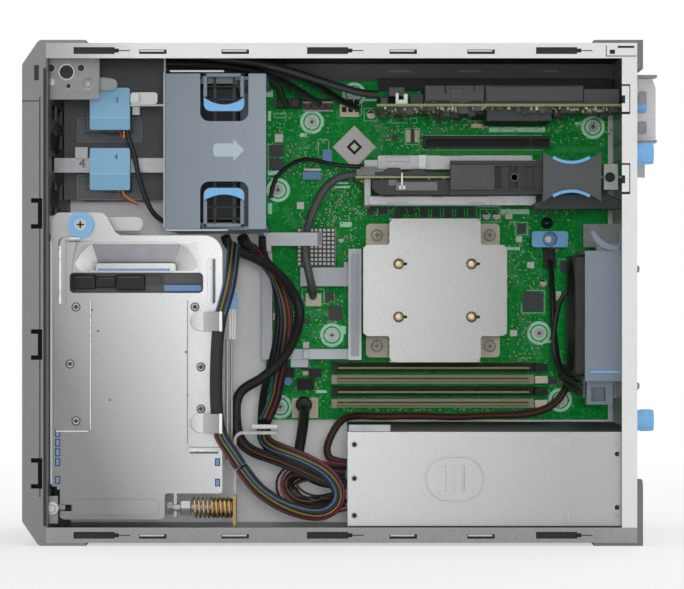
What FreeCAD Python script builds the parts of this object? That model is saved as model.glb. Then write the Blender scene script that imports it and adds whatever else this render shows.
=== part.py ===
"""Compact tower server standing upright with its side cover off.

The open side faces -Y, the front bezel faces -X, the rear panel +X and the roof +Z.
The origin is the middle of the footprint on the floor.  Lengths are millimetres.
"""
import FreeCAD, Part
import math
import os

V = FreeCAD.Vector

# Case: the folded steel box
CASE_LENGTH = 387.3
CASE_WIDTH = 170.0
CASE_HEIGHT = 327.5
SHEET = 1.2
RIM_WIDTH = 10.0
CLEARANCE = 0.3

# How much taller the case is than the 327.5 mm that the levels below were drawn for
RISE = CASE_HEIGHT / 327.5

# Plastic skin at both ends
BEZEL_DEPTH = 15.7
BEZEL_WALL = 2.4
BEZEL_CHAMFER_X = 11.0
BEZEL_CHAMFER_Z = 16.0
LIP_THICKNESS = 2.0
FRONT_LIP = 26.0
BUMPER_LIP = 32.0
BUMPER_BACK = 3.8
TOP_BUMPER_HEIGHT = 19.0
BOTTOM_BUMPER_HEIGHT = 43.0
BUMPER_CORNER = 22.0
LOUVRE_COUNT = 14
LOUVRE_PITCH = 15.0
LOUVRE_HEIGHT = 6.0
LOUVRE_MARGIN = 22.0
BUTTON_RADIUS = 7.0
BUTTON_DROP = 46.0
BUTTON_INSET = 30.0
BUTTON_TRAVEL = 2.5
HOOK_LENGTH = 20.0
AIR_SLOT_LENGTH = 34.0
AIR_SLOT_HEIGHT = 10.0
AIR_SLOT_PITCH = 17.0

# Rim slots for the side cover, measured from the front of the steel box
KEY_SLOTS = (18.0, 171.0, 321.0)
KEY_SLOT_LENGTH = 27.0
KEY_SLOT_WIDTH = 4.5
TAB_SLOTS = (61.0, 115.0, 225.0, 276.0)
TAB_SLOT_LENGTH = 18.0
TAB_SLOT_WIDTH = 3.0

# Upper drive bay
GUSSET_WIDTH = 33.0
GUSSET_HEIGHT = 26.4
GUSSET_DEPTH = 12.0
BAY_LENGTH = 75.5
BAY_STRAP_HEIGHT = 9.7
BAY_STRAP_LEVEL = 244.4 * RISE
BAY_STRAP_DEPTH = 45.0
TRAY_LEVELS = (228.3 * RISE, 268.5 * RISE)
TRAY_INSET = 10.6
TRAY_LENGTH = 44.4
TRAY_HEIGHT = 16.7
TRAY_DEPTH = 120.0
PLUG_INSET = 24.6
PLUG_WIDTH = 26.7
PLUG_HEIGHT = 28.0
PLUG_DEPTH = 35.0
PLUG_FACE = 9.0
PLUG_LIFT = 4.0
LEVER_BAR_LEVEL = 288.0 * RISE
LEVER_LENGTH = 18.0
LEVER_HEIGHT = 7.9
LEVER_DEPTH = 30.0
LEVER_TRAVEL = 4.0
CAGE_POST_GAP = 0.4

# Front fan and its duct
DUCT_INSET = 77.5
DUCT_LENGTH = 66.4
DUCT_DROP = 19.5 * RISE
DUCT_HEIGHT = 102.2 * RISE
DUCT_DEPTH = 8.0
DUCT_WALL = 2.2
GRIP_INSET = 23.1
GRIP_LENGTH = 31.8
GRIP_HEIGHT = 31.3
GRIP_DEPTH = 24.0
GRIP_CORNER = 6.0
BAIL_HEIGHT = 24.1
BAIL_BAR = 5.0
BAIL_DEPTH = 12.0
FRONT_FAN_SIZE = 92.0 * RISE
REAR_FAN_SIZE = 80.0 * RISE
FAN_THICKNESS = 25.0
FAN_TIP_GAP = 1.2
FAN_HUB_RADIUS = 18.0
FAN_BLADES = 7
FAN_SHAFT_RADIUS = 2.0
FAN_STRUT = 5.0

# Main board
BOARD_LENGTH = 241.3
BOARD_HEIGHT = 238.8 * RISE
BOARD_THICKNESS = 1.6
BOARD_REAR_GAP = 5.7
BOARD_TOP_GAP = 14.2 * RISE
STANDOFF = 12.2
STANDOFF_RADIUS = 4.0
RING_RADIUS = 7.4
SCREW_HEAD_RADIUS = 3.6
SCREW_HEAD_HEIGHT = 2.2
BOARD_SCREWS = ((32.4, 209.9), (230.7, 206.4), (8.5, 161.9), (46.5, 59.6), (192.6, 61.0), (62.1, 229.5),
                (10.0, 9.0), (207.5, 13.7))

# Processor and its heat sink
SOCKET_CENTRE = (117.5, 91.0)
SOCKET_PLATE = 94.0 * RISE
SOCKET_PITCH = 78.0 * RISE
SOCKET_HEIGHT = 8.0
SINK_WIDTH = 98.6 * RISE
SINK_NOTCH = 18.0
SINK_HEIGHT = 60.0
SINK_LID = 3.0
SINK_BASE = 5.0
FIN_COUNT = 21
FIN_THICKNESS = 0.8
PIN_SPACING_X = 50.0
PIN_SPACING_Z = 36.4
PIN_RADIUS = 3.2

# Board parts: distance from the board's front and bottom edges
CHIPSET_CENTRE = (62.3, 192.1)
CHIPSET_SIDE = 21.0
CHIPSET_HEIGHT = 3.0
CONTROLLER_CORNER = (22.1, 108.1)
CONTROLLER_SIDE = 26.8
CONTROLLER_HEIGHT = 16.0
CONTROLLER_PINS = 6
MEMORY_INSET = 46.3
MEMORY_LENGTH = 142.0
MEMORY_LEVELS = (11.9, 20.3, 28.7, 37.1)
MEMORY_SOCKET_WIDTH = 6.4
MEMORY_SOCKET_HEIGHT = 12.0
MODULE_LENGTH = 133.35
MODULE_THICKNESS = 1.3
MODULE_HEIGHT = 26.0
MODULE_SEAT = 4.0
LATCH_REACH = 18.0
LATCH_PIVOT = 3.4
LATCH_WIDTH = 5.2
SLOT_HEIGHT = 11.0
SLOT_WIDTH = 7.5
SLOT_REAR_GAP = 41.7
LONG_SLOT = 89.0
SHORT_SLOT = 54.0
PLUNGER_CORNER = (185.5, 121.1)
PLUNGER_LENGTH = 25.0
PLUNGER_HEIGHT = 11.1
PLUNGER_DEPTH = 12.0
PLUNGER_SOCKET = 22.0
PLUNGER_STEM = 2.6
CORD_SOCKET_FLOOR = 3.0

# Expansion cards, levels above the steel floor
CARD_THICKNESS = 1.6
CARD_SEAT = 5.0
CARD_TOP_DEPTH = 40.0
UPPER_CARD_LEVEL = 288.5 * RISE
UPPER_CARD_LENGTH = 168.0
BLANK_LEVEL = 269.5 * RISE
LOWER_CARD_LEVEL = 240.4 * RISE
LOWER_CARD_LENGTH = 182.0
BRACKET_WIDTH = 18.4 * RISE
BRACKET_THICKNESS = 1.0
BRACKET_LENGTH = 106.0
SHROUD_HEIGHT = 12.8
SHROUD_LENGTHS = (39.9, 65.7)
SHROUD_REAR_GAP = 30.5
SHROUD_GAP = 0.6
SHROUD_BACK_GAP = 9.0
RETAINER_DEPTH = 22.0
RETAINER_ARM_LENGTH = 61.3
RETAINER_ARM_HEIGHT = 22.4
CLAMP_LENGTH = 38.4
CLAMP_HEIGHT = 42.0 * RISE
CLAMP_LEVEL = 219.7 * RISE
CLAMP_REAR_GAP = 21.7
CLAMP_THICKNESS = 16.0
CARD_CAGE_DEPTH = 50.0
CARD_RAIL_TOP = 247.0 * RISE
CARD_RAIL_BOTTOM = 222.8 * RISE
CARD_RAIL_LENGTH = 110.8
CARD_CAGE_INSET = 10.0
CARD_RAIL_THICKNESS = 6.0

# Cable guide
GUIDE_BAR = 7.0

# Power supply
PSU_LENGTH = 188.5
PSU_HEIGHT = 61.8 * RISE
PSU_LIFT = 10.6 * RISE
PSU_DEPTH = 6.0
CAPSULE_LENGTH = 37.4
CAPSULE_HEIGHT = 27.6
CAPSULE_INSET = 51.7
CAPSULE_RAISE = 0.8
INLET_WIDTH = 31.0
INLET_HEIGHT = 25.0
INLET_DEPTH = 14.0
INLET_INSET = 20.0

# Rear fan carrier
REAR_FAN_LIFT = 105.5 * RISE
CARRIER_LENGTH = 27.9
CARRIER_HEIGHT = 86.1 * RISE
CARRIER_REAR_GAP = 5.1
CARRIER_DEPTH = 15.0
CARRIER_WALL = 2.4
FAN_COVER_GAP = 6.0

# Rear hardware
COVER_SCREW_LEVELS = (79.9 * RISE, 255.6 * RISE)
COVER_SCREW_RADIUS = 6.9
COVER_SCREW_LENGTH = 11.5
COVER_SCREW_DEPTH = 12.0
DOOR_REACH = 16.0
DOOR_LEVEL = 265.3 * RISE
DOOR_HEIGHT = 43.4 * RISE
DOOR_DEPTH = 40.0
DOOR_SCREW_RADIUS = 5.5
DOOR_SCREW_LENGTH = 7.4
DOOR_SCREW_RISE = 24.4 * RISE
THREAD_RADIUS = 2.0

# Swing-out drive cage
CAGE_INSET = 2.1
CAGE_WIDTH = 113.0
CAGE_LIFT = 14.6
CAGE_HEIGHT = 187.0 * RISE
CAGE_DEPTH = 10.5
HUMP_WIDTH = 35.5
HUMP_RISE = 15.1
CAGE_CORNER = 12.0
GRIP_WINDOW = (15.0, 83.4, 162.5 * RISE, 20.1 * RISE)
DRIVE_WINDOW = (12.4, 88.0, 149.1 * RISE, 13.4 * RISE)
CAGE_BOX_HEIGHT = 150.0 * RISE
CAGE_BOX_DEPTH = 74.0
DRIVE_THICKNESS = 26.1
DRIVE_WIDTH = 101.6
DRIVE_LENGTH = 146.0 * RISE
HINGE_LIFT = 22.2
HINGE_DEPTH = 12.5
HINGE_RADIUS = 2.65
HINGE_NOTCH = 38.0
HINGE_EAR = 2.0
HINGE_EAR_INSET = 6.0
SPRING_LENGTH = 14.3
SPRING_RADIUS = 6.5
SPRING_COILS = 7
CAGE_SCREW_RADIUS = 8.3
CAGE_SCREW_HEIGHT = 4.8
CAGE_SCREW_INSET = 20.0
CAGE_SCREW_RISE = 7.0
LOOM_RADIUS = 4.2
LOOP_HOOK_LENGTH = 29.0
LOOP_HOOK_WIDTH = 9.0
LOOP_HOOK_LEVEL = 70.2 * RISE

# Planes of the case
FRONT_TIP = -(BEZEL_DEPTH + CASE_LENGTH + DOOR_REACH) / 2
FRONT = FRONT_TIP + BEZEL_DEPTH
REAR = FRONT + CASE_LENGTH
RIM = -CASE_WIDTH / 2
WALL = CASE_WIDTH / 2
FLOOR = LIP_THICKNESS
ROOF = FLOOR + CASE_HEIGHT
FRONT_IN = FRONT + SHEET
REAR_IN = REAR - SHEET
WALL_IN = WALL - SHEET
FLOOR_IN = FLOOR + SHEET
ROOF_IN = ROOF - SHEET
TOP = ROOF + LIP_THICKNESS

# Planes of the main board
BOARD_FRONT = REAR - BOARD_REAR_GAP - BOARD_LENGTH
BOARD_BOTTOM = ROOF - BOARD_TOP_GAP - BOARD_HEIGHT
BOARD_BACK = WALL_IN - STANDOFF
BOARD_FACE = BOARD_BACK - BOARD_THICKNESS
BOARD_REAR = BOARD_FRONT + BOARD_LENGTH


def box(x0, x1, y0, y1, z0, z1):
    """A block between two corners."""
    return Part.makeBox(x1 - x0, y1 - y0, z1 - z0, V(x0, y0, z0))


def rod(radius, start, end):
    """A round bar from one point to another."""
    run = end - start
    return Part.makeCylinder(radius, run.Length, start, run)


def corner(before, here, after, radius):
    """The first, middle and last point of the arc that rounds one corner."""
    back = (before - here).normalize()
    ahead = (after - here).normalize()
    half = back.getAngle(ahead) / 2
    middle = (back + ahead).normalize()
    reach = radius / math.tan(half)
    inset = radius / math.sin(half) - radius
    return here + back * reach, here + middle * inset, here + ahead * reach


def closed_wire(points):
    """A closed wire through (point, radius) pairs with its corners rounded."""
    count = len(points)
    arcs = []
    for i, (here, radius) in enumerate(points):
        if radius > 0:
            arcs.append(corner(points[i - 1][0], here, points[(i + 1) % count][0], radius))
        else:
            arcs.append((here, here, here))
    edges = []
    for i, (first, middle, last) in enumerate(arcs):
        start = arcs[i - 1][2]
        if (first - start).Length > 1e-6:
            edges.append(Part.LineSegment(start, first).toShape())
        if (last - first).Length > 1e-6:
            edges.append(Part.Arc(first, middle, last).toShape())
    return Part.Wire(edges)


def side_plate(points, y0, y1):
    """A plate facing the open side: (x, z, radius) corners, thickness along Y."""
    wire = closed_wire([(V(x, y0, z), r) for x, z, r in points])
    return Part.Face(wire).extrude(V(0, y1 - y0, 0))


def end_plate(points, x0, x1):
    """A plate facing front or rear: (y, z, radius) corners, thickness along X."""
    wire = closed_wire([(V(x0, y, z), r) for y, z, r in points])
    return Part.Face(wire).extrude(V(x1 - x0, 0, 0))


def soft_box(x0, x1, y0, y1, z0, z1, radius):
    """A block whose edges along Y are rounded."""
    return side_plate([(x0, z0, radius), (x1, z0, radius), (x1, z1, radius), (x0, z1, radius)], y0, y1)


def soft_end_box(x0, x1, y0, y1, z0, z1, radius):
    """A block whose edges along X are rounded."""
    return end_plate([(y0, z0, radius), (y1, z0, radius), (y1, z1, radius), (y0, z1, radius)], x0, x1)


def hexagon(x0, x1, y, z, radius):
    """A six-sided bar along X."""
    turns = [i * math.pi / 3 for i in range(6)]
    ring = [(y + radius * math.cos(turn), z + radius * math.sin(turn), 0) for turn in turns]
    return end_plate(ring, x0, x1)


def fused(shapes):
    """One solid from shapes that meet."""
    return shapes[0].multiFuse(shapes[1:]).removeSplitter()


def save(node, shape):
    """Write one sub-part."""
    shape.exportStep("parts/" + node + ".step")
    state = "valid" if shape.isValid() else "INVALID"
    print(node, len(shape.Solids), "solids", round(shape.Volume), "mm3", state)


# Rear openings that two pieces share: rear ports as (level above the floor, height, reach from the board)
IO_PORTS = ((90.0, 31.0, 12.5), (127.0, 31.0, 12.5), (162.0, 14.5, 15.5), (178.5, 14.5, 15.5),
            (195.9, 16.2, 14.5))
IO_PORT_LENGTH = 25.0
IO_PORT_PROUD = 0.8
HOOK_LEVELS = (45.5, 129.9, 215.8)
BRACKET_LEVELS = (LOWER_CARD_LEVEL, BLANK_LEVEL, UPPER_CARD_LEVEL)
BRACKET_OFFSET = 3.0
BRACKET_OPENING = 12.1 * RISE
VENT_HEX = 4.2
VENT_PITCH = 9.6

# Places that follow from the sizes
DUCT_FRONT = FRONT + DUCT_INSET
DUCT_REAR = DUCT_FRONT + DUCT_LENGTH
DUCT_TOP = ROOF - DUCT_DROP
DUCT_BOTTOM = DUCT_TOP - DUCT_HEIGHT
DUCT_FACE = RIM + DUCT_DEPTH
CARRIER_REAR = REAR - CARRIER_REAR_GAP
CARRIER_FRONT = CARRIER_REAR - CARRIER_LENGTH
CARRIER_BOTTOM = FLOOR + REAR_FAN_LIFT
CARRIER_TOP = CARRIER_BOTTOM + CARRIER_HEIGHT
CARRIER_FACE = RIM + CARRIER_DEPTH
REAR_FAN_Y = CARRIER_FACE + CARRIER_WALL + CLEARANCE + REAR_FAN_SIZE / 2
REAR_FAN_Z = (CARRIER_BOTTOM + CARRIER_TOP) / 2
REAR_FAN_FRONT = CARRIER_FRONT - FAN_COVER_GAP
FRONT_FAN_Y = DUCT_FACE + DUCT_WALL + GRIP_DEPTH + CLEARANCE + FRONT_FAN_SIZE / 2
FRONT_FAN_Z = (DUCT_BOTTOM + DUCT_TOP) / 2
FRONT_FAN_FRONT = DUCT_FRONT + (DUCT_LENGTH - FAN_THICKNESS) / 2
PSU_FRONT = REAR_IN - PSU_LENGTH
PSU_BOTTOM = FLOOR + PSU_LIFT
PSU_TOP = PSU_BOTTOM + PSU_HEIGHT
PSU_FACE = RIM + PSU_DEPTH
CAGE_LEFT = FRONT + CAGE_INSET
CAGE_RIGHT = CAGE_LEFT + CAGE_WIDTH
CAGE_BOTTOM = FLOOR + CAGE_LIFT
CAGE_TOP = CAGE_BOTTOM + CAGE_HEIGHT
CAGE_FACE = RIM + CAGE_DEPTH
CAGE_BACK = CAGE_FACE + SHEET
HINGE_Y = RIM + HINGE_DEPTH
HINGE_Z = FLOOR + HINGE_LIFT
CAGE_SCREW_X = CAGE_LEFT + CAGE_SCREW_INSET
CAGE_SCREW_Z = CAGE_TOP + CAGE_SCREW_RISE
DOOR_FACE = RIM + DOOR_DEPTH
DOOR_BOTTOM = FLOOR + DOOR_LEVEL
SOCKET_X = BOARD_FRONT + SOCKET_CENTRE[0]
SOCKET_Z = BOARD_BOTTOM + SOCKET_CENTRE[1] * RISE
SINK_FACE = BOARD_FACE - SINK_HEIGHT
SLOT_REAR = BOARD_REAR - SLOT_REAR_GAP
SLOT_FACE = BOARD_FACE - SLOT_HEIGHT

# Cord routes were drawn with the board's face this far below the rim
DRAWN_DEPTH = 155.0
NEAR_RIM = 30.0


def on_board(dx, dz):
    """X and Z of a place drawn from the board's front and bottom edges."""
    return BOARD_FRONT + dx, BOARD_BOTTOM + dz * RISE


def deep(depth):
    """Y of a depth below the open rim: kept near the rim, stretched to reach the board further in."""
    if depth <= NEAR_RIM:
        return RIM + depth
    return RIM + NEAR_RIM + (depth - NEAR_RIM) * (BOARD_FACE - RIM - NEAR_RIM) / (DRAWN_DEPTH - NEAR_RIM)


def rim_slots(z, inward):
    """Cutters for the cover's key slots and lanced tabs along one rim."""
    cutters = []
    for start in KEY_SLOTS:
        x = FRONT + start
        cutters.append(box(x, x + KEY_SLOT_LENGTH, RIM, RIM + SHEET, z, z + inward * KEY_SLOT_WIDTH))
    for start in TAB_SLOTS:
        x = FRONT + start
        cutters.append(box(x, x + TAB_SLOT_LENGTH, RIM, RIM + SHEET, z, z + inward * TAB_SLOT_WIDTH))
    return cutters


def top_panel():
    """Roof sheet with its folded rim."""
    skin = box(FRONT, REAR, RIM, WALL_IN, ROOF_IN, ROOF)
    flange = box(FRONT, REAR, RIM, RIM + SHEET, ROOF - RIM_WIDTH, ROOF_IN)
    slot_line = ROOF - RIM_WIDTH / 2 - KEY_SLOT_WIDTH / 2
    return fused([skin, flange]).cut(rim_slots(slot_line, 1))


def bottom_panel():
    """Floor sheet with its folded rim."""
    skin = box(FRONT, REAR, RIM, WALL_IN, FLOOR, FLOOR_IN)
    flange = box(FRONT, REAR, RIM, RIM + SHEET, FLOOR_IN, FLOOR + RIM_WIDTH)
    slot_line = FLOOR + RIM_WIDTH / 2 - KEY_SLOT_WIDTH / 2
    return fused([skin, flange]).cut(rim_slots(slot_line, 1))


def side_panel():
    """Closed side of the case, with two pressed stiffening fields on its outside."""
    skin = box(FRONT, REAR, WALL_IN, WALL, FLOOR, ROOF)
    press = SHEET / 3
    margin = 24.0
    middle = (FRONT + REAR) / 2
    fields = []
    for x0, x1 in ((FRONT + margin, middle - margin / 2), (middle + margin / 2, REAR - margin)):
        fields.append(soft_box(x0, x1, WALL - press, WALL, FLOOR + margin, ROOF - margin, margin / 2))
    return skin.cut(fields)


def front_panel():
    """Front sheet behind the bezel, with three columns of air slots."""
    skin = box(FRONT, FRONT_IN, RIM + SHEET, WALL_IN, FLOOR_IN, ROOF_IN)
    edge = 24.0
    columns = 3
    pitch_y = (CASE_WIDTH - 2 * edge) / columns
    rows = int((CASE_HEIGHT - 2 * edge) / AIR_SLOT_PITCH)
    slots = []
    for column in range(columns):
        y = RIM + edge + (column + 0.5) * pitch_y
        for row in range(rows):
            z = FLOOR + edge + row * AIR_SLOT_PITCH
            slots.append(box(FRONT, FRONT_IN, y - AIR_SLOT_LENGTH / 2, y + AIR_SLOT_LENGTH / 2,
                             z, z + AIR_SLOT_HEIGHT))
    return skin.cut(slots)


def vent_holes(x0, x1, y, z, radius):
    """Six-sided holes packed inside a circle."""
    row_pitch = VENT_PITCH * math.sqrt(3) / 2
    rows = int(radius / row_pitch)
    holes = []
    for row in range(-rows, rows + 1):
        shift = VENT_PITCH / 2 if row % 2 else 0.0
        columns = int(2 * radius / VENT_PITCH) + 1
        for column in range(-columns, columns + 1):
            dy = column * VENT_PITCH + shift
            dz = row * row_pitch
            if math.hypot(dy, dz) < radius - VENT_HEX:
                holes.append(hexagon(x0, x1, y + dy, z + dz, VENT_HEX))
    return holes


def rear_panel():
    """Rear sheet with openings for ports, cards, fan air and the power supply."""
    skin = box(REAR_IN, REAR, RIM + SHEET, WALL_IN, FLOOR_IN, ROOF_IN)
    flange = box(REAR - RIM_WIDTH, REAR, RIM, RIM + SHEET, FLOOR + RIM_WIDTH, ROOF - RIM_WIDTH)
    panel = fused([skin, flange])
    cutters = vent_holes(REAR_IN, REAR, REAR_FAN_Y, REAR_FAN_Z, REAR_FAN_SIZE / 2)
    for level, height, reach in IO_PORTS:
        z = FLOOR + level * RISE
        y = BOARD_FACE - reach
        cutters.append(box(REAR_IN, REAR, y - CLEARANCE, BOARD_FACE,
                           z - CLEARANCE, z + height * RISE + CLEARANCE))
    inset = (BRACKET_WIDTH - BRACKET_OPENING) / 2
    for level in BRACKET_LEVELS:
        z = FLOOR + level - BRACKET_OFFSET + inset
        cutters.append(box(REAR_IN, REAR, DOOR_FACE + CLEARANCE, DOOR_FACE + BRACKET_LENGTH - inset,
                           z, z + BRACKET_OPENING))
    frame = 4.0
    cutters.append(box(REAR_IN, REAR, PSU_FACE + frame, WALL_IN - frame, PSU_BOTTOM + frame, PSU_TOP - frame))
    for level in COVER_SCREW_LEVELS:
        start = V(REAR_IN, RIM + COVER_SCREW_DEPTH, FLOOR + level)
        cutters.append(rod(THREAD_RADIUS + CLEARANCE, start, start + V(SHEET, 0, 0)))
    return panel.cut(cutters)


def bezel_profile(inset, y0, y1):
    """Side outline of the bezel, drawn in by one wall for its hollow."""
    tip = FRONT_TIP + inset
    low = inset
    high = TOP - inset
    return side_plate([(FRONT, low, 0), (FRONT, high, 0), (tip + BEZEL_CHAMFER_X, high, 4.0),
                       (tip, high - BEZEL_CHAMFER_Z, 4.0), (tip, low + BEZEL_CHAMFER_Z, 4.0),
                       (tip + BEZEL_CHAMFER_X, low, 4.0)], y0, y1)


def button_place():
    """Middle of the power button on the bezel's front."""
    return RIM + BUTTON_INSET, TOP - BUTTON_DROP


def front_bezel():
    """Moulded front with louvres, a button hole, hook recesses and lips along roof and floor."""
    outer = bezel_profile(0.0, RIM, WALL)
    hollow = bezel_profile(BEZEL_WALL, RIM + BEZEL_WALL, WALL - BEZEL_WALL)
    lips = []
    for z in (0.0, ROOF):
        lips.append(box(FRONT, FRONT + FRONT_LIP, RIM, WALL, z, z + LIP_THICKNESS))
    cutters = [hollow]
    first = TOP / 2 - LOUVRE_PITCH * (LOUVRE_COUNT - 1) / 2 - LOUVRE_HEIGHT / 2 - BUTTON_RADIUS
    for i in range(LOUVRE_COUNT):
        z = first + i * LOUVRE_PITCH
        cutters.append(box(FRONT_TIP, FRONT_TIP + BEZEL_WALL, RIM + LOUVRE_MARGIN, WALL - LOUVRE_MARGIN,
                           z, z + LOUVRE_HEIGHT))
    y, z = button_place()
    start = V(FRONT_TIP, y, z)
    cutters.append(rod(BUTTON_RADIUS + CLEARANCE, start, start + V(BEZEL_WALL, 0, 0)))
    width = 3.0
    for level in HOOK_LEVELS:
        z0 = FLOOR + level - HOOK_LENGTH / 2
        z1 = z0 + HOOK_LENGTH
        x1 = FRONT - BEZEL_WALL
        x0 = x1 - 2.5 * width
        wall = (RIM, RIM + BEZEL_WALL)
        cutters.append(fused([box(x1 - width, x1, *wall, z0, z1), box(x0, x1, *wall, z0, z0 + width),
                              box(x0, x1, *wall, z1 - width, z1)]))
    return fused([outer] + lips).cut(cutters)


def power_button():
    """Button cap with the stem that runs back to the front sheet."""
    y, z = button_place()
    face = V(FRONT_TIP + 0.4, y, z)
    flange = V(FRONT_TIP + BEZEL_WALL + CLEARANCE, y, z)
    cap = rod(BUTTON_RADIUS, face, flange)
    rim = rod(BUTTON_RADIUS + 1.5, flange, flange + V(1.5, 0, 0))
    stem = rod(BUTTON_RADIUS / 2, flange, V(FRONT - BUTTON_TRAVEL - CLEARANCE, y, z))
    return fused([cap, rim, stem])


def rear_bumpers():
    """Corner guards at the rear: lips over roof and under floor, with backs outside the rear sheet."""
    x0 = REAR + BUMPER_BACK - BUMPER_LIP
    x1 = REAR + BUMPER_BACK
    upper = fused([box(x0, x1, RIM, WALL, ROOF, TOP), box(REAR, x1, RIM, WALL, TOP - TOP_BUMPER_HEIGHT, TOP)])
    lower = [box(x0, x1, RIM, WALL, 0.0, FLOOR)]
    for y in (RIM, WALL - BUMPER_CORNER):
        post = [(y, 0.0, 0), (y + BUMPER_CORNER, 0.0, 0), (y + BUMPER_CORNER, BOTTOM_BUMPER_HEIGHT, 6.0),
                (y, BOTTOM_BUMPER_HEIGHT, 6.0)]
        lower.append(end_plate(post, REAR, x1))
    return Part.makeCompound([upper, fused(lower)])


def corner_gusset():
    """Pierced corner plate between the front sheet and the roof, folded back along the front."""
    y0 = RIM + GUSSET_DEPTH
    low = ROOF - RIM_WIDTH - GUSSET_HEIGHT
    high = ROOF_IN
    fold = 14.0
    plate = side_plate([(FRONT_IN, low, 0), (FRONT_IN + GUSSET_WIDTH, low, 6.0),
                        (FRONT_IN + GUSSET_WIDTH, high, 0), (FRONT_IN, high, 0)], y0, y0 + SHEET)
    side = box(FRONT_IN, FRONT_IN + SHEET, y0, y0 + fold, low, high)
    middle_x = FRONT_IN + GUSSET_WIDTH / 2
    middle_z = low + GUSSET_HEIGHT / 2
    holes = []
    reach = 8.5
    for dx, dz, radius in ((0, 0, 4.3), (-reach, -reach, 2.2), (reach, -reach, 2.2), (reach, reach, 2.2),
                           (-reach, reach, 2.2)):
        start = V(middle_x + dx, y0, middle_z + dz)
        holes.append(rod(radius, start, start + V(0, SHEET, 0)))
    return fused([plate, side]).cut(holes)


def folded_bar(z0, z1, depth, length):
    """A strap that starts on the front sheet, runs rearwards and folds back to the closed side."""
    y0 = RIM + depth
    end = FRONT_IN + length
    run = box(FRONT_IN, end, y0, y0 + SHEET, z0, z1)
    leg = box(end - SHEET, end, y0, WALL_IN, z0, z1)
    return fused([run, leg])


def upper_bay():
    """Upper drive bay: strap, lever shelf, trays behind a sheet and the tab that takes the cage's screw."""
    strap_z = FLOOR + BAY_STRAP_LEVEL
    strap = folded_bar(strap_z, strap_z + BAY_STRAP_HEIGHT, BAY_STRAP_DEPTH, BAY_LENGTH)
    end = FRONT_IN + BAY_LENGTH
    shelf_z = FLOOR + LEVER_BAR_LEVEL
    shelf_y = RIM + LEVER_DEPTH
    lever_x = end - SHEET - CLEARANCE - LEVER_TRAVEL - LEVER_LENGTH
    shelf = box(lever_x, end, shelf_y, shelf_y + 14.0, shelf_z, shelf_z + SHEET)
    hanger = box(end - SHEET, end, shelf_y, shelf_y + 14.0, shelf_z, ROOF_IN)
    slot = box(lever_x + 6.0, lever_x + 12.0 + LEVER_TRAVEL, shelf_y + 3.0, shelf_y + 7.0,
               shelf_z, shelf_z + SHEET)
    pieces = [strap, fused([shelf, hanger]).cut(slot)]
    mouths = []
    for level in TRAY_LEVELS:
        z = FLOOR + level
        x = FRONT_IN + TRAY_INSET
        y = RIM + TRAY_DEPTH
        tray = box(x, x + TRAY_LENGTH, y, WALL_IN, z, z + TRAY_HEIGHT)
        hollow = box(x + SHEET, x + TRAY_LENGTH - SHEET, y + SHEET, WALL_IN, z + SHEET, z + TRAY_HEIGHT)
        pieces.append(tray.cut(hollow))
        mouths.append(box(x, x + TRAY_LENGTH, y - SHEET, y, z, z + TRAY_HEIGHT))
    liner_y = RIM + TRAY_DEPTH
    liner = box(FRONT_IN, FRONT_IN + BAY_LENGTH, liner_y - SHEET, liner_y, FLOOR + TRAY_LEVELS[0], ROOF_IN)
    pieces.append(liner.cut(mouths))
    tab_y = CAGE_BACK + CAGE_POST_GAP
    half = 6.0
    tab = box(FRONT_IN, CAGE_SCREW_X + 2 * half, tab_y, tab_y + SHEET,
              CAGE_SCREW_Z - half, CAGE_SCREW_Z + half)
    back = box(FRONT_IN, FRONT_IN + SHEET, tab_y, tab_y + 3 * half, CAGE_SCREW_Z - half, CAGE_SCREW_Z + half)
    start = V(CAGE_SCREW_X, tab_y, CAGE_SCREW_Z)
    hole = rod(THREAD_RADIUS + 2 * CLEARANCE, start, start + V(0, SHEET, 0))
    pieces.append(fused([tab, back]).cut(hole))
    return Part.makeCompound(pieces)


def release_lever():
    """Sliding finger lever on the bay's shelf, guided by a foot in the shelf's slot."""
    x = FRONT_IN + BAY_LENGTH - SHEET - CLEARANCE - LEVER_TRAVEL - LEVER_LENGTH
    y = RIM + LEVER_DEPTH
    z = FLOOR + LEVER_BAR_LEVEL + SHEET
    body = soft_box(x, x + LEVER_LENGTH, y, y + 10.0, z, z + LEVER_HEIGHT, 2.0)
    grip = box(x + 2.0, x + 6.0, y - 5.0, y, z + 1.0, z + LEVER_HEIGHT - 1.0)
    foot = box(x + 6.0 + CLEARANCE, x + 12.0 - CLEARANCE, y + 3.0 + CLEARANCE, y + 7.0 - CLEARANCE,
               z - SHEET, z)
    return fused([body, grip, foot])


def drive_plug(level):
    """Drive plug with a broad finger tab, its stem seated on the tray's front."""
    x = FRONT_IN + PLUG_INSET
    y = RIM + PLUG_DEPTH
    z = FLOOR + level + PLUG_LIFT
    tab = soft_box(x, x + PLUG_WIDTH, y, y + PLUG_FACE, z, z + PLUG_HEIGHT, 1.5)
    stem_low = z + 1.0
    stem_high = FLOOR + level + TRAY_HEIGHT - 1.0
    stem = box(x + 4.0, x + PLUG_WIDTH - 4.0, y + PLUG_FACE, RIM + TRAY_DEPTH, stem_low, stem_high)
    return fused([tab, stem])


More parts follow.
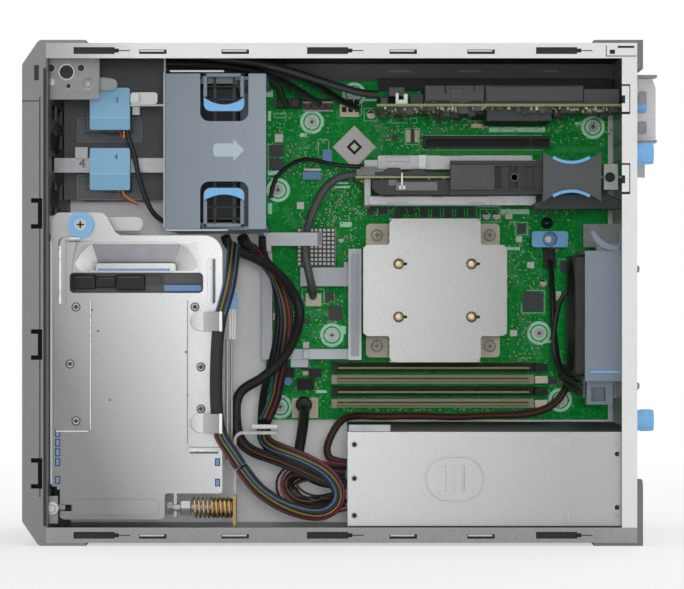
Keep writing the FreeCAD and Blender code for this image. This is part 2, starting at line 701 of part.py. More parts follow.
def front_fan_housing():
    """Air duct through the case with two finger wells in its face and rails that hold the fan."""
    outer = soft_end_box(DUCT_FRONT, DUCT_REAR, DUCT_FACE, WALL_IN, DUCT_BOTTOM, DUCT_TOP, 0)
    inner = box(DUCT_FRONT, DUCT_REAR, DUCT_FACE + DUCT_WALL, WALL_IN - DUCT_WALL, DUCT_BOTTOM + DUCT_WALL,
                DUCT_TOP - DUCT_WALL)
    rail = (DUCT_HEIGHT - 2 * DUCT_WALL - FRONT_FAN_SIZE) / 2 - CLEARANCE
    x0 = FRONT_FAN_FRONT
    x1 = x0 + FAN_THICKNESS
    y0 = FRONT_FAN_Y - FRONT_FAN_SIZE / 2
    y1 = FRONT_FAN_Y + FRONT_FAN_SIZE / 2
    low = DUCT_BOTTOM + DUCT_WALL
    high = DUCT_TOP - DUCT_WALL
    rails = [box(x0, x1, y0, y1, low, low + rail), box(x0, x1, y0, y1, high - rail, high)]
    grip_x = DUCT_FRONT + GRIP_INSET
    wells = []
    well_back = DUCT_FACE + DUCT_WALL + GRIP_DEPTH
    for z0, z1 in ((DUCT_TOP - GRIP_HEIGHT, DUCT_TOP + GRIP_CORNER),
                   (DUCT_BOTTOM - GRIP_CORNER, DUCT_BOTTOM + GRIP_HEIGHT)):
        wells.append(soft_box(grip_x, grip_x + GRIP_LENGTH, DUCT_FACE, well_back, z0, z1, GRIP_CORNER))
    board_relief = box(BOARD_FRONT - 1.0, DUCT_REAR, BOARD_FACE - 1.0, WALL_IN, DUCT_BOTTOM, DUCT_TOP)
    return fused([outer.cut(inner)] + rails).cut(wells + [board_relief])


def front_fan_latch(z_outer, inward):
    """Squeeze bail in a finger well: a bar on two arms that run back to a guided foot."""
    x0 = DUCT_FRONT + GRIP_INSET + CLEARANCE
    x1 = x0 + GRIP_LENGTH - 2 * CLEARANCE
    z_tip = z_outer + inward * BAIL_HEIGHT
    low = min(z_outer, z_tip)
    high = max(z_outer, z_tip)
    y0 = DUCT_FACE + 1.0
    y1 = y0 + BAIL_DEPTH
    loop = soft_box(x0, x1, y0, y1, low, high, BAIL_BAR)
    inner = soft_box(x0 + BAIL_BAR, x1 - BAIL_BAR, y0, y1, low + BAIL_BAR, high - BAIL_BAR, 2.0)
    return loop.cut(inner)


def fan_frame(x, y, z, size):
    """Square fan frame with a round bore, four struts and the motor plate at its rear."""
    half = size / 2
    bore = half - 2.0
    frame = soft_end_box(x, x + FAN_THICKNESS, y - half, y + half, z - half, z + half, 4.0)
    frame = frame.cut(rod(bore, V(x, y, z), V(x + FAN_THICKNESS, y, z)))
    x0 = x + FAN_THICKNESS - 3.0
    x1 = x + FAN_THICKNESS
    strut = FAN_STRUT / 2
    reach = bore + 1.0
    plate = [box(x0, x1, y - reach, y + reach, z - strut, z + strut),
             box(x0, x1, y - strut, y + strut, z - reach, z + reach),
             rod(FAN_HUB_RADIUS, V(x0, y, z), V(x1, y, z))]
    shaft_hole = rod(FAN_SHAFT_RADIUS + CLEARANCE, V(x0, y, z), V(x1, y, z))
    return fused([frame] + plate).cut(shaft_hole)


def fan_rotor(x, y, z, size):
    """Hub, pitched blades and shaft, clear of the frame's bore."""
    tip = size / 2 - 2.0 - FAN_TIP_GAP
    x0 = x + 2.0
    x1 = x + FAN_THICKNESS - 3.0 - 2 * CLEARANCE
    depth = x1 - x0
    chord = depth * 1.05
    pitch = 52.0
    blades = []
    for i in range(FAN_BLADES):
        blade = Part.makeBox(1.6, chord, tip, V(-0.8, -chord / 2, 0))
        blade.rotate(V(0, 0, 0), V(0, 0, 1), pitch)
        blade.rotate(V(0, 0, 0), V(1, 0, 0), 360.0 * i / FAN_BLADES)
        blade.translate(V((x0 + x1) / 2, y, z))
        blades.append(blade)
    sweep = rod(tip, V(x0, y, z), V(x1, y, z))
    hub = rod(FAN_HUB_RADIUS, V(x0, y, z), V(x1, y, z))
    shaft = rod(FAN_SHAFT_RADIUS, V(x1, y, z), V(x + FAN_THICKNESS, y, z))
    return fused([hub, shaft] + [blade.common(sweep) for blade in blades])


def motherboard():
    """Main board with holes for its screws and the plunger's stem."""
    board = box(BOARD_FRONT, BOARD_REAR, BOARD_FACE, BOARD_BACK, BOARD_BOTTOM, BOARD_BOTTOM + BOARD_HEIGHT)
    holes = []
    for dx, dz in BOARD_SCREWS:
        x, z = on_board(dx, dz)
        start = V(x, BOARD_FACE, z)
        holes.append(rod(THREAD_RADIUS + CLEARANCE, start, start + V(0, BOARD_THICKNESS, 0)))
    return board.cut(holes)


def board_screws():
    """Standoffs on the closed side, each with the screw and washer that hold the board."""
    pieces = []
    for dx, dz in BOARD_SCREWS:
        x, z = on_board(dx, dz)
        foot = V(x, WALL_IN, z)
        back = V(foot.x, BOARD_BACK, foot.z)
        face = V(foot.x, BOARD_FACE, foot.z)
        washer = face - V(0, 0.4, 0)
        head = washer - V(0, SCREW_HEAD_HEIGHT, 0)
        pieces.append(fused([rod(STANDOFF_RADIUS, back, foot), rod(THREAD_RADIUS, face, back),
                             rod(RING_RADIUS, washer, face), rod(SCREW_HEAD_RADIUS, head, washer)]))
    return Part.makeCompound(pieces)


def processor_mount():
    """Processor socket with four ears, and the captive screws and pins above it."""
    y0 = BOARD_FACE - SOCKET_HEIGHT
    half = SOCKET_PLATE / 2
    ear = SINK_NOTCH - 1.0
    block = box(SOCKET_X - half + ear, SOCKET_X + half - ear, y0, BOARD_FACE,
                SOCKET_Z - half, SOCKET_Z + half)
    plate = soft_box(SOCKET_X - half, SOCKET_X + half, y0, y0 + 3.0, SOCKET_Z - half, SOCKET_Z + half, 3.0)
    pieces = []
    reach = SOCKET_PITCH / 2
    for dx in (-reach, reach):
        for dz in (-reach, reach):
            base = V(SOCKET_X + dx, BOARD_FACE, SOCKET_Z + dz)
            pieces.append(rod(STANDOFF_RADIUS, V(base.x, y0 - 6.0, base.z), base))
    return fused([plate, block] + pieces)


def heatsink():
    """Heat sink: base, fins along the airflow and a notched lid pinned through the fins."""
    half = SINK_WIDTH / 2
    n = SINK_NOTCH
    x0 = SOCKET_X - half
    x1 = SOCKET_X + half
    z0 = SOCKET_Z - half
    z1 = SOCKET_Z + half
    cross = [(x0 + n, z0, 4), (x1 - n, z0, 4), (x1 - n, z0 + n, 2), (x1, z0 + n, 4), (x1, z1 - n, 4),
             (x1 - n, z1 - n, 2), (x1 - n, z1, 4), (x0 + n, z1, 4), (x0 + n, z1 - n, 2), (x0, z1 - n, 4),
             (x0, z0 + n, 4), (x0 + n, z0 + n, 2)]
    foot = BOARD_FACE - SOCKET_HEIGHT
    lid = side_plate(cross, SINK_FACE, SINK_FACE + SINK_LID)
    base = side_plate(cross, foot - SINK_BASE, foot)
    pitch = (SINK_WIDTH - FIN_THICKNESS) / (FIN_COUNT - 1)
    fins = []
    for i in range(FIN_COUNT):
        z = z0 + i * pitch
        narrow = z < z0 + n or z + FIN_THICKNESS > z1 - n
        inset = n if narrow else 0.0
        fins.append(box(x0 + inset, x1 - inset, SINK_FACE + SINK_LID, foot - SINK_BASE, z, z + FIN_THICKNESS))
    return fused([lid, base] + fins)


def heatsink_pins():
    """Four stepped pins standing on the heat sink's lid."""
    pins = []
    for dx in (-PIN_SPACING_X / 2, PIN_SPACING_X / 2):
        for dz in (-PIN_SPACING_Z / 2, PIN_SPACING_Z / 2):
            seat = V(SOCKET_X + dx, SINK_FACE, SOCKET_Z + dz)
            collar = seat - V(0, 1.0, 0)
            pins.append(fused([rod(PIN_RADIUS, collar, seat),
                               rod(PIN_RADIUS * 0.6, collar - V(0, 1.6, 0), collar)]))
    return Part.makeCompound(pins)


def board_chips():
    """Chipset, turned on its corner, and the smaller packages about the board."""
    y = BOARD_FACE
    cx, cz = on_board(*CHIPSET_CENTRE)
    half = CHIPSET_SIDE / 2
    chipset = fused([box(cx - half, cx + half, y - 1.4, y, cz - half, cz + half),
                     box(cx - half / 2, cx + half / 2, y - CHIPSET_HEIGHT, y - 1.4,
                         cz - half / 2, cz + half / 2)])
    chipset.rotate(V(cx, y, cz), V(0, 1, 0), 45)
    pieces = [chipset]
    for dx, dz, side in ((172.0, 82.0, 12.0), (44.0, 70.0, 10.0), (187.0, 150.0, 10.0),
                         (12.0, 195.5, 8.0), (4.0, 185.5, 8.6), (4.0, 175.5, 8.6), (205.0, 100.0, 9.0),
                         (90.0, 141.5, 6.0)):
        x0, z0 = on_board(dx, dz)
        pieces.append(box(x0, x0 + side, y - 1.6, y, z0, z0 + side))
    return Part.makeCompound(pieces)


def controller_heatsink():
    """Pin-fin heat sink on the management controller."""
    x0, z0 = on_board(*CONTROLLER_CORNER)
    base = 3.0
    y1 = BOARD_FACE - 2.0
    plate = box(x0, x0 + CONTROLLER_SIDE, y1 - base, BOARD_FACE, z0, z0 + CONTROLLER_SIDE)
    pitch = CONTROLLER_SIDE / CONTROLLER_PINS
    pin = pitch * 0.55
    pins = []
    for i in range(CONTROLLER_PINS):
        for j in range(CONTROLLER_PINS):
            x = x0 + (i + 0.5) * pitch - pin / 2
            z = z0 + (j + 0.5) * pitch - pin / 2
            pins.append(box(x, x + pin, BOARD_FACE - CONTROLLER_HEIGHT, y1 - base, z, z + pin))
    return fused([plate] + pins)


def memory_socket(level):
    """One memory socket: a channelled bar with a guide tower at its front end."""
    x0, z = on_board(MEMORY_INSET, level)
    x1 = x0 + MEMORY_LENGTH
    half = MEMORY_SOCKET_WIDTH / 2
    bar = box(x0, x1, BOARD_FACE - MEMORY_SOCKET_HEIGHT, BOARD_FACE, z - half, z + half)
    tower = box(x0, x0 + 4.0, BOARD_FACE - LATCH_REACH, BOARD_FACE, z - half, z + half)
    slot = MODULE_THICKNESS / 2 + CLEARANCE
    start = x0 + (MEMORY_LENGTH - MODULE_LENGTH) / 2 - CLEARANCE
    channel = box(start, start + MODULE_LENGTH + 2 * CLEARANCE,
                  BOARD_FACE - LATCH_REACH, BOARD_FACE - MODULE_SEAT,
                  z - slot, z + slot)
    return fused([bar, tower]).cut(channel)


def memory_module(level):
    """One memory module standing in its socket."""
    x0, z = on_board(MEMORY_INSET + (MEMORY_LENGTH - MODULE_LENGTH) / 2, level)
    half = MODULE_THICKNESS / 2
    foot = BOARD_FACE - MODULE_SEAT
    return box(x0, x0 + MODULE_LENGTH, foot - MODULE_HEIGHT, foot, z - half, z + half)


def memory_latch(level):
    """Swinging latch past the rear end of one memory socket, round about its pivot."""
    x1, z = on_board(MEMORY_INSET + MEMORY_LENGTH, level)
    half = LATCH_WIDTH / 2
    radius = LATCH_PIVOT - CLEARANCE
    pivot = V(x1 + LATCH_PIVOT, BOARD_FACE - LATCH_PIVOT, z - half)
    barrel = Part.makeCylinder(radius, LATCH_WIDTH, pivot)
    arm = box(pivot.x - radius, pivot.x + radius, BOARD_FACE - LATCH_REACH, pivot.y, z - half, z + half)
    thumb = box(pivot.x - radius, pivot.x + radius + 2.5, BOARD_FACE - LATCH_REACH - 2.0,
                BOARD_FACE - LATCH_REACH, z - half, z + half)
    return fused([barrel, arm, thumb])


def expansion_slot(level, length):
    """Card-edge socket on the board for a card at one level."""
    z = FLOOR + level + CARD_THICKNESS / 2
    half = SLOT_WIDTH / 2
    block = box(SLOT_REAR - length, SLOT_REAR, SLOT_FACE, BOARD_FACE, z - half, z + half)
    gap = CARD_THICKNESS / 2 + CLEARANCE
    groove = box(SLOT_REAR - length + 2.0, SLOT_REAR - 2.0, SLOT_FACE, SLOT_FACE + CARD_SEAT + CLEARANCE,
                 z - gap, z + gap)
    return block.cut(groove)


def board_connectors():
    """Card and cord sockets, headers and the plunger's sleeve; blocks are (x, z, width, height, reach)."""
    cord_sockets = ((18.5, 1.4, 18.2, 14.0, 10.0), (22.0, 21.0, 12.0, 8.0, 8.0))
    headers = ((78.0, 219.0, 14.0, 8.0, 9.0), (40.0, 181.0, 6.4, 9.0, 9.0), (30.0, 30.0, 9.0, 6.0, 8.0),
               (8.0, 30.0, 12.0, 7.0, 8.0), (206.0, 30.0, 12.0, 9.0, 10.0), (28.0, 80.0, 11.0, 9.0, 9.0),
               (7.8, 219.0, 17.5, 7.0, 9.0), (27.0, 219.0, 20.0, 7.0, 9.0), (52.0, 213.0, 13.5, 9.0, 9.0),
               (195.5, 107.0, 8.0, 13.0, 11.0), (26.0, 169.0, 12.7, 5.6, 9.0))
    pieces = [expansion_slot(UPPER_CARD_LEVEL, SHORT_SLOT), expansion_slot(BLANK_LEVEL, LONG_SLOT),
              expansion_slot(LOWER_CARD_LEVEL, LONG_SLOT)]
    for dx, dz, width, height, reach in cord_sockets + headers:
        x, z = on_board(dx, dz)
        block = box(x, x + width, BOARD_FACE - reach, BOARD_FACE, z, z + height)
        if (dx, dz, width, height, reach) in cord_sockets:
            mouth = box(x + SHEET, x + width - SHEET, BOARD_FACE - reach, BOARD_FACE - CORD_SOCKET_FLOOR,
                        z + SHEET, z + height - SHEET)
            block = block.cut(mouth)
        pieces.append(block)
    x0, z0 = on_board(*PLUNGER_CORNER)
    x = x0 + PLUNGER_LENGTH / 2
    z = z0 + PLUNGER_HEIGHT / 2
    mouth = V(x, BOARD_FACE - PLUNGER_SOCKET, z)
    foot = V(x, BOARD_FACE, z)
    sleeve = rod(PLUNGER_STEM + 2.0, mouth, foot).cut(rod(PLUNGER_STEM + CLEARANCE, mouth, foot))
    pieces.append(sleeve)
    return Part.makeCompound(pieces)


def board_plunger():
    """Finger block on a stem that slides in the sleeve on the board."""
    x0, z0 = on_board(*PLUNGER_CORNER)
    y1 = BOARD_FACE - PLUNGER_SOCKET - CLEARANCE
    head = soft_box(x0, x0 + PLUNGER_LENGTH, y1 - PLUNGER_DEPTH, y1, z0, z0 + PLUNGER_HEIGHT, 2.0)
    middle = V(x0 + PLUNGER_LENGTH / 2, y1, z0 + PLUNGER_HEIGHT / 2)
    dish = rod(PLUNGER_HEIGHT / 3, middle - V(0, PLUNGER_DEPTH, 0), middle - V(0, PLUNGER_DEPTH - 2.0, 0))
    stem = rod(PLUNGER_STEM, middle, V(middle.x, BOARD_FACE - 1.0, middle.z))
    return fused([head.cut(dish), stem])


def io_ports():
    """Metal-shelled rear ports, open to the rear."""
    ports = []
    for level, height, reach in IO_PORTS:
        x1 = REAR + IO_PORT_PROUD
        y0 = BOARD_FACE - reach
        z0 = FLOOR + level * RISE
        z1 = z0 + height * RISE
        shell = box(x1 - IO_PORT_LENGTH, x1, y0, BOARD_FACE, z0, z1)
        mouth = box(x1 - 9.0, x1, y0 + 1.2, BOARD_FACE - 2.0, z0 + 1.2, z1 - 1.2)
        ports.append(shell.cut(mouth))
    return Part.makeCompound(ports)


def card(level, length):
    """Circuit card from the bracket forwards, its edge seated in the slot."""
    z = FLOOR + level
    x1 = REAR_IN - BRACKET_THICKNESS
    foot = SLOT_FACE - 1.0
    board = box(x1 - length, x1, RIM + CARD_TOP_DEPTH, foot, z, z + CARD_THICKNESS)
    edge_x = SLOT_REAR - SHORT_SLOT + 3.0
    edge = box(edge_x, SLOT_REAR - 3.0, foot, SLOT_FACE + CARD_SEAT, z, z + CARD_THICKNESS)
    return fused([board, edge])


def expansion_cards():
    """The upper and lower circuit cards."""
    upper = card(UPPER_CARD_LEVEL, UPPER_CARD_LENGTH)
    lower = card(LOWER_CARD_LEVEL, LOWER_CARD_LENGTH)
    return Part.makeCompound([upper, lower])


def card_brackets():
    """Brackets of the cards and one blank, each with a tab folded out through the rear sheet."""
    pieces = []
    tab_reach = 9.0
    inset = (BRACKET_WIDTH - BRACKET_OPENING) / 2 + CLEARANCE
    for level in BRACKET_LEVELS:
        z0 = FLOOR + level - BRACKET_OFFSET
        z1 = z0 + BRACKET_WIDTH
        x0 = REAR_IN - BRACKET_THICKNESS
        y0 = DOOR_FACE + 2 * CLEARANCE
        plate = box(x0, REAR_IN, y0, y0 + BRACKET_LENGTH, z0, z1)
        tab = box(REAR_IN, REAR + tab_reach, y0, y0 + BRACKET_THICKNESS, z0 + inset, z1 - inset)
        pieces.append(fused([plate, tab]))
    return Part.makeCompound(pieces)


def upper_card_shroud():
    """Two finned cooler blocks on the upper card."""
    x1 = REAR_IN - SHROUD_REAR_GAP
    y0 = RIM + CARD_TOP_DEPTH + 5.0
    z = FLOOR + UPPER_CARD_LEVEL + CARD_THICKNESS
    blocks = []
    for length in reversed(SHROUD_LENGTHS):
        x0 = x1 - length
        block = box(x0, x1, y0, SLOT_FACE - SHROUD_BACK_GAP, z, z + SHROUD_HEIGHT)
        count = int(length / 6.0)
        pitch = length / count
        grooves = []
        for i in range(1, count):
            x = x0 + i * pitch
            grooves.append(box(x - 1.2, x + 1.2, y0, y0 + 8.0, z + 2.5, z + SHROUD_HEIGHT))
        blocks.append(block.cut(grooves))
        x1 = x0 - SHROUD_GAP
    return Part.makeCompound(blocks)


def card_cage():
    """Plastic rails about the lower card, tied by a front cheek that stands on the board."""
    z_top = FLOOR + CARD_RAIL_TOP
    z_low = FLOOR + CARD_RAIL_BOTTOM
    x0 = REAR_IN - BRACKET_THICKNESS - LOWER_CARD_LENGTH + CARD_CAGE_INSET
    x1 = x0 + CARD_RAIL_LENGTH
    y0 = RIM + CARD_CAGE_DEPTH
    t = CARD_RAIL_THICKNESS
    slit = CARD_THICKNESS / 2 + CLEARANCE
    middle = FLOOR + LOWER_CARD_LEVEL + CARD_THICKNESS / 2
    rails = [box(x0, x1, y0, y0 + 24.0, z_top, z_top + t), box(x0, x1, y0, y0 + 24.0, z_low, z_low + t)]
    cheek = box(x0 - 4.0, x0, y0, BOARD_FACE, z_low, z_top + t)
    groove = box(x0 - 4.0, x0, y0, SLOT_FACE, middle - slit, middle + slit)
    return fused(rails + [cheek]).cut(groove)


def card_retainer():
    """Lift-off card holder: a ribbed arm along the lower card and a waisted clamp at its rear."""
    x1 = REAR - CLAMP_REAR_GAP
    x0 = x1 - CLAMP_LENGTH
    z0 = FLOOR + CLAMP_LEVEL
    z1 = z0 + CLAMP_HEIGHT
    y0 = RIM + RETAINER_DEPTH
    y1 = y0 + CLAMP_THICKNESS
    middle = (z0 + z1) / 2
    clamp = soft_box(x0, x1, y0, y1, z0, z1, 3.0)
    well = CLAMP_LENGTH * 0.75
    wells = []
    for z in (z0 - well * 0.6, z1 + well * 0.6):
        start = V((x0 + x1) / 2, y0, z)
        wells.append(rod(well, start, start + V(0, CLAMP_THICKNESS, 0)))
    arm_x = x0 - RETAINER_ARM_LENGTH
    half = RETAINER_ARM_HEIGHT / 2
    arm_y = RIM + CARD_TOP_DEPTH - CLEARANCE
    arm = box(arm_x, x0 + 4.0, arm_y - 6.0, arm_y, middle - half, middle + half)
    ribs = []
    for i in range(5):
        x = arm_x + 6.0 + i * 11.0
        ribs.append(box(x, x + 6.0, arm_y - 6.0, arm_y - 3.0, middle - half + 4.0, middle + half - 4.0))
    return fused([clamp.cut(wells), arm]).cut(ribs)


def cable_guide():
    """Moulded guide about the board's front edge: walls, a middle bar and a raised bridge."""
    left = BOARD_FRONT - 2.0
    right = SOCKET_X - max(SINK_WIDTH, SOCKET_PLATE) / 2 - 1.2
    low = SOCKET_Z - SOCKET_PLATE / 2 - 1.0
    bar = GUIDE_BAR
    lap = 2.0
    foot = BOARD_FACE
    bridge_top = DUCT_BOTTOM - 2 * CLEARANCE
    bridge_z = bridge_top - bar - lap
    high = bridge_z - lap
    bridge_y = foot - 60.0
    walls = [box(left, left + bar, foot - 30.0, foot, low, high),
             box(left, right, foot - 20.0, foot, low, low + bar),
             box(right - bar - lap, right, foot - 45.0, foot, low, high),
             box(left + 3.8 * bar, right, foot - 25.0, foot - 13.0, low + 51.0, low + 64.0),
             box(left, left + bar, bridge_y, foot, high - lap, bridge_top),
             box(left, left + 6 * bar, bridge_y, bridge_y + bar, bridge_z, bridge_top)]
    return fused(walls)


def psu_case():
    """Power supply case with an air grille and a plug recess at its rear."""
    x0 = PSU_FRONT
    y0 = PSU_FACE + SHEET
    case = box(x0, REAR_IN, y0, WALL_IN, PSU_BOTTOM, PSU_TOP)
    cutters = [box(x0 + SHEET, REAR_IN - INLET_DEPTH - SHEET, y0, WALL_IN - SHEET,
                   PSU_BOTTOM + SHEET, PSU_TOP - SHEET)]
    y_inlet = WALL_IN - INLET_INSET - INLET_WIDTH
    z_mid = (PSU_BOTTOM + PSU_TOP) / 2
    cutters.append(box(REAR_IN - INLET_DEPTH, REAR_IN, y_inlet, y_inlet + INLET_WIDTH,
                       z_mid - INLET_HEIGHT / 2, z_mid + INLET_HEIGHT / 2))
    grille = 40.0
    count = 8
    pitch = grille / count
    for i in range(count):
        z = z_mid - grille / 2 + i * pitch
        cutters.append(box(REAR_IN - 2.0, REAR_IN, y0 + 14.0, y0 + 14.0 + 56.0, z, z + pitch * 0.6))
    return case.cut(cutters)


def psu_inlet():
    """Mains inlet: a shell with three blades in the power supply's recess."""
    y0 = WALL_IN - INLET_INSET - INLET_WIDTH
    z_mid = (PSU_BOTTOM + PSU_TOP) / 2
    half = INLET_HEIGHT / 2
    x0 = REAR_IN - INLET_DEPTH
    shell = box(x0, REAR_IN, y0, y0 + INLET_WIDTH, z_mid - half, z_mid + half)
    wall = 3.0
    mouth = end_plate([(y0 + wall, z_mid - half + wall, 2), (y0 + INLET_WIDTH - wall, z_mid - half + wall, 2),
                       (y0 + INLET_WIDTH - wall, z_mid + half - wall - 5.0, 0),
                       (y0 + INLET_WIDTH - wall - 5.0, z_mid + half - wall, 0),
                       (y0 + wall + 5.0, z_mid + half - wall, 0),
                       (y0 + wall, z_mid + half - wall - 5.0, 0)], x0 + 3.0, REAR_IN)
    blades = []
    middle = y0 + INLET_WIDTH / 2
    for dy, dz in ((-7.0, -2.0), (0.0, 2.0), (7.0, -2.0)):
        y = middle + dy
        z = z_mid + dz
        blades.append(box(x0, REAR_IN - 2.0, y - 1.0, y + 1.0, z - 2.0, z + 2.0))
    return fused([shell.cut(mouth)] + blades)


def psu_cover():
    """Power supply cover with a raised, ribbed capsule and screw holes near its ends."""
    y1 = PSU_FACE + SHEET
    plate = box(PSU_FRONT, REAR_IN - BRACKET_THICKNESS, PSU_FACE, y1, PSU_BOTTOM, PSU_TOP)
    x0 = PSU_FRONT + CAPSULE_INSET
    z0 = (PSU_BOTTOM + PSU_TOP - CAPSULE_HEIGHT) / 2
    round_end = CAPSULE_HEIGHT / 2 - 0.01
    capsule = soft_box(x0, x0 + CAPSULE_LENGTH, PSU_FACE - CAPSULE_RAISE, PSU_FACE,
                       z0, z0 + CAPSULE_HEIGHT, round_end)
    ribs = []
    rib = 3.0
    for i in (-1, 0, 1):
        x = x0 + CAPSULE_LENGTH / 2 + i * 8.0
        ribs.append(soft_box(x - rib / 2, x + rib / 2, PSU_FACE - 2 * CAPSULE_RAISE, PSU_FACE - CAPSULE_RAISE,
                             z0 + 6.0, z0 + CAPSULE_HEIGHT - 6.0, rib / 2 - 0.01))
    holes = []
    margin = 7.0
    for x, rows in ((PSU_FRONT + margin, 3), (REAR_IN - 12.0, 2)):
        step = (PSU_HEIGHT - 2 * margin) / (rows - 1)
        for i in range(rows):
            start = V(x, PSU_FACE, PSU_BOTTOM + margin + i * step)
            holes.append(rod(1.6, start, start + V(0, SHEET, 0)))
    return fused([plate, capsule] + ribs).cut(holes)


def rear_fan_carrier():
    """Shroud that holds the rear fan, with a finger latch above and a plug holder below."""
    w = CARRIER_WALL
    y0 = CARRIER_FACE
    y1 = REAR_FAN_Y + REAR_FAN_SIZE / 2 + CLEARANCE + w
    ring = box(CARRIER_FRONT, CARRIER_REAR, y0, y1, CARRIER_BOTTOM, CARRIER_TOP)
    inner = box(CARRIER_FRONT, CARRIER_REAR, y0 + w, y1 - w, CARRIER_BOTTOM + w, CARRIER_TOP - w)
    feet = [box(CARRIER_REAR, REAR_IN, y0 + 10.0, y1, z, z + w) for z in (CARRIER_BOTTOM, CARRIER_TOP - w)]
    latch_y = y0 + 3.0
    latch = side_plate([(CARRIER_REAR - 20.0, CARRIER_TOP, 0), (CARRIER_REAR, CARRIER_TOP, 0),
                        (CARRIER_REAR, CARRIER_TOP + 13.0, 2.0),
                        (CARRIER_REAR - 5.0, CARRIER_TOP + 13.0, 2.0),
                        (CARRIER_REAR - 5.0, CARRIER_TOP + 5.0, 2.0),
                        (CARRIER_REAR - 20.0, CARRIER_TOP + 5.0, 0)],
                       latch_y, latch_y + 8.0)
    holder_x = CARRIER_FRONT + 2.3
    holder_y = y0 + 15.0
    holder = box(holder_x, holder_x + 17.2, holder_y, holder_y + 14.0, CARRIER_BOTTOM - 16.0, CARRIER_BOTTOM)
    mouth = box(holder_x + 3.0, holder_x + 12.4, holder_y, holder_y + 9.0, CARRIER_BOTTOM - 13.6,
                CARRIER_BOTTOM - 4.7)
    return fused([ring.cut(inner), latch, holder.cut(mouth)] + feet)


def thumbscrew(x, y, z, radius, length):
    """Knurled head along X with a short shank into the sheet."""
    count = 12
    head = rod(radius, V(x, y, z), V(x + length, y, z))
    grooves = []
    for i in range(count):
        angle = 2 * math.pi * i / count
        cy = y + (radius + 0.6) * math.cos(angle)
        cz = z + (radius + 0.6) * math.sin(angle)
        grooves.append(box(x + 2.0, x + length, cy - 0.9, cy + 0.9, cz - 0.9, cz + 0.9))
    shank = rod(THREAD_RADIUS, V(x - SHEET, y, z), V(x, y, z))
    return fused([head.cut(grooves), shank])


def slot_door():
    """Flap over the bracket tabs: a plate on a rolled hinge, flared on top, with an ear for its screw."""
    x0 = REAR + CLEARANCE
    x1 = REAR + DOOR_REACH
    y0 = DOOR_FACE - SHEET
    top = DOOR_BOTTOM + DOOR_HEIGHT
    plate = side_plate([(x0, DOOR_BOTTOM, 0), (x1, DOOR_BOTTOM, 0), (x1, top - 8.0, 0), (x1 - 3.0, top, 1.0),
                        (x0, top, 0)], y0, DOOR_FACE)
    roll = rod(2.0, V(x0, DOOR_FACE - 1.0, DOOR_BOTTOM), V(x1, DOOR_FACE - 1.0, DOOR_BOTTOM))
    ear_z = DOOR_BOTTOM + DOOR_SCREW_RISE
    half = DOOR_SCREW_RADIUS + 1.0
    ear = box(x0, x0 + SHEET, y0 - 2 * half, y0, ear_z - half, ear_z + half)
    start = V(x0, y0 - half, ear_z)
    hole = rod(THREAD_RADIUS + CLEARANCE, start, start + V(SHEET, 0, 0))
    return fused([plate, roll, ear]).cut(hole)


def window(values):
    """A rounded opening in the cage plate: (inset from its left, width, rise from its bottom, height)."""
    inset, width, rise, height = values
    x = CAGE_LEFT + inset
    z = CAGE_BOTTOM + rise
    return x, x + width, z, z + height


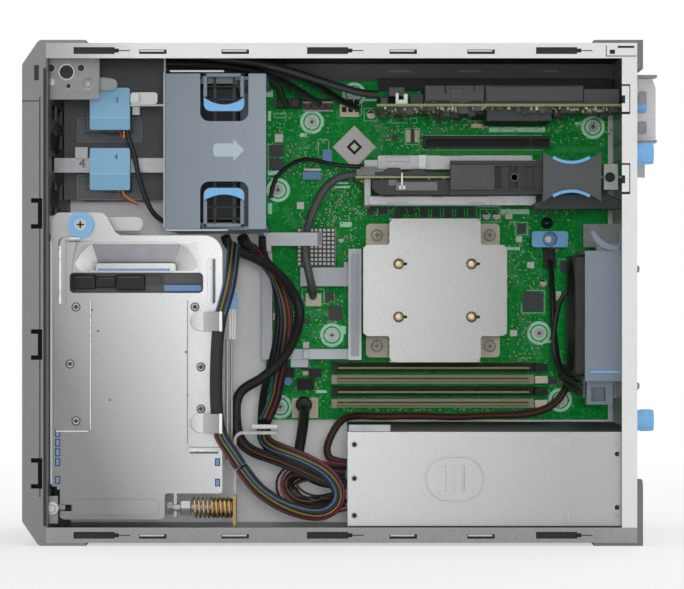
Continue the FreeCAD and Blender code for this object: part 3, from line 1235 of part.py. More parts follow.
def cage_plate():
    """Face of the swing-out cage: hump, sunk grip, drive window, ribs, hinge ears and loom clips."""
    hump = CAGE_LEFT + HUMP_WIDTH
    top = CAGE_TOP + HUMP_RISE
    pivot_top = HINGE_Z + 14.0
    pivot_x = CAGE_LEFT + 6.0
    notch_x = CAGE_RIGHT - HINGE_NOTCH
    notch_z = HINGE_Z + 9.5
    outline = [(pivot_x, CAGE_BOTTOM, 3.0), (notch_x, CAGE_BOTTOM, 3.0), (notch_x, notch_z, 2.0),
               (CAGE_RIGHT, notch_z, 2.0), (CAGE_RIGHT, CAGE_TOP, CAGE_CORNER), (hump + 8.0, CAGE_TOP, 7.0),
               (hump, top, 7.0), (CAGE_LEFT + 2.0, top, 5.0), (CAGE_LEFT, CAGE_TOP, 5.0),
               (CAGE_LEFT, pivot_top, 2.0), (pivot_x, pivot_top, 2.0)]
    plate = side_plate(outline, CAGE_FACE, CAGE_BACK)
    gx0, gx1, gz0, gz1 = window(GRIP_WINDOW)
    sink = 8.0
    pan = soft_box(gx0, gx1, CAGE_BACK, CAGE_BACK + sink, gz0, gz1, 6.0)
    well = soft_box(gx0 + SHEET, gx1 - SHEET, CAGE_FACE, CAGE_BACK + sink - SHEET,
                    gz0 + SHEET, gz1 - SHEET, 5.0)
    wx0, wx1, wz0, wz1 = window(DRIVE_WINDOW)
    opening = soft_box(wx0, wx1, CAGE_FACE, CAGE_BACK, wz0, wz1, 3.0)
    start = V(CAGE_SCREW_X, CAGE_FACE, CAGE_SCREW_Z)
    hole = rod(THREAD_RADIUS + CLEARANCE, start, start + V(0, SHEET, 0))
    rib = 3.4
    rib_y = CAGE_FACE - 1.5
    rib_x = CAGE_LEFT + 6.5
    ribs = [soft_box(rib_x, rib_x + rib, rib_y, CAGE_FACE,
                     CAGE_BOTTOM + 141.0 * RISE, CAGE_BOTTOM + 184.0 * RISE, 1.6),
            soft_box(CAGE_LEFT + 14.0, notch_x - 4.0, rib_y, CAGE_FACE,
                     CAGE_BOTTOM + 3.0, CAGE_BOTTOM + 13.0, 4.9)]
    ears = []
    swing = []
    for x in (pivot_x, notch_x + HINGE_EAR_INSET):
        ears.append(box(x, x + HINGE_EAR, CAGE_FACE, HINGE_Y + 8.0, HINGE_Z - 6.0, HINGE_Z + 16.0))
        swing.append(rod(HINGE_RADIUS + CLEARANCE, V(x - 5.0, HINGE_Y, HINGE_Z),
                         V(x + 8.0, HINGE_Y, HINGE_Z)))
    body = fused([plate, pan] + ribs + ears).cut([well, opening, hole] + swing)
    clip_x = CAGE_RIGHT - 9.8
    clip_y = RIM + 0.6
    clips = []
    for rise in (57.2 * RISE, 124.2 * RISE):
        z0 = CAGE_BOTTOM + rise
        z1 = z0 + 12.5
        clips.append(fused([box(clip_x - 9.0, clip_x, CAGE_FACE - 1.0, CAGE_FACE, z0, z1),
                            box(clip_x - 1.0, clip_x, clip_y, CAGE_FACE - 1.0, z0, z1),
                            box(clip_x - 1.0, CAGE_RIGHT, clip_y, clip_y + 1.0, z0, z1)]))
    return Part.makeCompound([body] + clips)


def cage_box_span():
    """Left, right, bottom and top of the drive box behind the cage plate."""
    width = DRIVE_WIDTH + 2 * CLEARANCE + 2 * SHEET
    left = (CAGE_LEFT + CAGE_RIGHT - width) / 2
    bottom = HINGE_Z + 12.0
    return left, left + width, bottom, bottom + CAGE_BOX_HEIGHT


def cage_box():
    """Folded drive box on the cage plate's back, open at its top and bottom, with slotted sides."""
    left, right, bottom, top = cage_box_span()
    back = CAGE_BACK + CAGE_BOX_DEPTH
    outer = box(left, right, CAGE_BACK, back, bottom, top)
    inner = box(left + SHEET, right - SHEET, CAGE_BACK, back - SHEET, bottom, top)
    slots = []
    for i in range(6):
        z = bottom + 14.0 + i * 20.0
        slots.append(box(left, right, CAGE_BACK + 20.0, back - 20.0, z, z + 8.0))
    return outer.cut([inner] + slots)


def cage_drives():
    """Two disk drives side by side in depth inside the drive box."""
    left, right, bottom, top = cage_box_span()
    x0 = left + SHEET + CLEARANCE
    z0 = bottom + 2.0
    drives = []
    back = CAGE_BACK + CAGE_BOX_DEPTH - SHEET - CLEARANCE
    for i in range(2):
        y1 = back - i * (DRIVE_THICKNESS + 3.0)
        drives.append(soft_box(x0, x0 + DRIVE_WIDTH, y1 - DRIVE_THICKNESS, y1, z0, z0 + DRIVE_LENGTH, 2.0))
    return Part.makeCompound(drives)


def cage_hinge():
    """Fixed hinge: an upright with the long pin, its nut and the loop's hook, and a stub pin on the front."""
    half = 6.0
    post_x = CAGE_RIGHT + 7.1
    y0 = HINGE_Y - half
    y1 = HINGE_Y + half
    post = box(post_x, post_x + HINGE_EAR, y0, y1, FLOOR_IN, HINGE_Z + half + 2.0)
    foot = box(post_x, post_x + 14.0, y0, y1, FLOOR_IN, FLOOR_IN + SHEET)
    notch_x = CAGE_RIGHT - HINGE_NOTCH
    pin_end = notch_x + HINGE_EAR_INSET - 4.0
    pin = rod(HINGE_RADIUS, V(pin_end, HINGE_Y, HINGE_Z), V(post_x, HINGE_Y, HINGE_Z))
    nut = hexagon(pin_end, pin_end + 3.4, HINGE_Y, HINGE_Z, 4.6)
    hook_x = post_x + LOOP_HOOK_LENGTH
    hook_z = FLOOR + LOOP_HOOK_LEVEL
    inner = post_x + HINGE_EAR
    bend = 6.0
    hook = side_plate([(post_x, FLOOR_IN, 0), (inner, FLOOR_IN, 0), (inner, hook_z, bend - HINGE_EAR),
                       (hook_x, hook_z, 0), (hook_x, hook_z + HINGE_EAR, 0),
                       (post_x, hook_z + HINGE_EAR, bend)], y1, y1 + LOOP_HOOK_WIDTH)
    upright = fused([post, foot, pin, nut, hook])
    pivot_x = CAGE_LEFT + 6.0
    block = box(FRONT_IN, pivot_x - 1.0, y0, y1, HINGE_Z - 10.0, HINGE_Z + 8.0)
    stub = rod(HINGE_RADIUS, V(pivot_x - 1.0, HINGE_Y, HINGE_Z),
               V(pivot_x + HINGE_EAR + 1.5, HINGE_Y, HINGE_Z))
    return Part.makeCompound([upright, fused([block, stub])])


def cage_spring():
    """Coil spring on the hinge pin, drawn as a corrugated sleeve with one ridge for each coil."""
    x1 = CAGE_RIGHT + 7.1 - CLEARANCE
    x0 = x1 - SPRING_LENGTH
    pitch = SPRING_LENGTH / SPRING_COILS
    bore = HINGE_RADIUS + CLEARANCE
    wire = pitch * 0.8
    points = [V(x0, HINGE_Y, HINGE_Z + bore)]
    for i in range(SPRING_COILS):
        x = x0 + i * pitch
        points.append(V(x, HINGE_Y, HINGE_Z + SPRING_RADIUS - wire / 2))
        points.append(V(x + pitch / 2, HINGE_Y, HINGE_Z + SPRING_RADIUS))
    points.append(V(x1, HINGE_Y, HINGE_Z + SPRING_RADIUS - wire / 2))
    points.append(V(x1, HINGE_Y, HINGE_Z + bore))
    section = Part.Face(Part.makePolygon(points + points[:1]))
    return section.revolve(V(0, HINGE_Y, HINGE_Z), V(1, 0, 0), 360)


def cage_thumbscrew():
    """Finger screw of the cage: dished head in front of the plate, shank through to the bay's tab."""
    face = V(CAGE_SCREW_X, CAGE_FACE, CAGE_SCREW_Z)
    front = face - V(0, CAGE_SCREW_HEIGHT, 0)
    head = rod(CAGE_SCREW_RADIUS, front, face)
    boss = rod(CAGE_SCREW_RADIUS / 2, front - V(0, 1.6, 0), front)
    shank = rod(THREAD_RADIUS, face, face + V(0, SHEET + CAGE_POST_GAP + SHEET, 0))
    return fused([head, boss, shank])


def cord(name, radius, points):
    """A round cord along straight runs and tangent arcs, each arc as large as its runs allow.

    Points are distances from the front sheet, below the open rim and above the floor."""
    places = [V(FRONT + x, deep(depth), FLOOR + height * RISE) for x, depth, height in points]
    edges = []
    last = places[0]
    for before, here, after in zip(places, places[1:], places[2:]):
        turn = (here - before).getAngle(after - here)
        run = min((here - before).Length, (after - here).Length)
        bend = 0.45 * run / math.tan(turn / 2)
        first, middle, end = corner(before, here, after, bend)
        edges.append(Part.LineSegment(last, first).toShape())
        edges.append(Part.Arc(first, middle, end).toShape())
        last = end
    edges.append(Part.LineSegment(last, places[-1]).toShape())
    path = Part.Wire(edges)
    circle = Part.Circle(places[0], places[1] - places[0], radius).toShape()
    tube = path.makePipeShell([Part.Wire([circle])], True, True)
    drawn = math.pi * radius ** 2 * path.Length
    print(name, "length", round(path.Length), "volume ratio", round(tube.Volume / drawn, 4))
    return tube


def cage_loom():
    """Sleeved drive loom that rides on the cage plate under its two clips."""
    return cord("cage loom", LOOM_RADIUS,
                [(121.8, 36, 194.0), (121.8, 18, 182.0), (119.1, 7.5, 164.0), (112.6, 5.8, 144.0),
                 (111.1, 5.8, 114.0), (111.1, 5.8, 90.0), (113.3, 6.0, 71.0), (121.6, 7, 59.2),
                 (127.2, 8.2, 50.2)])


def main_harness():
    """Looms of the front half: the service loop, the fan's and drives' looms, the front panel's cables."""
    routes = (
        ("service loop", LOOM_RADIUS,
         [(127.9, 8.4, 49.0), (134.3, 10, 40.0), (141.2, 11, 32.6), (154.3, 14, 23.9), (169.5, 17, 18.4),
          (180.7, 20, 17.5), (189.3, 22, 22.0), (192.5, 24, 30.0), (189.3, 25, 38.5), (181.6, 26, 46.3),
          (169.3, 28, 52.8), (156.0, 32, 57.9), (146.3, 38, 61.0), (140.3, 46, 66.5), (141.3, 52, 72.5)]),
        ("fan loom", 4.0,
         [(126.8, 59, 201.0), (129.0, 64.5, 195.5), (134.6, 82, 193.0), (145.7, 102, 179.5),
          (153.1, 114, 165.8), (156.5, 116, 148.5), (155.2, 112, 131.2), (152.6, 100, 116.2),
          (150.2, 86, 100.8), (148.4, 73, 89.7), (141.8, 58, 76.2)]),
        ("black loom", 3.4,
         [(115.8, 45, 201.5), (117.3, 48, 195.5), (125.2, 58, 191.3), (141.4, 82, 184.8),
          (154.7, 100, 172.6), (163.5, 112, 158.9), (165.2, 112, 146.4), (160.9, 98, 131.4),
          (153.6, 84, 118.0), (139.7, 70, 105.4), (127.1, 59, 99.6), (122.3, 52, 91.1), (122.9, 46, 75.3),
          (126.3, 44, 64.0), (135.0, 42, 57.4), (149.2, 38, 53.6), (164.6, 34, 47.8), (177.9, 32, 41.9),
          (189.2, 33, 37.7), (196.2, 33.2, 37.5)]),
        ("spare loop", 3.0,
         [(196.2, 45, 25.5), (185.8, 43, 23.0), (171.8, 40, 22.5), (160.8, 39, 27.0), (155.8, 42, 35.0),
          (159.8, 48, 42.0), (171.8, 52, 44.5), (185.8, 52, 42.5), (196.2, 52, 41.7)]),
        ("drive cable", 2.6,
         [(139.8, 71, 201.5), (139.8, 75, 195.5), (140.5, 92, 189.7), (146.2, 110, 176.1),
          (149.8, 122, 158.8), (149.8, 122, 138.0), (146.1, 116, 118.7), (140.9, 100, 100.4),
          (139.2, 86, 87.2), (139.0, 70, 72.2), (140.6, 62, 61.1), (149.4, 60, 54.4), (165.6, 60, 49.7),
          (182.4, 60, 47.2), (197.0, 60, 46.7)]),
        ("drive lead", 1.7,
         [(50.3, 39.5, 272.2), (51.5, 39.5, 266.0), (55.3, 39.5, 256.0), (57.8, 39.5, 242.0),
          (62.8, 40, 226.0), (68.8, 42, 214.5), (77.2, 44, 210.0)]),
        ("thin lead", 1.5,
         [(208.8, 99, 250.5), (199.8, 99, 251.0), (189.1, 101, 251.8), (178.7, 104, 254.7),
          (168.4, 108, 256.6), (160.7, 112, 254.3), (153.0, 115, 248.9), (146.4, 118, 242.1),
          (144.3, 121, 230.0)]),
        ("top cable 1", 2.4,
         [(77.0, 33, 312.0), (89.8, 34, 311.7), (108.8, 40, 311.5), (127.8, 55, 311.6), (146.3, 83, 311.4),
          (151.3, 111, 303.5), (153.3, 133, 297.5), (154.8, 145.7, 297.0)]),
        ("top cable 2", 2.4,
         [(77.0, 38, 316.5), (93.8, 41, 316.3), (115.8, 50, 315.5), (138.8, 67, 313.0), (157.8, 95, 306.5),
          (171.8, 123, 299.5), (176.8, 137, 297.3), (177.8, 145.7, 297.0)]),
        ("top cable 3", 2.2,
         [(77.0, 42, 321.5), (98.8, 47, 321.0), (123.8, 57, 319.5), (148.8, 73, 316.0),
          (173.8, 100, 309.0), (191.8, 125, 298.5), (201.8, 137, 294.3), (204.3, 144.8, 294.0)]),
        ("top cable 4", 2.6,
         [(77.0, 33.5, 321.5), (98.8, 34, 321.0), (128.8, 37, 318.5), (153.8, 41, 314.0),
          (178.8, 45, 306.0), (198.8, 47, 300.0), (208.8, 48, 297.3), (218.2, 48, 297.0)]),
    )
    return Part.makeCompound([cord(name, radius, points) for name, radius, points in routes])


def board_leads():
    """Leads to the board and its cards, and the rear fan's two leads."""
    routes = (
        ("socket lead", 3.6,
         [(167.9, 151.7, 83.0), (167.8, 131, 82.0), (167.3, 113, 75.0), (165.8, 99, 64.0),
          (163.8, 89, 52.0), (166.8, 82, 42.0), (176.8, 78, 36.0), (187.8, 76.5, 34.0), (197.0, 76, 33.5)]),
        ("board bundle", 2.2,
         [(352.3, 144.2, 108.5), (352.3, 135, 107.0), (349.8, 127, 96.0), (340.8, 127, 85.0),
          (324.8, 131, 79.0), (297.8, 134, 78.5), (271.8, 135, 77.0), (245.8, 135, 78.5),
          (219.8, 133, 77.5), (201.8, 125, 79.0), (192.5, 100, 76.4), (185.7, 90, 65.2), (182.8, 86, 56.0),
          (186.3, 84, 49.0), (197.1, 83, 48.0)]),
        ("rear fan lead", 1.9,
         [(339.8, 143.0, 185.5), (340.0, 130, 180.0), (339.8, 117, 166.0), (339.8, 110, 148.0),
          (340.8, 103, 128.0), (342.8, 93, 113.0), (346.8, 78, 102.5), (349.8, 60, 98.5), (353.4, 43, 97.5)]),
        ("rear fan cord", 1.7,
         [(348.0, 91, 164.0), (343.8, 91.3, 161.0), (340.8, 94, 148.0), (338.8, 95, 133.0),
          (339.8, 91, 118.0), (343.8, 79, 108.5), (348.3, 61, 104.0), (353.2, 40, 102.5)]),
        ("card cable", 2.8,
         [(208.8, 97, 245.0), (199.8, 97, 245.0), (191.2, 99, 243.4), (182.2, 104, 236.7),
          (175.3, 109, 224.5), (169.7, 113, 208.7), (167.6, 116, 194.9), (170.3, 118, 179.7),
          (172.7, 122, 170.0), (173.7, 132, 162.3), (173.5, 145.7, 161.4)]),
    )
    return Part.makeCompound([cord(name, radius, points) for name, radius, points in routes])


def main():
    """Build every sub-part and write it."""
    os.makedirs("parts", exist_ok=True)
    save("top_panel", top_panel())
    save("bottom_panel", bottom_panel())
    save("side_panel", side_panel())
    save("front_panel", front_panel())
    save("rear_panel", rear_panel())
    save("front_bezel", front_bezel())
    save("power_button", power_button())
    save("rear_bumpers", rear_bumpers())
    save("corner_gusset", corner_gusset())
    save("upper_bay", upper_bay())
    save("release_lever", release_lever())
    for node, level in zip(("drive_plug_lower", "drive_plug_upper"), TRAY_LEVELS):
        save(node, drive_plug(level))
    save("front_fan_housing", front_fan_housing())
    save("front_fan_latch_upper", front_fan_latch(DUCT_TOP - CLEARANCE, -1))
    save("front_fan_latch_lower", front_fan_latch(DUCT_BOTTOM + CLEARANCE, 1))
    for end, x, y, z, size in (("front", FRONT_FAN_FRONT, FRONT_FAN_Y, FRONT_FAN_Z, FRONT_FAN_SIZE),
                               ("rear", REAR_FAN_FRONT, REAR_FAN_Y, REAR_FAN_Z, REAR_FAN_SIZE)):
        save(end + "_fan_frame", fan_frame(x, y, z, size))
        save(end + "_fan_rotor", fan_rotor(x, y, z, size))
    save("motherboard", motherboard())
    save("board_screws", board_screws())
    save("processor_mount", processor_mount())
    save("heatsink", heatsink())
    save("heatsink_pins", heatsink_pins())
    save("board_chips", board_chips())
    save("controller_heatsink", controller_heatsink())
    save("memory_sockets_beige", Part.makeCompound([memory_socket(level) for level in MEMORY_LEVELS[0::2]]))
    save("memory_sockets_black", Part.makeCompound([memory_socket(level) for level in MEMORY_LEVELS[1::2]]))
    save("memory_modules", Part.makeCompound([memory_module(level) for level in MEMORY_LEVELS]))
    for i, level in enumerate(MEMORY_LEVELS):
        save("memory_latch_" + str(i + 1), memory_latch(level))
    save("board_connectors", board_connectors())
    save("board_plunger", board_plunger())
    save("io_ports", io_ports())
    save("expansion_cards", expansion_cards())
    save("card_brackets", card_brackets())
    save("upper_card_shroud", upper_card_shroud())
    save("card_cage", card_cage())
    save("card_retainer", card_retainer())
    save("cable_guide", cable_guide())
    save("psu_case", psu_case())
    save("psu_inlet", psu_inlet())
    save("psu_cover", psu_cover())
    save("rear_fan_carrier", rear_fan_carrier())
    for node, level in zip(("cover_screw_lower", "cover_screw_upper"), COVER_SCREW_LEVELS):
        depth = RIM + COVER_SCREW_DEPTH
        save(node, thumbscrew(REAR, depth, FLOOR + level, COVER_SCREW_RADIUS, COVER_SCREW_LENGTH))
    save("slot_door", slot_door())
    save("slot_door_screw", thumbscrew(REAR + CLEARANCE + SHEET, DOOR_FACE - SHEET - DOOR_SCREW_RADIUS - 1.0,
                                       DOOR_BOTTOM + DOOR_SCREW_RISE, DOOR_SCREW_RADIUS, DOOR_SCREW_LENGTH))
    save("cage_plate", cage_plate())
    save("cage_box", cage_box())
    save("cage_drives", cage_drives())
    save("cage_hinge", cage_hinge())
    save("cage_spring", cage_spring())
    save("cage_thumbscrew", cage_thumbscrew())
    save("cage_loom", cage_loom())
    save("main_harness", main_harness())
    save("board_leads", board_leads())


main()
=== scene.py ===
# %% [markdown]
# # A tower server with its side cover off
# The part arrives as sixty plain solids that already have their real shapes, sizes and joints.
# This lesson only adds what a drawing leaves out: finishes, wiring and the small things on a circuit board.
# The solids stay where they are, so that every hinge and screw still moves as it was drawn.

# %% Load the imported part
import math

import bmesh
import bpy
import numpy as np
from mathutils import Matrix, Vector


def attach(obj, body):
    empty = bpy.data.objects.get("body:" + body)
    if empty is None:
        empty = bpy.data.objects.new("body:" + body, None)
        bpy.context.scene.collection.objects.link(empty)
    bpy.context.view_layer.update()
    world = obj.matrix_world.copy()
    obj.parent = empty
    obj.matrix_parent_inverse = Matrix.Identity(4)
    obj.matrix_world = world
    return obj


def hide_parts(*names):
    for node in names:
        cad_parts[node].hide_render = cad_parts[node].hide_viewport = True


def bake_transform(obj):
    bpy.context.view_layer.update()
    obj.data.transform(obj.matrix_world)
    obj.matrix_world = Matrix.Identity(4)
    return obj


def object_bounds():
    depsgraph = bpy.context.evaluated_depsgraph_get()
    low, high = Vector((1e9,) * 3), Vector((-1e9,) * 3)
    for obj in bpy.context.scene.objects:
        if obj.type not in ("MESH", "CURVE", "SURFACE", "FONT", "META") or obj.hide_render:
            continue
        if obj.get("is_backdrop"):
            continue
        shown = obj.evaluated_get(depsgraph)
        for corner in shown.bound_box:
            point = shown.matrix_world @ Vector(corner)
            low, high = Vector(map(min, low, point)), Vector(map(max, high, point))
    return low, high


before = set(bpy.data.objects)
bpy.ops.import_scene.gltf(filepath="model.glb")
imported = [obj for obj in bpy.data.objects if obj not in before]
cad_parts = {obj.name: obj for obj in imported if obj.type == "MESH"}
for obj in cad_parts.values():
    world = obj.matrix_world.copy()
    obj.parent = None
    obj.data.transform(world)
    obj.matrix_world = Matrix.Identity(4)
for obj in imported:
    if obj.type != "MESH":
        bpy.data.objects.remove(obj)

CAD_LOW, CAD_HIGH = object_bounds()
box_mm = [round(v * 1000, 1) for v in (*CAD_LOW, *CAD_HIGH)]
print("loaded", len(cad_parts), "solids, box in mm", box_mm)

# %% [markdown]
# ## The camera
# The photograph looks straight into the open side from about two metres, with hardly any perspective.
# A long lens at that distance gives the same picture, and a small function turns a pixel into a place:
# it takes the pixel and how deep the thing lies below the rim, and answers in millimetres.

# %% Camera, and a ruler for the photograph
MM = 0.001
RIM_Y = -85.0  # the plane of the open rim
EYE = (0.1, -2085.0, 164.7)
LENS = 160.7
REACH = 2000.0  # from the eye to the rim
PIXEL = 0.655  # size of a pixel at the rim
MIDDLE = (342.0, 293.0)  # the pixel straight ahead, and the height that it shows
MIDDLE_Z = 165.7


def seen(u, v, depth):
    """Place in mm of a pixel at a depth below the rim: the pixel's size grows in step with its distance."""
    u, v, depth = np.broadcast_arrays(*(np.asarray(a, float) for a in (u, v, depth)))
    size = PIXEL * (1 + depth / REACH)
    x, z = EYE[0] + (u - MIDDLE[0]) * size, MIDDLE_Z + (MIDDLE[1] - v) * size
    return np.stack([x, RIM_Y + depth, z], -1)


scene = bpy.context.scene
camera = bpy.data.objects.new("camera", bpy.data.cameras.new("camera"))
camera.data.lens = LENS
camera.data.clip_end = 100
camera.location = [c * MM for c in EYE]
camera.rotation_euler = (math.pi / 2, 0, 0)
scene.collection.objects.link(camera)
scene.camera = camera
scene.view_settings.view_transform = "Standard"
print("camera", round(RIM_Y - EYE[1]), "mm in front of the rim")

# %% [markdown]
# ## Colours and nodes
# Colours are picked as the usual hex codes, and shaders want light in linear amounts, so one function converts them.
# A second one adds a shader node, sets it and links it in one line, and a third starts a material with no nodes.

# %% Three helpers for materials


def linear(code):
    """Hex colour code to linear red, green, blue, alpha."""
    c = np.array([int(code[i:i + 2], 16) for i in (1, 3, 5)]) / 255
    c = np.where(c <= 0.04045, c / 12.92, ((c + 0.055) / 1.055) ** 2.4)
    return (*c.tolist(), 1.0)


def add(tree, kind, inputs=None, **settings):
    """Outputs of a new shader node: settings are its properties, inputs are numbers or sockets to link."""
    node = tree.nodes.new("ShaderNode" + kind)
    for name, value in settings.items():
        setattr(node, name, value)
    for key, value in (inputs or {}).items():
        if isinstance(value, bpy.types.NodeSocket):
            tree.links.new(value, node.inputs[key])
        else:
            node.inputs[key].default_value = value
    return node.outputs


def empty(name):
    """A new material, and its node tree with nothing in it."""
    material = bpy.data.materials.new(name)
    material.use_nodes = True
    material.node_tree.nodes.clear()
    return material, material.node_tree


print("white is", linear("#ffffff")[0], "and mid grey", round(linear("#808080")[0], 3))

# %% [markdown]
# ## A white studio
# Product pictures stand the machine on a white sweep, with white all round. The world here is white for the camera.
# For reflections it fades to the right and downwards, so that bare metal still shows which way it faces,
# and as a lamp it is dimmer, so that the real lamps below can model the forms.

# %% The white surroundings
world = bpy.data.worlds.new("white studio")
world.use_nodes = True
scene.world = world
sky = world.node_tree
sky.nodes.clear()
WORLD_LIGHT = 0.42
DARKEST_REFLECTION = 0.3
rays = add(sky, "LightPath")
shown = add(sky, "Math", {0: rays["Is Camera Ray"], 1: rays["Is Transmission Ray"]}, operation="MAXIMUM")[0]
direction = add(sky, "TexCoord")["Generated"]
height = add(sky, "VectorMath", {0: direction, 1: (-0.6, 0, 1)}, operation="DOT_PRODUCT")[1]
mirrored = add(sky, "MapRange", {0: height, 1: -0.6, 2: 0.7, 3: DARKEST_REFLECTION, 4: 1.0})[0]
amount = add(sky, "Mix", {0: rays["Is Glossy Ray"], 2: WORLD_LIGHT, 3: mirrored})[0]
amount = add(sky, "Mix", {0: shown, 2: amount, 3: 1.0})[0]
white = add(sky, "Background", {"Color": (1, 1, 1, 1), "Strength": amount})
add(sky, "OutputWorld", {"Surface": white[0]})
print("world as a lamp", WORLD_LIGHT, "and in mirrors from", DARKEST_REFLECTION, "to 1")

# %% [markdown]
# ## The paper sweep
# The floor is pale paper that takes the machine's shadow. A real sweep curves up and is lost in white;
# here the paper glows a little to the camera alone, more the further away it is, which ends in the same white.

# %% The floor
paper, tree = empty("white paper sweep")
matt = add(tree, "BsdfDiffuse", {"Color": linear("#f4f4f4")})
glow = add(tree, "Emission", {"Color": (1, 1, 1, 1), "Strength": 1.0})
away = add(tree, "SeparateXYZ", {0: add(tree, "TexCoord")["Object"]})[1]
away = add(tree, "MapRange", {0: away, 1: 0.1, 2: 1.0, 3: 0.55, 4: 1.0})[0]
to_camera = add(tree, "LightPath")["Is Camera Ray"]
share = add(tree, "Math", {0: to_camera, 1: away}, operation="MULTIPLY")
both = add(tree, "MixShader", {0: share[0], 1: matt[0], 2: glow[0]})
add(tree, "OutputMaterial", {"Surface": both[0]})
sweep = bpy.data.meshes.new("floor")
sweep.from_pydata([(-9, -3, 0), (9, -3, 0), (9, 30, 0), (-9, 30, 0)], [], [(0, 1, 2, 3)])
sweep.materials.append(paper)
floor = bpy.data.objects.new("floor", sweep)
scene.collection.objects.link(floor)
floor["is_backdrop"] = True
print("floor", paper.name)

# %% [markdown]
# ## Lamps
# Four large soft boxes light the case from the camera's side, from above and from behind.
# A fifth, small one stands beside the camera, because only light along the line of sight reaches into a deep case.
# The lamps are left out of reflections: a mirrored lamp would wash the sheet metal out.

# %% Soft boxes
# Name, place in metres, side of the box in metres and power in watts.
LAMPS = (("key box", (-0.4, -2.6, 0.75), 1.3, 8), ("fill box", (1.0, -2.4, 0.6), 1.3, 4),
         ("front box", (0.05, -2.8, 0.24), 0.25, 23), ("top box", (0.0, -0.2, 2.2), 1.8, 20),
         ("rear box", (0.6, 2.0, 1.6), 1.6, 16))
LAMP_AIM = np.array((0.0, 0.0, 0.16))
for name, place, size, watts in LAMPS:
    light = bpy.data.lights.new(name, "AREA")
    light.size = size
    light.energy = watts
    box = bpy.data.objects.new(name, light)
    box.location = place
    aim = LAMP_AIM - np.array(place)
    tilt = math.atan2(np.hypot(aim[0], aim[1]), -aim[2])
    box.rotation_euler = (tilt, 0, math.atan2(aim[1], aim[0]) - math.pi / 2)
    box.visible_glossy = False
    scene.collection.objects.link(box)
print("lamps", ", ".join(row[0] for row in LAMPS))

# %% [markdown]
# ## Sheet steel, plastics and metal
# Nothing on a real machine is one flat colour: sheet has a cloudy zinc grain, moulded plastic a fine eroded texture,
# and blasted metal a speckle. One function makes them all: it mixes two close tones with a noise of the real grain's
# size, and the same noise stirs the roughness, which is what makes a highlight look like that material.
# It can also paint light and shade across a piece from end to end, as a large bright sheet shows them, and draw dark
# joint lines.

# %% One recipe for a finish
JOINT = "#262626"


def finish(name, tones, roughness, metallic, grain, bump=0.0, ior=1.5, fade=None, seams=()):
    """A surface that drifts between two tones with a noise of that grain in mm; bump is its relief in mm.
    A fade (direction, start, end, first, last) multiplies the tones by a factor that runs from first to last
    between two distances in mm along a direction, and seams (x, z, half width, half height) are dark marks in mm."""
    material, tree = empty(name)
    place = add(tree, "TexCoord")["Object"]
    noise = add(tree, "TexNoise", {"Vector": place, "Scale": 1 / (grain * MM), "Detail": 3.0})[0]
    drift = add(tree, "MapRange", {0: noise, 1: 0.3, 2: 0.7})[0]
    first, second = map(linear, tones.split())
    colour = add(tree, "Mix", {0: drift, 6: first, 7: second}, data_type="RGBA")[2]
    if fade:
        direction, start, end, first, last = fade
        along = add(tree, "VectorMath", {0: place, 1: direction}, operation="DOT_PRODUCT")[1]
        shade = add(tree, "MapRange", {0: along, 1: start * MM, 2: end * MM, 3: first, 4: last})[0]
        shade = add(tree, "CombineXYZ", {0: shade, 1: shade, 2: shade})[0]
        colour = add(tree, "Mix", {0: 1, 6: colour, 7: shade}, data_type="RGBA", blend_type="MULTIPLY")[2]
    for x, z, wide, tall in seams:
        spot = add(tree, "SeparateXYZ", {0: place})
        across = add(tree, "Math", {0: spot[0], 1: x * MM, 2: wide * MM}, operation="COMPARE")[0]
        upright = add(tree, "Math", {0: spot[2], 1: z * MM, 2: tall * MM}, operation="COMPARE")[0]
        inside = add(tree, "Math", {0: across, 1: upright}, operation="MULTIPLY")[0]
        colour = add(tree, "Mix", {0: inside, 6: colour, 7: linear(JOINT)}, data_type="RGBA")[2]
    rough = add(tree, "MapRange", {0: noise, 1: 0.3, 2: 0.7, 3: roughness - 0.05, 4: roughness + 0.05})[0]
    skin = {"Base Color": colour, "Roughness": rough, "Metallic": metallic, "IOR": ior}
    if bump:
        skin["Normal"] = add(tree, "Bump", {"Strength": 0.6, "Distance": bump * MM, "Height": noise})[0]
    shader = add(tree, "BsdfPrincipled", skin)
    add(tree, "OutputMaterial", {"Surface": shader[0]})
    return material


print("joint lines are", JOINT)

# %% [markdown]
# ## Sheet steel
# The case is rolled steel, zinc coated in a bath and then bent. Zinc gives a grey metal with a faint cloud; the upper
# and rear flanges take a lighter sheet as painted light, and the base flange a darker one as painted shade. The
# supply, cage and rim are large and flat, and their fades across are painted light and shade, as they would mirror a
# bright or dim part of the room; the fades below follow the photograph. Slot ends, clips and tabs on the flush rim
# would stand proud as solids, so they are dark marks in its finish: painted shade in the slot ends, joint lines round
# the clips and tab.

# %% Zinc sheet, bright sheet and sheets in painted light and shade
ZINC = finish("zinc sheet", "#b4b5b6 #c4c5c6", 0.42, 0.85, 5, 0.006)
BRIGHT = finish("bright sheet", "#c8c9ca #d4d5d5", 0.36, 0.7, 1.2, 0.004)
# The pointed ends of the keyed slots, dark as painted shade, on the upper flange and again on the lower one.
UPPER_SLOT_Z, LOWER_SLOT_Z = 324.5, 7
SLOT_ENDS = (-148.8, 4.2, 154.2)
NOSES = tuple(row for x in SLOT_ENDS for row in ((x + 1.3, UPPER_SLOT_Z, 1.4, 1.3), (x + 5, UPPER_SLOT_Z, 5, 0.32)))
LOWER_NOSES = tuple((x, z - UPPER_SLOT_Z + LOWER_SLOT_Z, *half) for x, z, *half in NOSES)
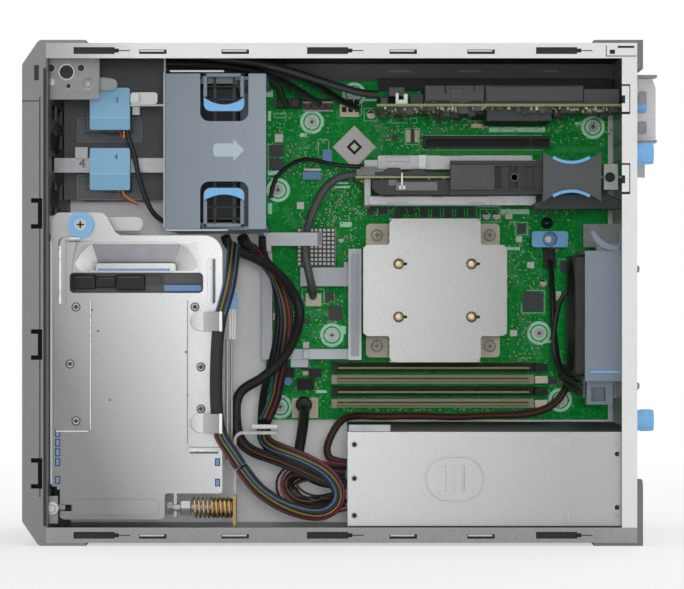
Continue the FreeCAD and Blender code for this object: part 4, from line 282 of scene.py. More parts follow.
# Two spring clips and a corner tab with its slit and hole, on the rear flange.
RIM_LINES = (
    (186, 301.9, 2.8, 0.6), (186, 283.6, 2.8, 0.8), (188.6, 292.8, 0.3, 9.2), (184.3, 292.6, 1.3, 2.6),
    (186, 250.2, 2.8, 0.6), (186, 231.2, 2.8, 0.8), (188.6, 240.7, 0.3, 9.5), (184.3, 240.2, 1.3, 2.6),
    (173.2, 324.2, 0.3, 3.6), (183, 320.9, 10, 0.3), (186.1, 326.9, 5.4, 0.7), (177.2, 323.7, 1.7, 1.4))
# The rim is a lighter sheet as painted light, and its fade darkens it towards the bezel as painted shade.
RIM = finish("rim sheet in painted light", "#dcdddd #e6e6e6", 0.36, 0.55, 1.2, 0.004, fade=((1, 0, 0), -190, -130, 0.52, 1),
             seams=RIM_LINES + NOSES)
# The base flange is a darker sheet as painted shade.
FOOT = finish("base sheet in painted shade", "#9a9b9c #a6a7a8", 0.4, 0.7, 2, 0.004, seams=LOWER_NOSES)
PANEL = finish("outer side sheet", "#c2c3c4 #cecfcf", 0.42, 0.5, 3, 0.004,
               seams=((-186, 164, 0.3, 156), (186, 164, 0.3, 156), (0, 8, 186, 0.3), (0, 320, 186, 0.3)))
# The deep wall takes a pale tone with almost no metal, as painted light so that it reads brightly lit; the high index
# stands in for its sheen, and the fade darkens its top as painted shadow of the roof.
WALL = finish("side wall sheet in painted light and shadow", "#f2f3f5 #f9f9fa", 0.42, 0.05, 3, 0.004, ior=2.2,
              fade=((0, 0, 1), 298, 308, 1, 0.05))
DULL = finish("dull zinc sheet", "#8b8c8d #97989a", 0.42, 0.7, 3, 0.004)
# The cage's and the supply cover's fades are painted light and shade.
CAGE = finish("cage sheet", "#bebfc0 #cacbcb", 0.36, 0.7, 1.2, 0.004, fade=((1, 0, 0.36), -145, -20, 0.5, 1.68))
COVER = finish("supply cover sheet", "#bebfc0 #c9caca", 0.36, 0.7, 1.2, 0.004, fade=((1, 0, 0), 10, 150, 1.32, 0.88))
# The deep bay's dark sheet is painted shade.
BAY = finish("bay sheet in painted shade", "#67686a #727375", 0.5, 0.3, 1.5, 0.004)
# Dark sheet as painted shade on the front wall and the drives' backs, and as painted reflection on grazed tops.
SHADED = finish("dark sheet in painted shade and reflection", "#5c5d5e #686969", 0.5, 0.4, 1.5, 0.004)
# The roof's inside is painted shade, lighter towards the rim.
ROOF = finish("roof inside in painted shade", "#222323 #2b2c2c", 0.5, 0.4, 1.5, 0.004, fade=((0, 1, 0), -85, 30, 6, 0.8))
print("sheets", ZINC.name, BRIGHT.name, BAY.name)

# %% [markdown]
# ## Moulded plastic
# Bezel, duct, guide and card holders are injection moulded in eroded moulds, so they are matt, with a fine grain.
# Blue marks what a hand may pull, slate what is only looked at, and sockets are beige or black nylon.

# %% Plastics
BEZEL = finish("bezel grain", "#737474 #7e7f7f", 0.58, 0, 0.7, 0.03, ior=1.49,
               seams=((-197.8, 163, 0.4, 131), (-194.7, 163, 0.9, 150), (-204, 291.5, 6, 0.35), (-200, 310, 1.6, 5)))
BUMPER = finish("bumper grain", "#626363 #6d6e6e", 0.6, 0, 0.7, 0.03, ior=1.49)
SLATE = finish("slate moulding", "#6a747f #757f8a", 0.5, 0, 0.6, 0.015, ior=1.49)
# The duct's fade is painted light and shade, lighter to the right.
DUCT = finish("slate duct moulding", "#76808a #808992", 0.5, 0, 0.6, 0.015, ior=1.49,
              fade=((1, 0, 0), -116, -55, 0.84, 1.08))
# The guide's fade is painted light, lighter at its shaded foot.
SLATE_PALE = finish("pale slate moulding", "#adb2b7 #b8bcc1", 0.5, 0, 0.6, 0.015, ior=1.49,
                    fade=((0, 0, 1), 118, 150, 1.3, 0.95))
TOUCH = finish("touch-point blue", "#699fcd #75abd9", 0.42, 0, 0.8, 0.01)
TAG = finish("tag blue", "#76a2c0 #82aecc", 0.45, 0, 0.8, 0.008)
TOUCH_DEEP = finish("deep touch-point blue", "#6286b3 #6d91bd", 0.42, 0, 0.8, 0.01)
BLACK = finish("black moulding", "#161616 #202020", 0.45, 0, 0.8, 0.01)
DARKER_MOULDING = finish("darker moulding", "#282929 #313232", 0.5, 0, 0.8, 0.015)
# The same charcoal paints a highlight on the drive connectors' tops and the shade between the cooler's pins.
CHARCOAL_AND_PAINTED_LIGHT = finish("charcoal moulding and painted light", "#404142 #4a4b4c", 0.5, 0, 0.8, 0.015)
BEIGE = finish("beige nylon", "#c3bba7 #d0c8b5", 0.45, 0, 0.8, 0.008, ior=1.53)
SOCKET = finish("shaded beige nylon", "#938d79 #a09a86", 0.45, 0, 0.8, 0.008, ior=1.53)
print("plastics", BEZEL.name, SLATE.name, TOUCH.name, BEIGE.name)

# %% [markdown]
# ## Bare metal, and what the cords are made of
# The heat sink's lid is blasted with beads, which leaves a pale speckle; the drives' lids are cast and rougher.
# Pins and spring are brass, smooth and warm. Screws are zinc plated steel, some of it passivated, which is yellower.
# Cords have a soft vinyl jacket or a braided sleeve, whose weave shows as a coarser bump, and wires are dyed vinyl.

# %% Metals, jackets and wires
# The lid's fade is painted light, lighter to the left.
ALUMINIUM = finish("blasted aluminium", "#b2b3b3 #cccccb", 0.4, 0.6, 0.9, 0.02, fade=((1, 0, 0), 20, 112, 1.36, 0.92))
# The same grey paints the shade in small recesses: dimples, embossed lines and screw crosses.
DRIVE_GREY_AND_RECESS_SHADE = finish("cast drive lid and painted recess shade", "#6a6b6c #7c7d7e", 0.45, 0.7, 1.5, 0.02)
BRASS = finish("brass", "#b69a66 #c9b07e", 0.28, 1, 1.5, 0.004)
SCREW = finish("screw steel", "#bcbcbc #cacaca", 0.32, 0.8, 1)
PAN = finish("passivated screw head", "#c6c3b9 #d3d0c6", 0.4, 0.3, 1)
PIN = finish("polished brass", "#cdb287 #dcc59e", 0.25, 0.9, 1.5)
CARD = finish("card edge", "#6f7a50 #848f62", 0.5, 0, 1, 0.01)
SLEEVE = finish("black sleeve", "#141414 #242424", 0.5, 0, 0.7, 0.05)
JACKET = finish("black cable jacket", "#1c1c1d #272728", 0.38, 0, 2, 0.004)
GREY_JACKET = finish("grey cable jacket", "#464748 #535455", 0.4, 0, 2, 0.004)
WIRE_TONES = {
    "red": ("#5e1b29 #9c3549", 0.03), "yellow": ("#503f18 #927a36", 0.03), "blue": ("#28425f #51779d", 0.03),
    "brown": ("#4a2c1f #64402e", 0.02), "amber": ("#b5802a #cf9a3c", 0.02), "white": ("#d5d5d3 #e4e4e2", 0.02)}
WIRES = {dye: finish(dye + " wire", tones, 0.4, 0, 0.5, bump) for dye, (tones, bump) in WIRE_TONES.items()}
WIRES["black"] = JACKET
print("finishes", len(bpy.data.materials))

# %% [markdown]
# ## Solder mask
# A circuit board is fibreglass under a glossy green lacquer, and the copper below shows through as paler lines.
# Drawing thousands of tracks would be wasted here, so the shader draws them:
# square cells of two sizes give runs and corners, and a dot pattern gives the plated holes between them.

# %% The board's lacquer and print
# Size of a cell in mm, share of it that is track, and how strongly the track shows.
TRACK_CELLS = ((14, 0.05, 0.36), (5, 0.08, 0.48))
HOLE_PITCH, PATCH, WEAVE = 3, 22, 0.8


def lacquer(name, base, track, dot):
    """Green lacquer with paler tracks: cell borders at two sizes, and dots at the points of a finer pattern."""
    material, tree = empty(name)
    place = add(tree, "TexCoord")["Object"]
    colour = linear(base)
    for cell, width, strength in TRACK_CELLS:
        squares = {"Vector": place, "Scale": 1 / (cell * MM), "Randomness": 0.85}
        second, nearest = (add(tree, "TexVoronoi", squares, feature=f, distance="CHEBYCHEV")["Distance"]
                           for f in ("F2", "F1"))
        edge = add(tree, "Math", {0: second, 1: nearest}, operation="SUBTRACT")[0]
        line = add(tree, "MapRange", {0: edge, 1: 0, 2: width, 3: strength, 4: 0.0})[0]
        colour = add(tree, "Mix", {0: line, 6: colour, 7: linear(track)}, data_type="RGBA")[2]
    spot = add(tree, "TexVoronoi", {"Vector": place, "Scale": 1 / (HOLE_PITCH * MM),
                                    "Randomness": 0.9})["Distance"]
    spot = add(tree, "MapRange", {0: spot, 1: 0.08, 2: 0.14, 3: 0.8, 4: 0.0})[0]
    patch = add(tree, "TexNoise", {"Vector": place, "Scale": 1 / (PATCH * MM), "Detail": 1.0})[0]
    patch = add(tree, "MapRange", {0: patch, 1: 0.48, 2: 0.56})[0]
    spot = add(tree, "Math", {0: spot, 1: patch}, operation="MULTIPLY")[0]
    colour = add(tree, "Mix", {0: spot, 6: colour, 7: linear(dot)}, data_type="RGBA")[2]
    weave = add(tree, "TexNoise", {"Vector": place, "Scale": 1 / (WEAVE * MM), "Detail": 2.0})[0]
    rough = add(tree, "MapRange", {0: weave, 1: 0.3, 2: 0.7, 3: 0.3, 4: 0.42})[0]
    shader = add(tree, "BsdfPrincipled", {"Base Color": colour, "Roughness": rough, "Specular IOR Level": 0.1})
    add(tree, "OutputMaterial", {"Surface": shader[0]})
    return material


MASK = lacquer("green solder mask", "#04842f", "#3cab64", "#a6e8c1")
MINT = finish("mint board print", "#a4e2bf #b6eccc", 0.45, 0, 0.8)
GOLD = finish("gold pins", "#b9985a #cfb073", 0.3, 1, 0.6)
PALE = finish("pale package", "#c9c8c4 #d8d7d3", 0.45, 0, 0.8)
GREY_PACKAGE = finish("grey chip lid", "#bebebe #c8c8c8", 0.4, 0.2, 0.8, 0.006)
CHIP = finish("chip moulding", "#37383a #444547", 0.45, 0, 0.5, 0.006, ior=1.55)
print("board finishes", MASK.name, MINT.name, GOLD.name)

# %% [markdown]
# ## Finishes for the drawn solids
# Each solid takes one finish, and a few take two because one solid holds pieces of two materials.
# The faces are chosen by where their centres lie, so the solid itself is not touched.
# Tops that the camera grazes mirror the dark inside of the case, so a darker sheet paints that reflection on them;
# the front wall takes it as painted shade.

# %% Dress the solids
DRESS = {
    FOOT: ("bottom_panel",), WALL: ("side_panel",), DULL: ("corner_gusset",), RIM: ("top_panel", "rear_panel"),
    ZINC: ("psu_case", "card_cage", "cage_box", "cage_hinge", "card_brackets", "io_ports"),
    BRIGHT: ("slot_door", "release_lever"), CAGE: ("cage_plate",), COVER: ("psu_cover",),
    SHADED: ("front_panel",), BAY: ("upper_bay",),
    BEZEL: ("front_bezel", "power_button"), BUMPER: ("rear_bumpers",),
    DUCT: ("front_fan_housing",), SLATE: ("rear_fan_carrier",), SLATE_PALE: ("cable_guide",),
    TAG: ("drive_plug_lower", "drive_plug_upper"),
    TOUCH: ("front_fan_latch_upper", "front_fan_latch_lower", "cage_thumbscrew",
            "cover_screw_lower", "cover_screw_upper", "slot_door_screw", "board_plunger"),
    BLACK: ("front_fan_frame", "front_fan_rotor", "rear_fan_frame", "rear_fan_rotor", "memory_sockets_black",
            "psu_inlet", "memory_latch_2", "memory_latch_4", "board_connectors"),
    CHARCOAL_AND_PAINTED_LIGHT: ("upper_card_shroud", "card_retainer"), CHIP: ("board_chips",),
    BEIGE: ("processor_mount", "memory_latch_1", "memory_latch_3"), SOCKET: ("memory_sockets_beige",),
    MASK: ("motherboard",), CARD: ("expansion_cards", "memory_modules"),
    ALUMINIUM: ("heatsink",), PALE: ("controller_heatsink",), DRIVE_GREY_AND_RECESS_SHADE: ("cage_drives",),
    BRASS: ("heatsink_pins", "cage_spring"), SCREW: ("board_screws",),
}


def paint(node, material, where):
    """Gives a second finish to the faces of a solid whose centres, in mm, pass a test."""
    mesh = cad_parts[node].data
    middle = np.empty(len(mesh.polygons) * 3)
    mesh.polygons.foreach_get("center", middle)
    slots = np.zeros(len(mesh.polygons), np.int32)
    mesh.polygons.foreach_get("material_index", slots)
    mesh.materials.append(material)
    slots[where(*(middle.reshape(-1, 3).T / MM))] = len(mesh.materials) - 1
    mesh.polygons.foreach_set("material_index", slots)


for material, nodes in DRESS.items():
    for node in nodes:
        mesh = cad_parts[node].data
        mesh.materials.clear()
        mesh.materials.append(material)
        mesh.polygons.foreach_set("material_index", np.zeros(len(mesh.polygons), np.int32))
# The bay's deep parts keep the dark bay sheet as painted shade; its front parts get zinc.
paint("upper_bay", ZINC, lambda x, y, z: y < 20)
# The roof's inside is painted shade.
paint("top_panel", ROOF, lambda x, y, z: (y > -83.7) & (z < 328.5))
paint("board_screws", MINT, lambda x, y, z: (y > 69.55) & (y < 70))
paint("board_connectors", BEIGE, lambda x, y, z: (x > -2) & (x < 13) & (z > 289) & (z < 299))
paint("board_connectors", BEIGE, lambda x, y, z: (x > -26) & (x < -14) & (z > 156) & (z < 166))
paint("board_connectors", BEIGE, lambda x, y, z: (x > -37) & (x < -16) & (z > 77) & (z < 94))
paint("side_panel", PANEL, lambda x, y, z: y > 84.5)
paint("cage_hinge", DULL, lambda x, y, z: x < -100)
# Painted reflection of the dark case on the supply's top faces.
for node in ("psu_case", "psu_cover"):
    paint(node, SHADED, lambda x, y, z: z > 74)
# The retainer is darker at its left part.
paint("card_retainer", DARKER_MOULDING, lambda x, y, z: x < 132)
paint("board_chips", MASK, lambda x, y, z: ((x > 118) & (x < 131) & (z < 171)) | ((x > 151) & (z < 187))
      | ((x > -42) & (x < -33) & (z > 271)))
paint("cage_hinge", BRASS, lambda x, y, z: (x > -74) & (z < 36))
paint("board_connectors", TOUCH_DEEP, lambda x, y, z: (x > -28) & (x < -7) & (z > 245) & (z < 267))
paint("board_chips", GREY_PACKAGE, lambda x, y, z: (x > -7) & (x < 24) & (z > 253) & (z < 284))
paint("cage_thumbscrew", SCREW, lambda x, y, z: np.hypot(x + 171.7, z - 210.6) < 4.6)
dressed = [node for nodes in DRESS.values() for node in nodes]
print("dressed", len(dressed), "solids; the cords' own come later:", sorted(set(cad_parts) - set(dressed)))

# %% [markdown]
# ## Building pieces from grids
# Every new piece is a grid of points from a formula: a circle carried along a path, a profile turned about an axis,
# or a flat outline given thickness. The formulas work on whole arrays at once, and answer points and faces.

# %% Grids, tubes and turned parts


def skin(points, closed=True, caps=True):
    """Faces between neighbours of a grid (rows, columns, 3); closed joins the last column to the first."""
    rows, columns = points.shape[:2]
    index = np.arange(rows * columns).reshape(rows, columns)
    across = np.hstack([index, index[:, :1]]) if closed else index
    quads = np.stack([across[:-1, :-1], across[:-1, 1:], across[1:, 1:], across[1:, :-1]], -1).reshape(-1, 4)
    ends = [index[0][::-1].tolist(), index[-1].tolist()] if caps else []
    return points.reshape(-1, 3), quads.tolist() + ends


def tube(path, radius, sides=12):
    """A circle carried along a path: each point is the path plus radius times (cos, sin) in the plane across it.
    Each ring's first direction is the one before, laid flat on the new plane, so that the tube doesn't twist."""
    path = np.asarray(path, float)
    along = np.gradient(path, axis=0)
    along /= np.linalg.norm(along, axis=1, keepdims=True)
    first = np.cross(along[0], (0.0, -1.0, 0.0) if abs(along[0][1]) < 0.9 else (1.0, 0.0, 0.0))
    normals = [first / np.linalg.norm(first)]
    for direction in along[1:]:
        turned_on = normals[-1] - direction * (normals[-1] @ direction)
        normals.append(turned_on / np.linalg.norm(turned_on))
    normals = np.array(normals)
    sideways = np.cross(along, normals)
    angle = np.linspace(0, 2 * np.pi, sides, endpoint=False)
    radius = np.broadcast_to(np.asarray(radius, float), len(path))[:, None, None]
    ring = np.cos(angle)[:, None] * normals[:, None] + np.sin(angle)[:, None] * sideways[:, None]
    return skin(path[:, None] + radius * ring)


def turned(profile, centre, sides=24, axis="y"):
    """A profile of (radius, height) turned about a Y or X axis through a centre; heights run along the axis."""
    profile = np.asarray(profile, float)
    angle = np.linspace(0, 2 * np.pi, sides, endpoint=False)
    around = np.stack([np.cos(angle), np.zeros(sides), np.sin(angle)], -1)
    points = profile[:, :1, None] * around + profile[:, 1:, None] * np.array((0.0, 1.0, 0.0))
    if axis == "x":
        points = points[..., [1, 0, 2]]
    return skin(points + centre)


print("a tube of 12 sides and 20 rings has", len(tube(np.linspace((0, 0, 0), (0, 0, 9), 20), 1.0)[1]), "faces")

# %% [markdown]
# ## Flat stock
# Much of a machine is cut from flat stock: sheet with rounded corners, and plain blocks for chips and pins.
# Blocks come by the hundred here, so they are the leanest shape that closes: eight points and six faces each.

# %% Outlines, plates and blocks


def rounded(x0, x1, z0, z1, radius, steps=5):
    """Outline of a rectangle whose four corners are quarter circles."""
    angle = np.linspace(0, np.pi / 2, steps)
    left, right, low, high = x0 + radius, x1 - radius, z0 + radius, z1 - radius
    quarters = ((right, high, 0), (left, high, 1), (left, low, 2), (right, low, 3))
    return np.vstack([np.stack([x + radius * np.cos(angle + k * np.pi / 2),
                                z + radius * np.sin(angle + k * np.pi / 2)], -1) for x, z, k in quarters])


def plate(outline, y0, y1):
    """A flat outline in X and Z given thickness from y0 to y1."""
    outline = np.asarray(outline, float)
    rows = [np.stack([outline[:, 0], np.full(len(outline), y), outline[:, 1]], -1) for y in (y0, y1)]
    return skin(np.array(rows))


def blocks(low, high):
    """Boxes between pairs of corners, as eight points and six faces each."""
    low, high = np.atleast_2d(low), np.atleast_2d(high)
    pick = np.array([[i >> 2 & 1, i >> 1 & 1, i & 1] for i in range(8)])
    points = np.where(pick[None] == 1, high[:, None], low[:, None]).reshape(-1, 3)
    faces = np.array([(0, 1, 3, 2), (4, 6, 7, 5), (0, 4, 5, 1), (2, 3, 7, 6), (0, 2, 6, 4), (1, 5, 7, 3)])
    return points, (faces[None] + 8 * np.arange(len(low))[:, None, None]).reshape(-1, 4).tolist()


corner = rounded(0, 20, 0, 10, 2.0)
print("a rounded outline has", len(corner), "points, and its plate", len(plate(corner, 0, 1)[1]), "faces")

# %% [markdown]
# ## From arrays to an object
# Blender wants one mesh to an object, with the faces turned outwards, a material, and a body to move with.
# A turned or carried shape can come out inside out, so the normals are worked out again for every piece.
# Edges sharper than an angle stay sharp under smooth shading, which keeps a turned part's rim crisp.
# Cut parts have flat faces, and most get a small bevel, because no real edge is quite sharp.

# %% Functions for every new piece
SHARP = math.radians(40)


def piece(name, shapes, material, body="chassis", smooth=True):
    """One object from several shapes in mm, with outward faces; it rides on a body, unless that is None."""
    points, faces, start = [], [], 0
    for vertices, polygons in shapes:
        points.append(vertices)
        faces += [[i + start for i in polygon] for polygon in polygons]
        start += len(vertices)
    mesh = bpy.data.meshes.new(name)
    mesh.from_pydata((np.vstack(points) * MM).tolist(), [], faces)
    work = bmesh.new()
    work.from_mesh(mesh)
    bmesh.ops.recalc_face_normals(work, faces=work.faces)
    work.to_mesh(mesh)
    work.free()
    mesh.materials.append(material)
    made = bpy.data.objects.new(name, mesh)
    scene.collection.objects.link(made)
    if smooth:
        mesh.shade_smooth()
        mesh.set_sharp_from_angle(angle=SHARP)
    if body:
        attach(made, body)
    return made


def soften(made, width=0.4):
    """Rounds a piece's edges, as every mould does."""
    bevel = made.modifiers.new("edge", "BEVEL")
    bevel.width = width * MM
    bevel.segments = 2
    bevel.limit_method = "ANGLE"
    return made


def cut(name, shape, material, edge=0, body="chassis"):
    """A piece of one shape with flat faces, such as blocks; its edges are rounded by that many mm."""
    made = piece(name, [shape], material, body, smooth=False)
    return soften(made, edge) if edge else made


print("edges over", round(math.degrees(SHARP)), "degrees stay sharp")

# %% [markdown]
# ## The wiring
# The looms are what the eye follows here: black sleeves and jackets from the fan duct down to the power supply,
# a service loop that lets the drive cage swing out, and thin leads to the fans. Each follows the route of its solid,
# so the same points are written out here, with the finish, the radius, the body that carries it and the solid's name.

# %% Routes of the cords
ROUTES = {
    "cage_sleeve": (SLEEVE, 4.2, "cage", "cage_loom", [
        (-72, -49, 196), (-72, -67, 184), (-74.7, -77.5, 166), (-81.2, -79.2, 146), (-82.7, -79.2, 116),
        (-82.7, -79.2, 92), (-80.5, -79, 73), (-72.2, -78, 61.2), (-66.6, -76.8, 52.2)]),
    "service_loop": (SLEEVE, 4.2, "", "main_harness", [
        (-65.9, -76.6, 51), (-59.5, -75, 42), (-52.6, -74, 34.6), (-39.5, -71, 25.9), (-24.3, -68, 20.4),
        (-13.1, -65, 19.5), (-4.5, -63, 24), (-1.3, -61, 32), (-4.5, -60, 40.5), (-12.2, -59, 48.3),
        (-24.5, -57, 54.8), (-37.8, -53, 59.9), (-47.5, -47, 63), (-53.5, -39, 68.5), (-52.5, -33, 74.5)]),
    "fan_loom": (SLEEVE, 4, "chassis", "main_harness", [
        (-67, -26, 203), (-64.8, -20.5, 197.5), (-59.2, -3, 195), (-48.1, 17, 181.5), (-40.7, 29, 167.8),
        (-37.3, 31, 150.5), (-38.6, 27, 133.2), (-41.2, 15, 118.2), (-43.6, 1, 102.8), (-45.4, -12, 91.7),
        (-52, -27, 78.2)]),
    "black_loom": (SLEEVE, 3.4, "chassis", "main_harness", [
        (-78, -40, 203.5), (-76.5, -37, 197.5), (-68.6, -27, 193.3), (-52.4, -3, 186.8), (-39.1, 15, 174.6),
        (-30.3, 27, 160.9), (-28.6, 27, 148.4), (-32.9, 13, 133.4), (-40.2, -1, 120), (-54.1, -15, 107.4),
        (-66.7, -26, 101.6), (-71.5, -33, 93.1), (-70.9, -39, 77.3), (-67.5, -41, 66), (-58.8, -43, 59.4),
        (-44.6, -47, 55.6), (-29.2, -51, 49.8), (-15.9, -53, 43.9), (-4.6, -52, 39.7), (2.4, -51.8, 39.5)]),
    "spare_loop": (JACKET, 3, "chassis", "main_harness", [
        (2.4, -40, 27.5), (-8, -42, 25), (-22, -45, 24.5), (-33, -46, 29), (-38, -43, 37), (-34, -37, 44),
        (-22, -33, 46.5), (-8, -33, 44.5), (2.4, -33, 43.7)]),
    "drive_cable": (JACKET, 2.6, "chassis", "main_harness", [
        (-54, -14, 203.5), (-54, -10, 197.5), (-53.3, 7, 191.7), (-47.6, 25, 178.1), (-44, 37, 160.8),
        (-44, 37, 140), (-47.7, 31, 120.7), (-52.9, 15, 102.4), (-54.6, 1, 89.2), (-54.8, -15, 74.2),
        (-53.2, -23, 63.1), (-44.4, -25, 56.4), (-28.2, -25, 51.7), (-11.4, -25, 49.2), (3.2, -25, 48.7)]),
    "drive_lead": (JACKET, 1.7, "chassis", "main_harness", [
        (-143.5, -45.5, 274.2), (-142.3, -45.5, 268), (-138.5, -45.5, 258), (-136, -45.5, 244), (-131, -45, 228),
        (-125, -43, 216.5), (-116.6, -41, 212)]),
    "thin_lead": (JACKET, 1.5, "chassis", "main_harness", [
        (15, 14, 252.5), (6, 14, 253), (-4.7, 16, 253.8), (-15.1, 19, 256.7), (-25.4, 23, 258.6),
        (-33.1, 27, 256.3), (-40.8, 30, 250.9), (-47.4, 33, 244.1), (-49.5, 36, 232)]),
    "top_cable_1": (JACKET, 2.4, "chassis", "main_harness", [
        (-116.8, -52, 314), (-104, -51, 313.7), (-85, -45, 313.5), (-66, -30, 313.6), (-47.5, -2, 313.4),
        (-42.5, 26, 305.5), (-40.5, 48, 299.5), (-39, 60.7, 299)]),
    "top_cable_2": (JACKET, 2.4, "chassis", "main_harness", [
        (-116.8, -47, 318.5), (-100, -44, 318.3), (-78, -35, 317.5), (-55, -18, 315), (-36, 10, 308.5),
        (-22, 38, 301.5), (-17, 52, 299.3), (-16, 60.7, 299)]),
    "top_cable_3": (JACKET, 2.2, "chassis", "main_harness", [
        (-116.8, -43, 323.5), (-95, -38, 323), (-70, -28, 321.5), (-45, -12, 318), (-20, 15, 311), (-2, 40, 300.5),
        (8, 52, 296.3), (10.5, 59.8, 296)]),
    "top_cable_4": (JACKET, 2.6, "chassis", "main_harness", [
        (-116.8, -51.5, 323.5), (-95, -51, 323), (-65, -48, 320.5), (-40, -44, 316), (-15, -40, 308), (5, -38, 302),
        (15, -37, 299.3), (24.4, -37, 299)]),
    "socket_lead": (JACKET, 3.6, "chassis", "board_leads", [
        (-25.9, 66.7, 85), (-26, 46, 84), (-26.5, 28, 77), (-28, 14, 66), (-30, 4, 54), (-27, -3, 44),
        (-17, -7, 38), (-6, -8.5, 36), (3.2, -9, 35.5)]),
    "board_bundle": (JACKET, 2.2, "chassis", "board_leads", [
        (158.5, 59.2, 110.5), (158.5, 50, 109), (156, 42, 98), (147, 42, 87), (131, 46, 81), (104, 49, 80.5),
        (78, 50, 79), (52, 50, 80.5), (26, 48, 79.5), (8, 40, 81), (-1.3, 15, 78.4), (-8.1, 5, 67.2), (-11, 1, 58),
        (-7.5, -1, 51), (3.3, -2, 50)]),
    "rear_fan_lead": (JACKET, 1.9, "chassis", "board_leads", [
        (146, 58, 187.5), (146.2, 45, 182), (146, 32, 168), (146, 25, 150), (147, 18, 130), (149, 8, 115),
        (153, -7, 104.5), (156, -25, 100.5), (159.6, -42, 99.5)]),
    "rear_fan_cord": (JACKET, 1.7, "chassis", "board_leads", [
        (154.2, 6, 166), (150, 6.3, 163), (147, 9, 150), (145, 10, 135), (146, 6, 120), (150, -6, 110.5),
        (154.5, -24, 106), (159.4, -45, 104.5)]),
    "card_cable": (GREY_JACKET, 2.8, "chassis", "board_leads", [
        (15, 12, 247), (6, 12, 247), (-2.6, 14, 245.4), (-11.6, 19, 238.7), (-18.5, 24, 226.5), (-24.1, 28, 210.7),
        (-26.2, 31, 196.9), (-23.5, 33, 181.7), (-21.1, 37, 172), (-20.1, 47, 164.3), (-20.3, 60.7, 163.4)]),
}
print("routes", len(ROUTES))

# %% [markdown]
# ## From route to cord
# A smooth curve with the route's points as handles is the simplest true cord: it has a length, and can be bent later.
# The wires and the cords' lengths need the curve's own line, so it is read back with the thickness switched off.
# The service loop lies between two bodies, so it becomes a tube along the same line, carried by no body.

# %% Curves along the routes


def centreline(curve):
    """Points in mm along a curve, read from the curve itself with its thickness off."""
    depth, curve.data.bevel_depth = curve.data.bevel_depth, 0
    bpy.context.view_layer.update()
    line = bpy.data.meshes.new_from_object(curve.evaluated_get(bpy.context.evaluated_depsgraph_get()))
    points = np.empty(len(line.vertices) * 3)
    line.vertices.foreach_get("co", points)
    bpy.data.meshes.remove(line)
    curve.data.bevel_depth = depth
    return points.reshape(-1, 3) / MM


def spline(name, points, radius):
    """A curve of second degree with the route's points as handles and a round section."""
    data = bpy.data.curves.new(name, "CURVE")
    data.dimensions = "3D"
    data.resolution_u = 10
    data.bevel_depth = radius * MM
    data.bevel_resolution = 3
    data.use_fill_caps = True
    line = data.splines.new("NURBS")
    line.points.add(len(points) - 1)
    line.points.foreach_set("co", np.hstack([np.array(points) * MM, np.ones((len(points), 1))]).ravel())
    line.order_u = 3
    line.use_endpoint_u = True
    made = bpy.data.objects.new(name, data)
    scene.collection.objects.link(made)
    return made


def length_of(path):
    """Length of a line of points."""
    return float(np.linalg.norm(np.diff(path, axis=0), axis=1).sum())


LINES = {}
CORDS = {}
for name, (material, radius, body, node, points) in ROUTES.items():
    curve = spline(name, points, radius)
    LINES[name] = centreline(curve)
    if body:
        curve.data.materials.append(material)
        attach(curve, body)
    else:
        bpy.data.objects.remove(curve)
        curve = piece(name, [tube(LINES[name], radius, 16)], material, None)
    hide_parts(node)
    CORDS[name] = curve
    print(name, round(length_of(LINES[name])), "mm")

# %% [markdown]
# ## Coloured wires in the looms
# The sleeves are open braids, and red, yellow and blue wires show along the side that faces the eye.
# Each wire lies on the loom: the loom's own line, moved out by the loom's radius towards the viewer
# and turned about the line by an angle, which wanders a little so that no two wires run quite parallel.

# %% Wires that lie on the looms
TOWARDS_EYE = np.array((0, -1, 0))
STEP = 2.5  # between the points of a wire
WANDER = 17  # length over which a wire's angle drifts by a radian
TIGHT, LOOSE = 7, 40  # degrees of drift of wires that lie on a loom, and of those that stand off it


def on_loom(line, offset, degrees, drift):
    """A line moved out by an offset, towards the eye, and turned about the line by an angle that drifts along it."""
    walked = np.concatenate([[0], np.cumsum(np.linalg.norm(np.diff(line, axis=0), axis=1))])
    steps = np.linspace(0, walked[-1], max(8, int(walked[-1] / STEP)))
    line = np.stack([np.interp(steps, walked, axis) for axis in line.T], -1)
    along = np.gradient(line, axis=0)
    along /= np.linalg.norm(along, axis=1, keepdims=True)
    front = TOWARDS_EYE - along * (along @ TOWARDS_EYE)[:, None]
    front /= np.maximum(np.linalg.norm(front, axis=1, keepdims=True), 1e-6)
    side = np.cross(along, front)
    angle = np.radians(degrees + drift * np.sin(steps / WANDER + degrees))[:, None]
    return line + offset * (np.cos(angle) * front + np.sin(angle) * side)


# Loom, first and last point of its line, distance off the line, radius, and each wire's colour and angle.
STRANDS = (
    ("service_loop", 0, None, 4.2, 0.75, "red 58 black 38 yellow 16 black -4 blue -24 black -46 black 82"),
    ("cage_sleeve", 0, 26, 4.2, 0.75, "blue 56 black 34 yellow 12 black -10 blue -32 black -54"),
    ("cage_sleeve", 62, None, 4.2, 0.75, "red 58 black 38 yellow 16 black -4 blue -24 black -46 black 82"),
    ("fan_loom", 8, None, 4, 0.75, "blue 66 black 46 yellow 24 black 2 red -20 black -44"),
    ("black_loom", 120, None, 4.2, 0.75, "black 60 black 36 brown 10 black -18 black -44"),
    ("spare_loop", 0, None, 3.8, 0.65, "black 40 brown -30 black 110 black 4"),
    ("spare_loop", 0, None, 7, 0.8, "black 20 brown 95 black 165 red -70 black -120 brown 40"),
    ("board_bundle", 0, None, 1.9, 0.8, "brown 150 black 110 brown 70 black 30 brown -10 black -46 brown -80"))
WITH = {}
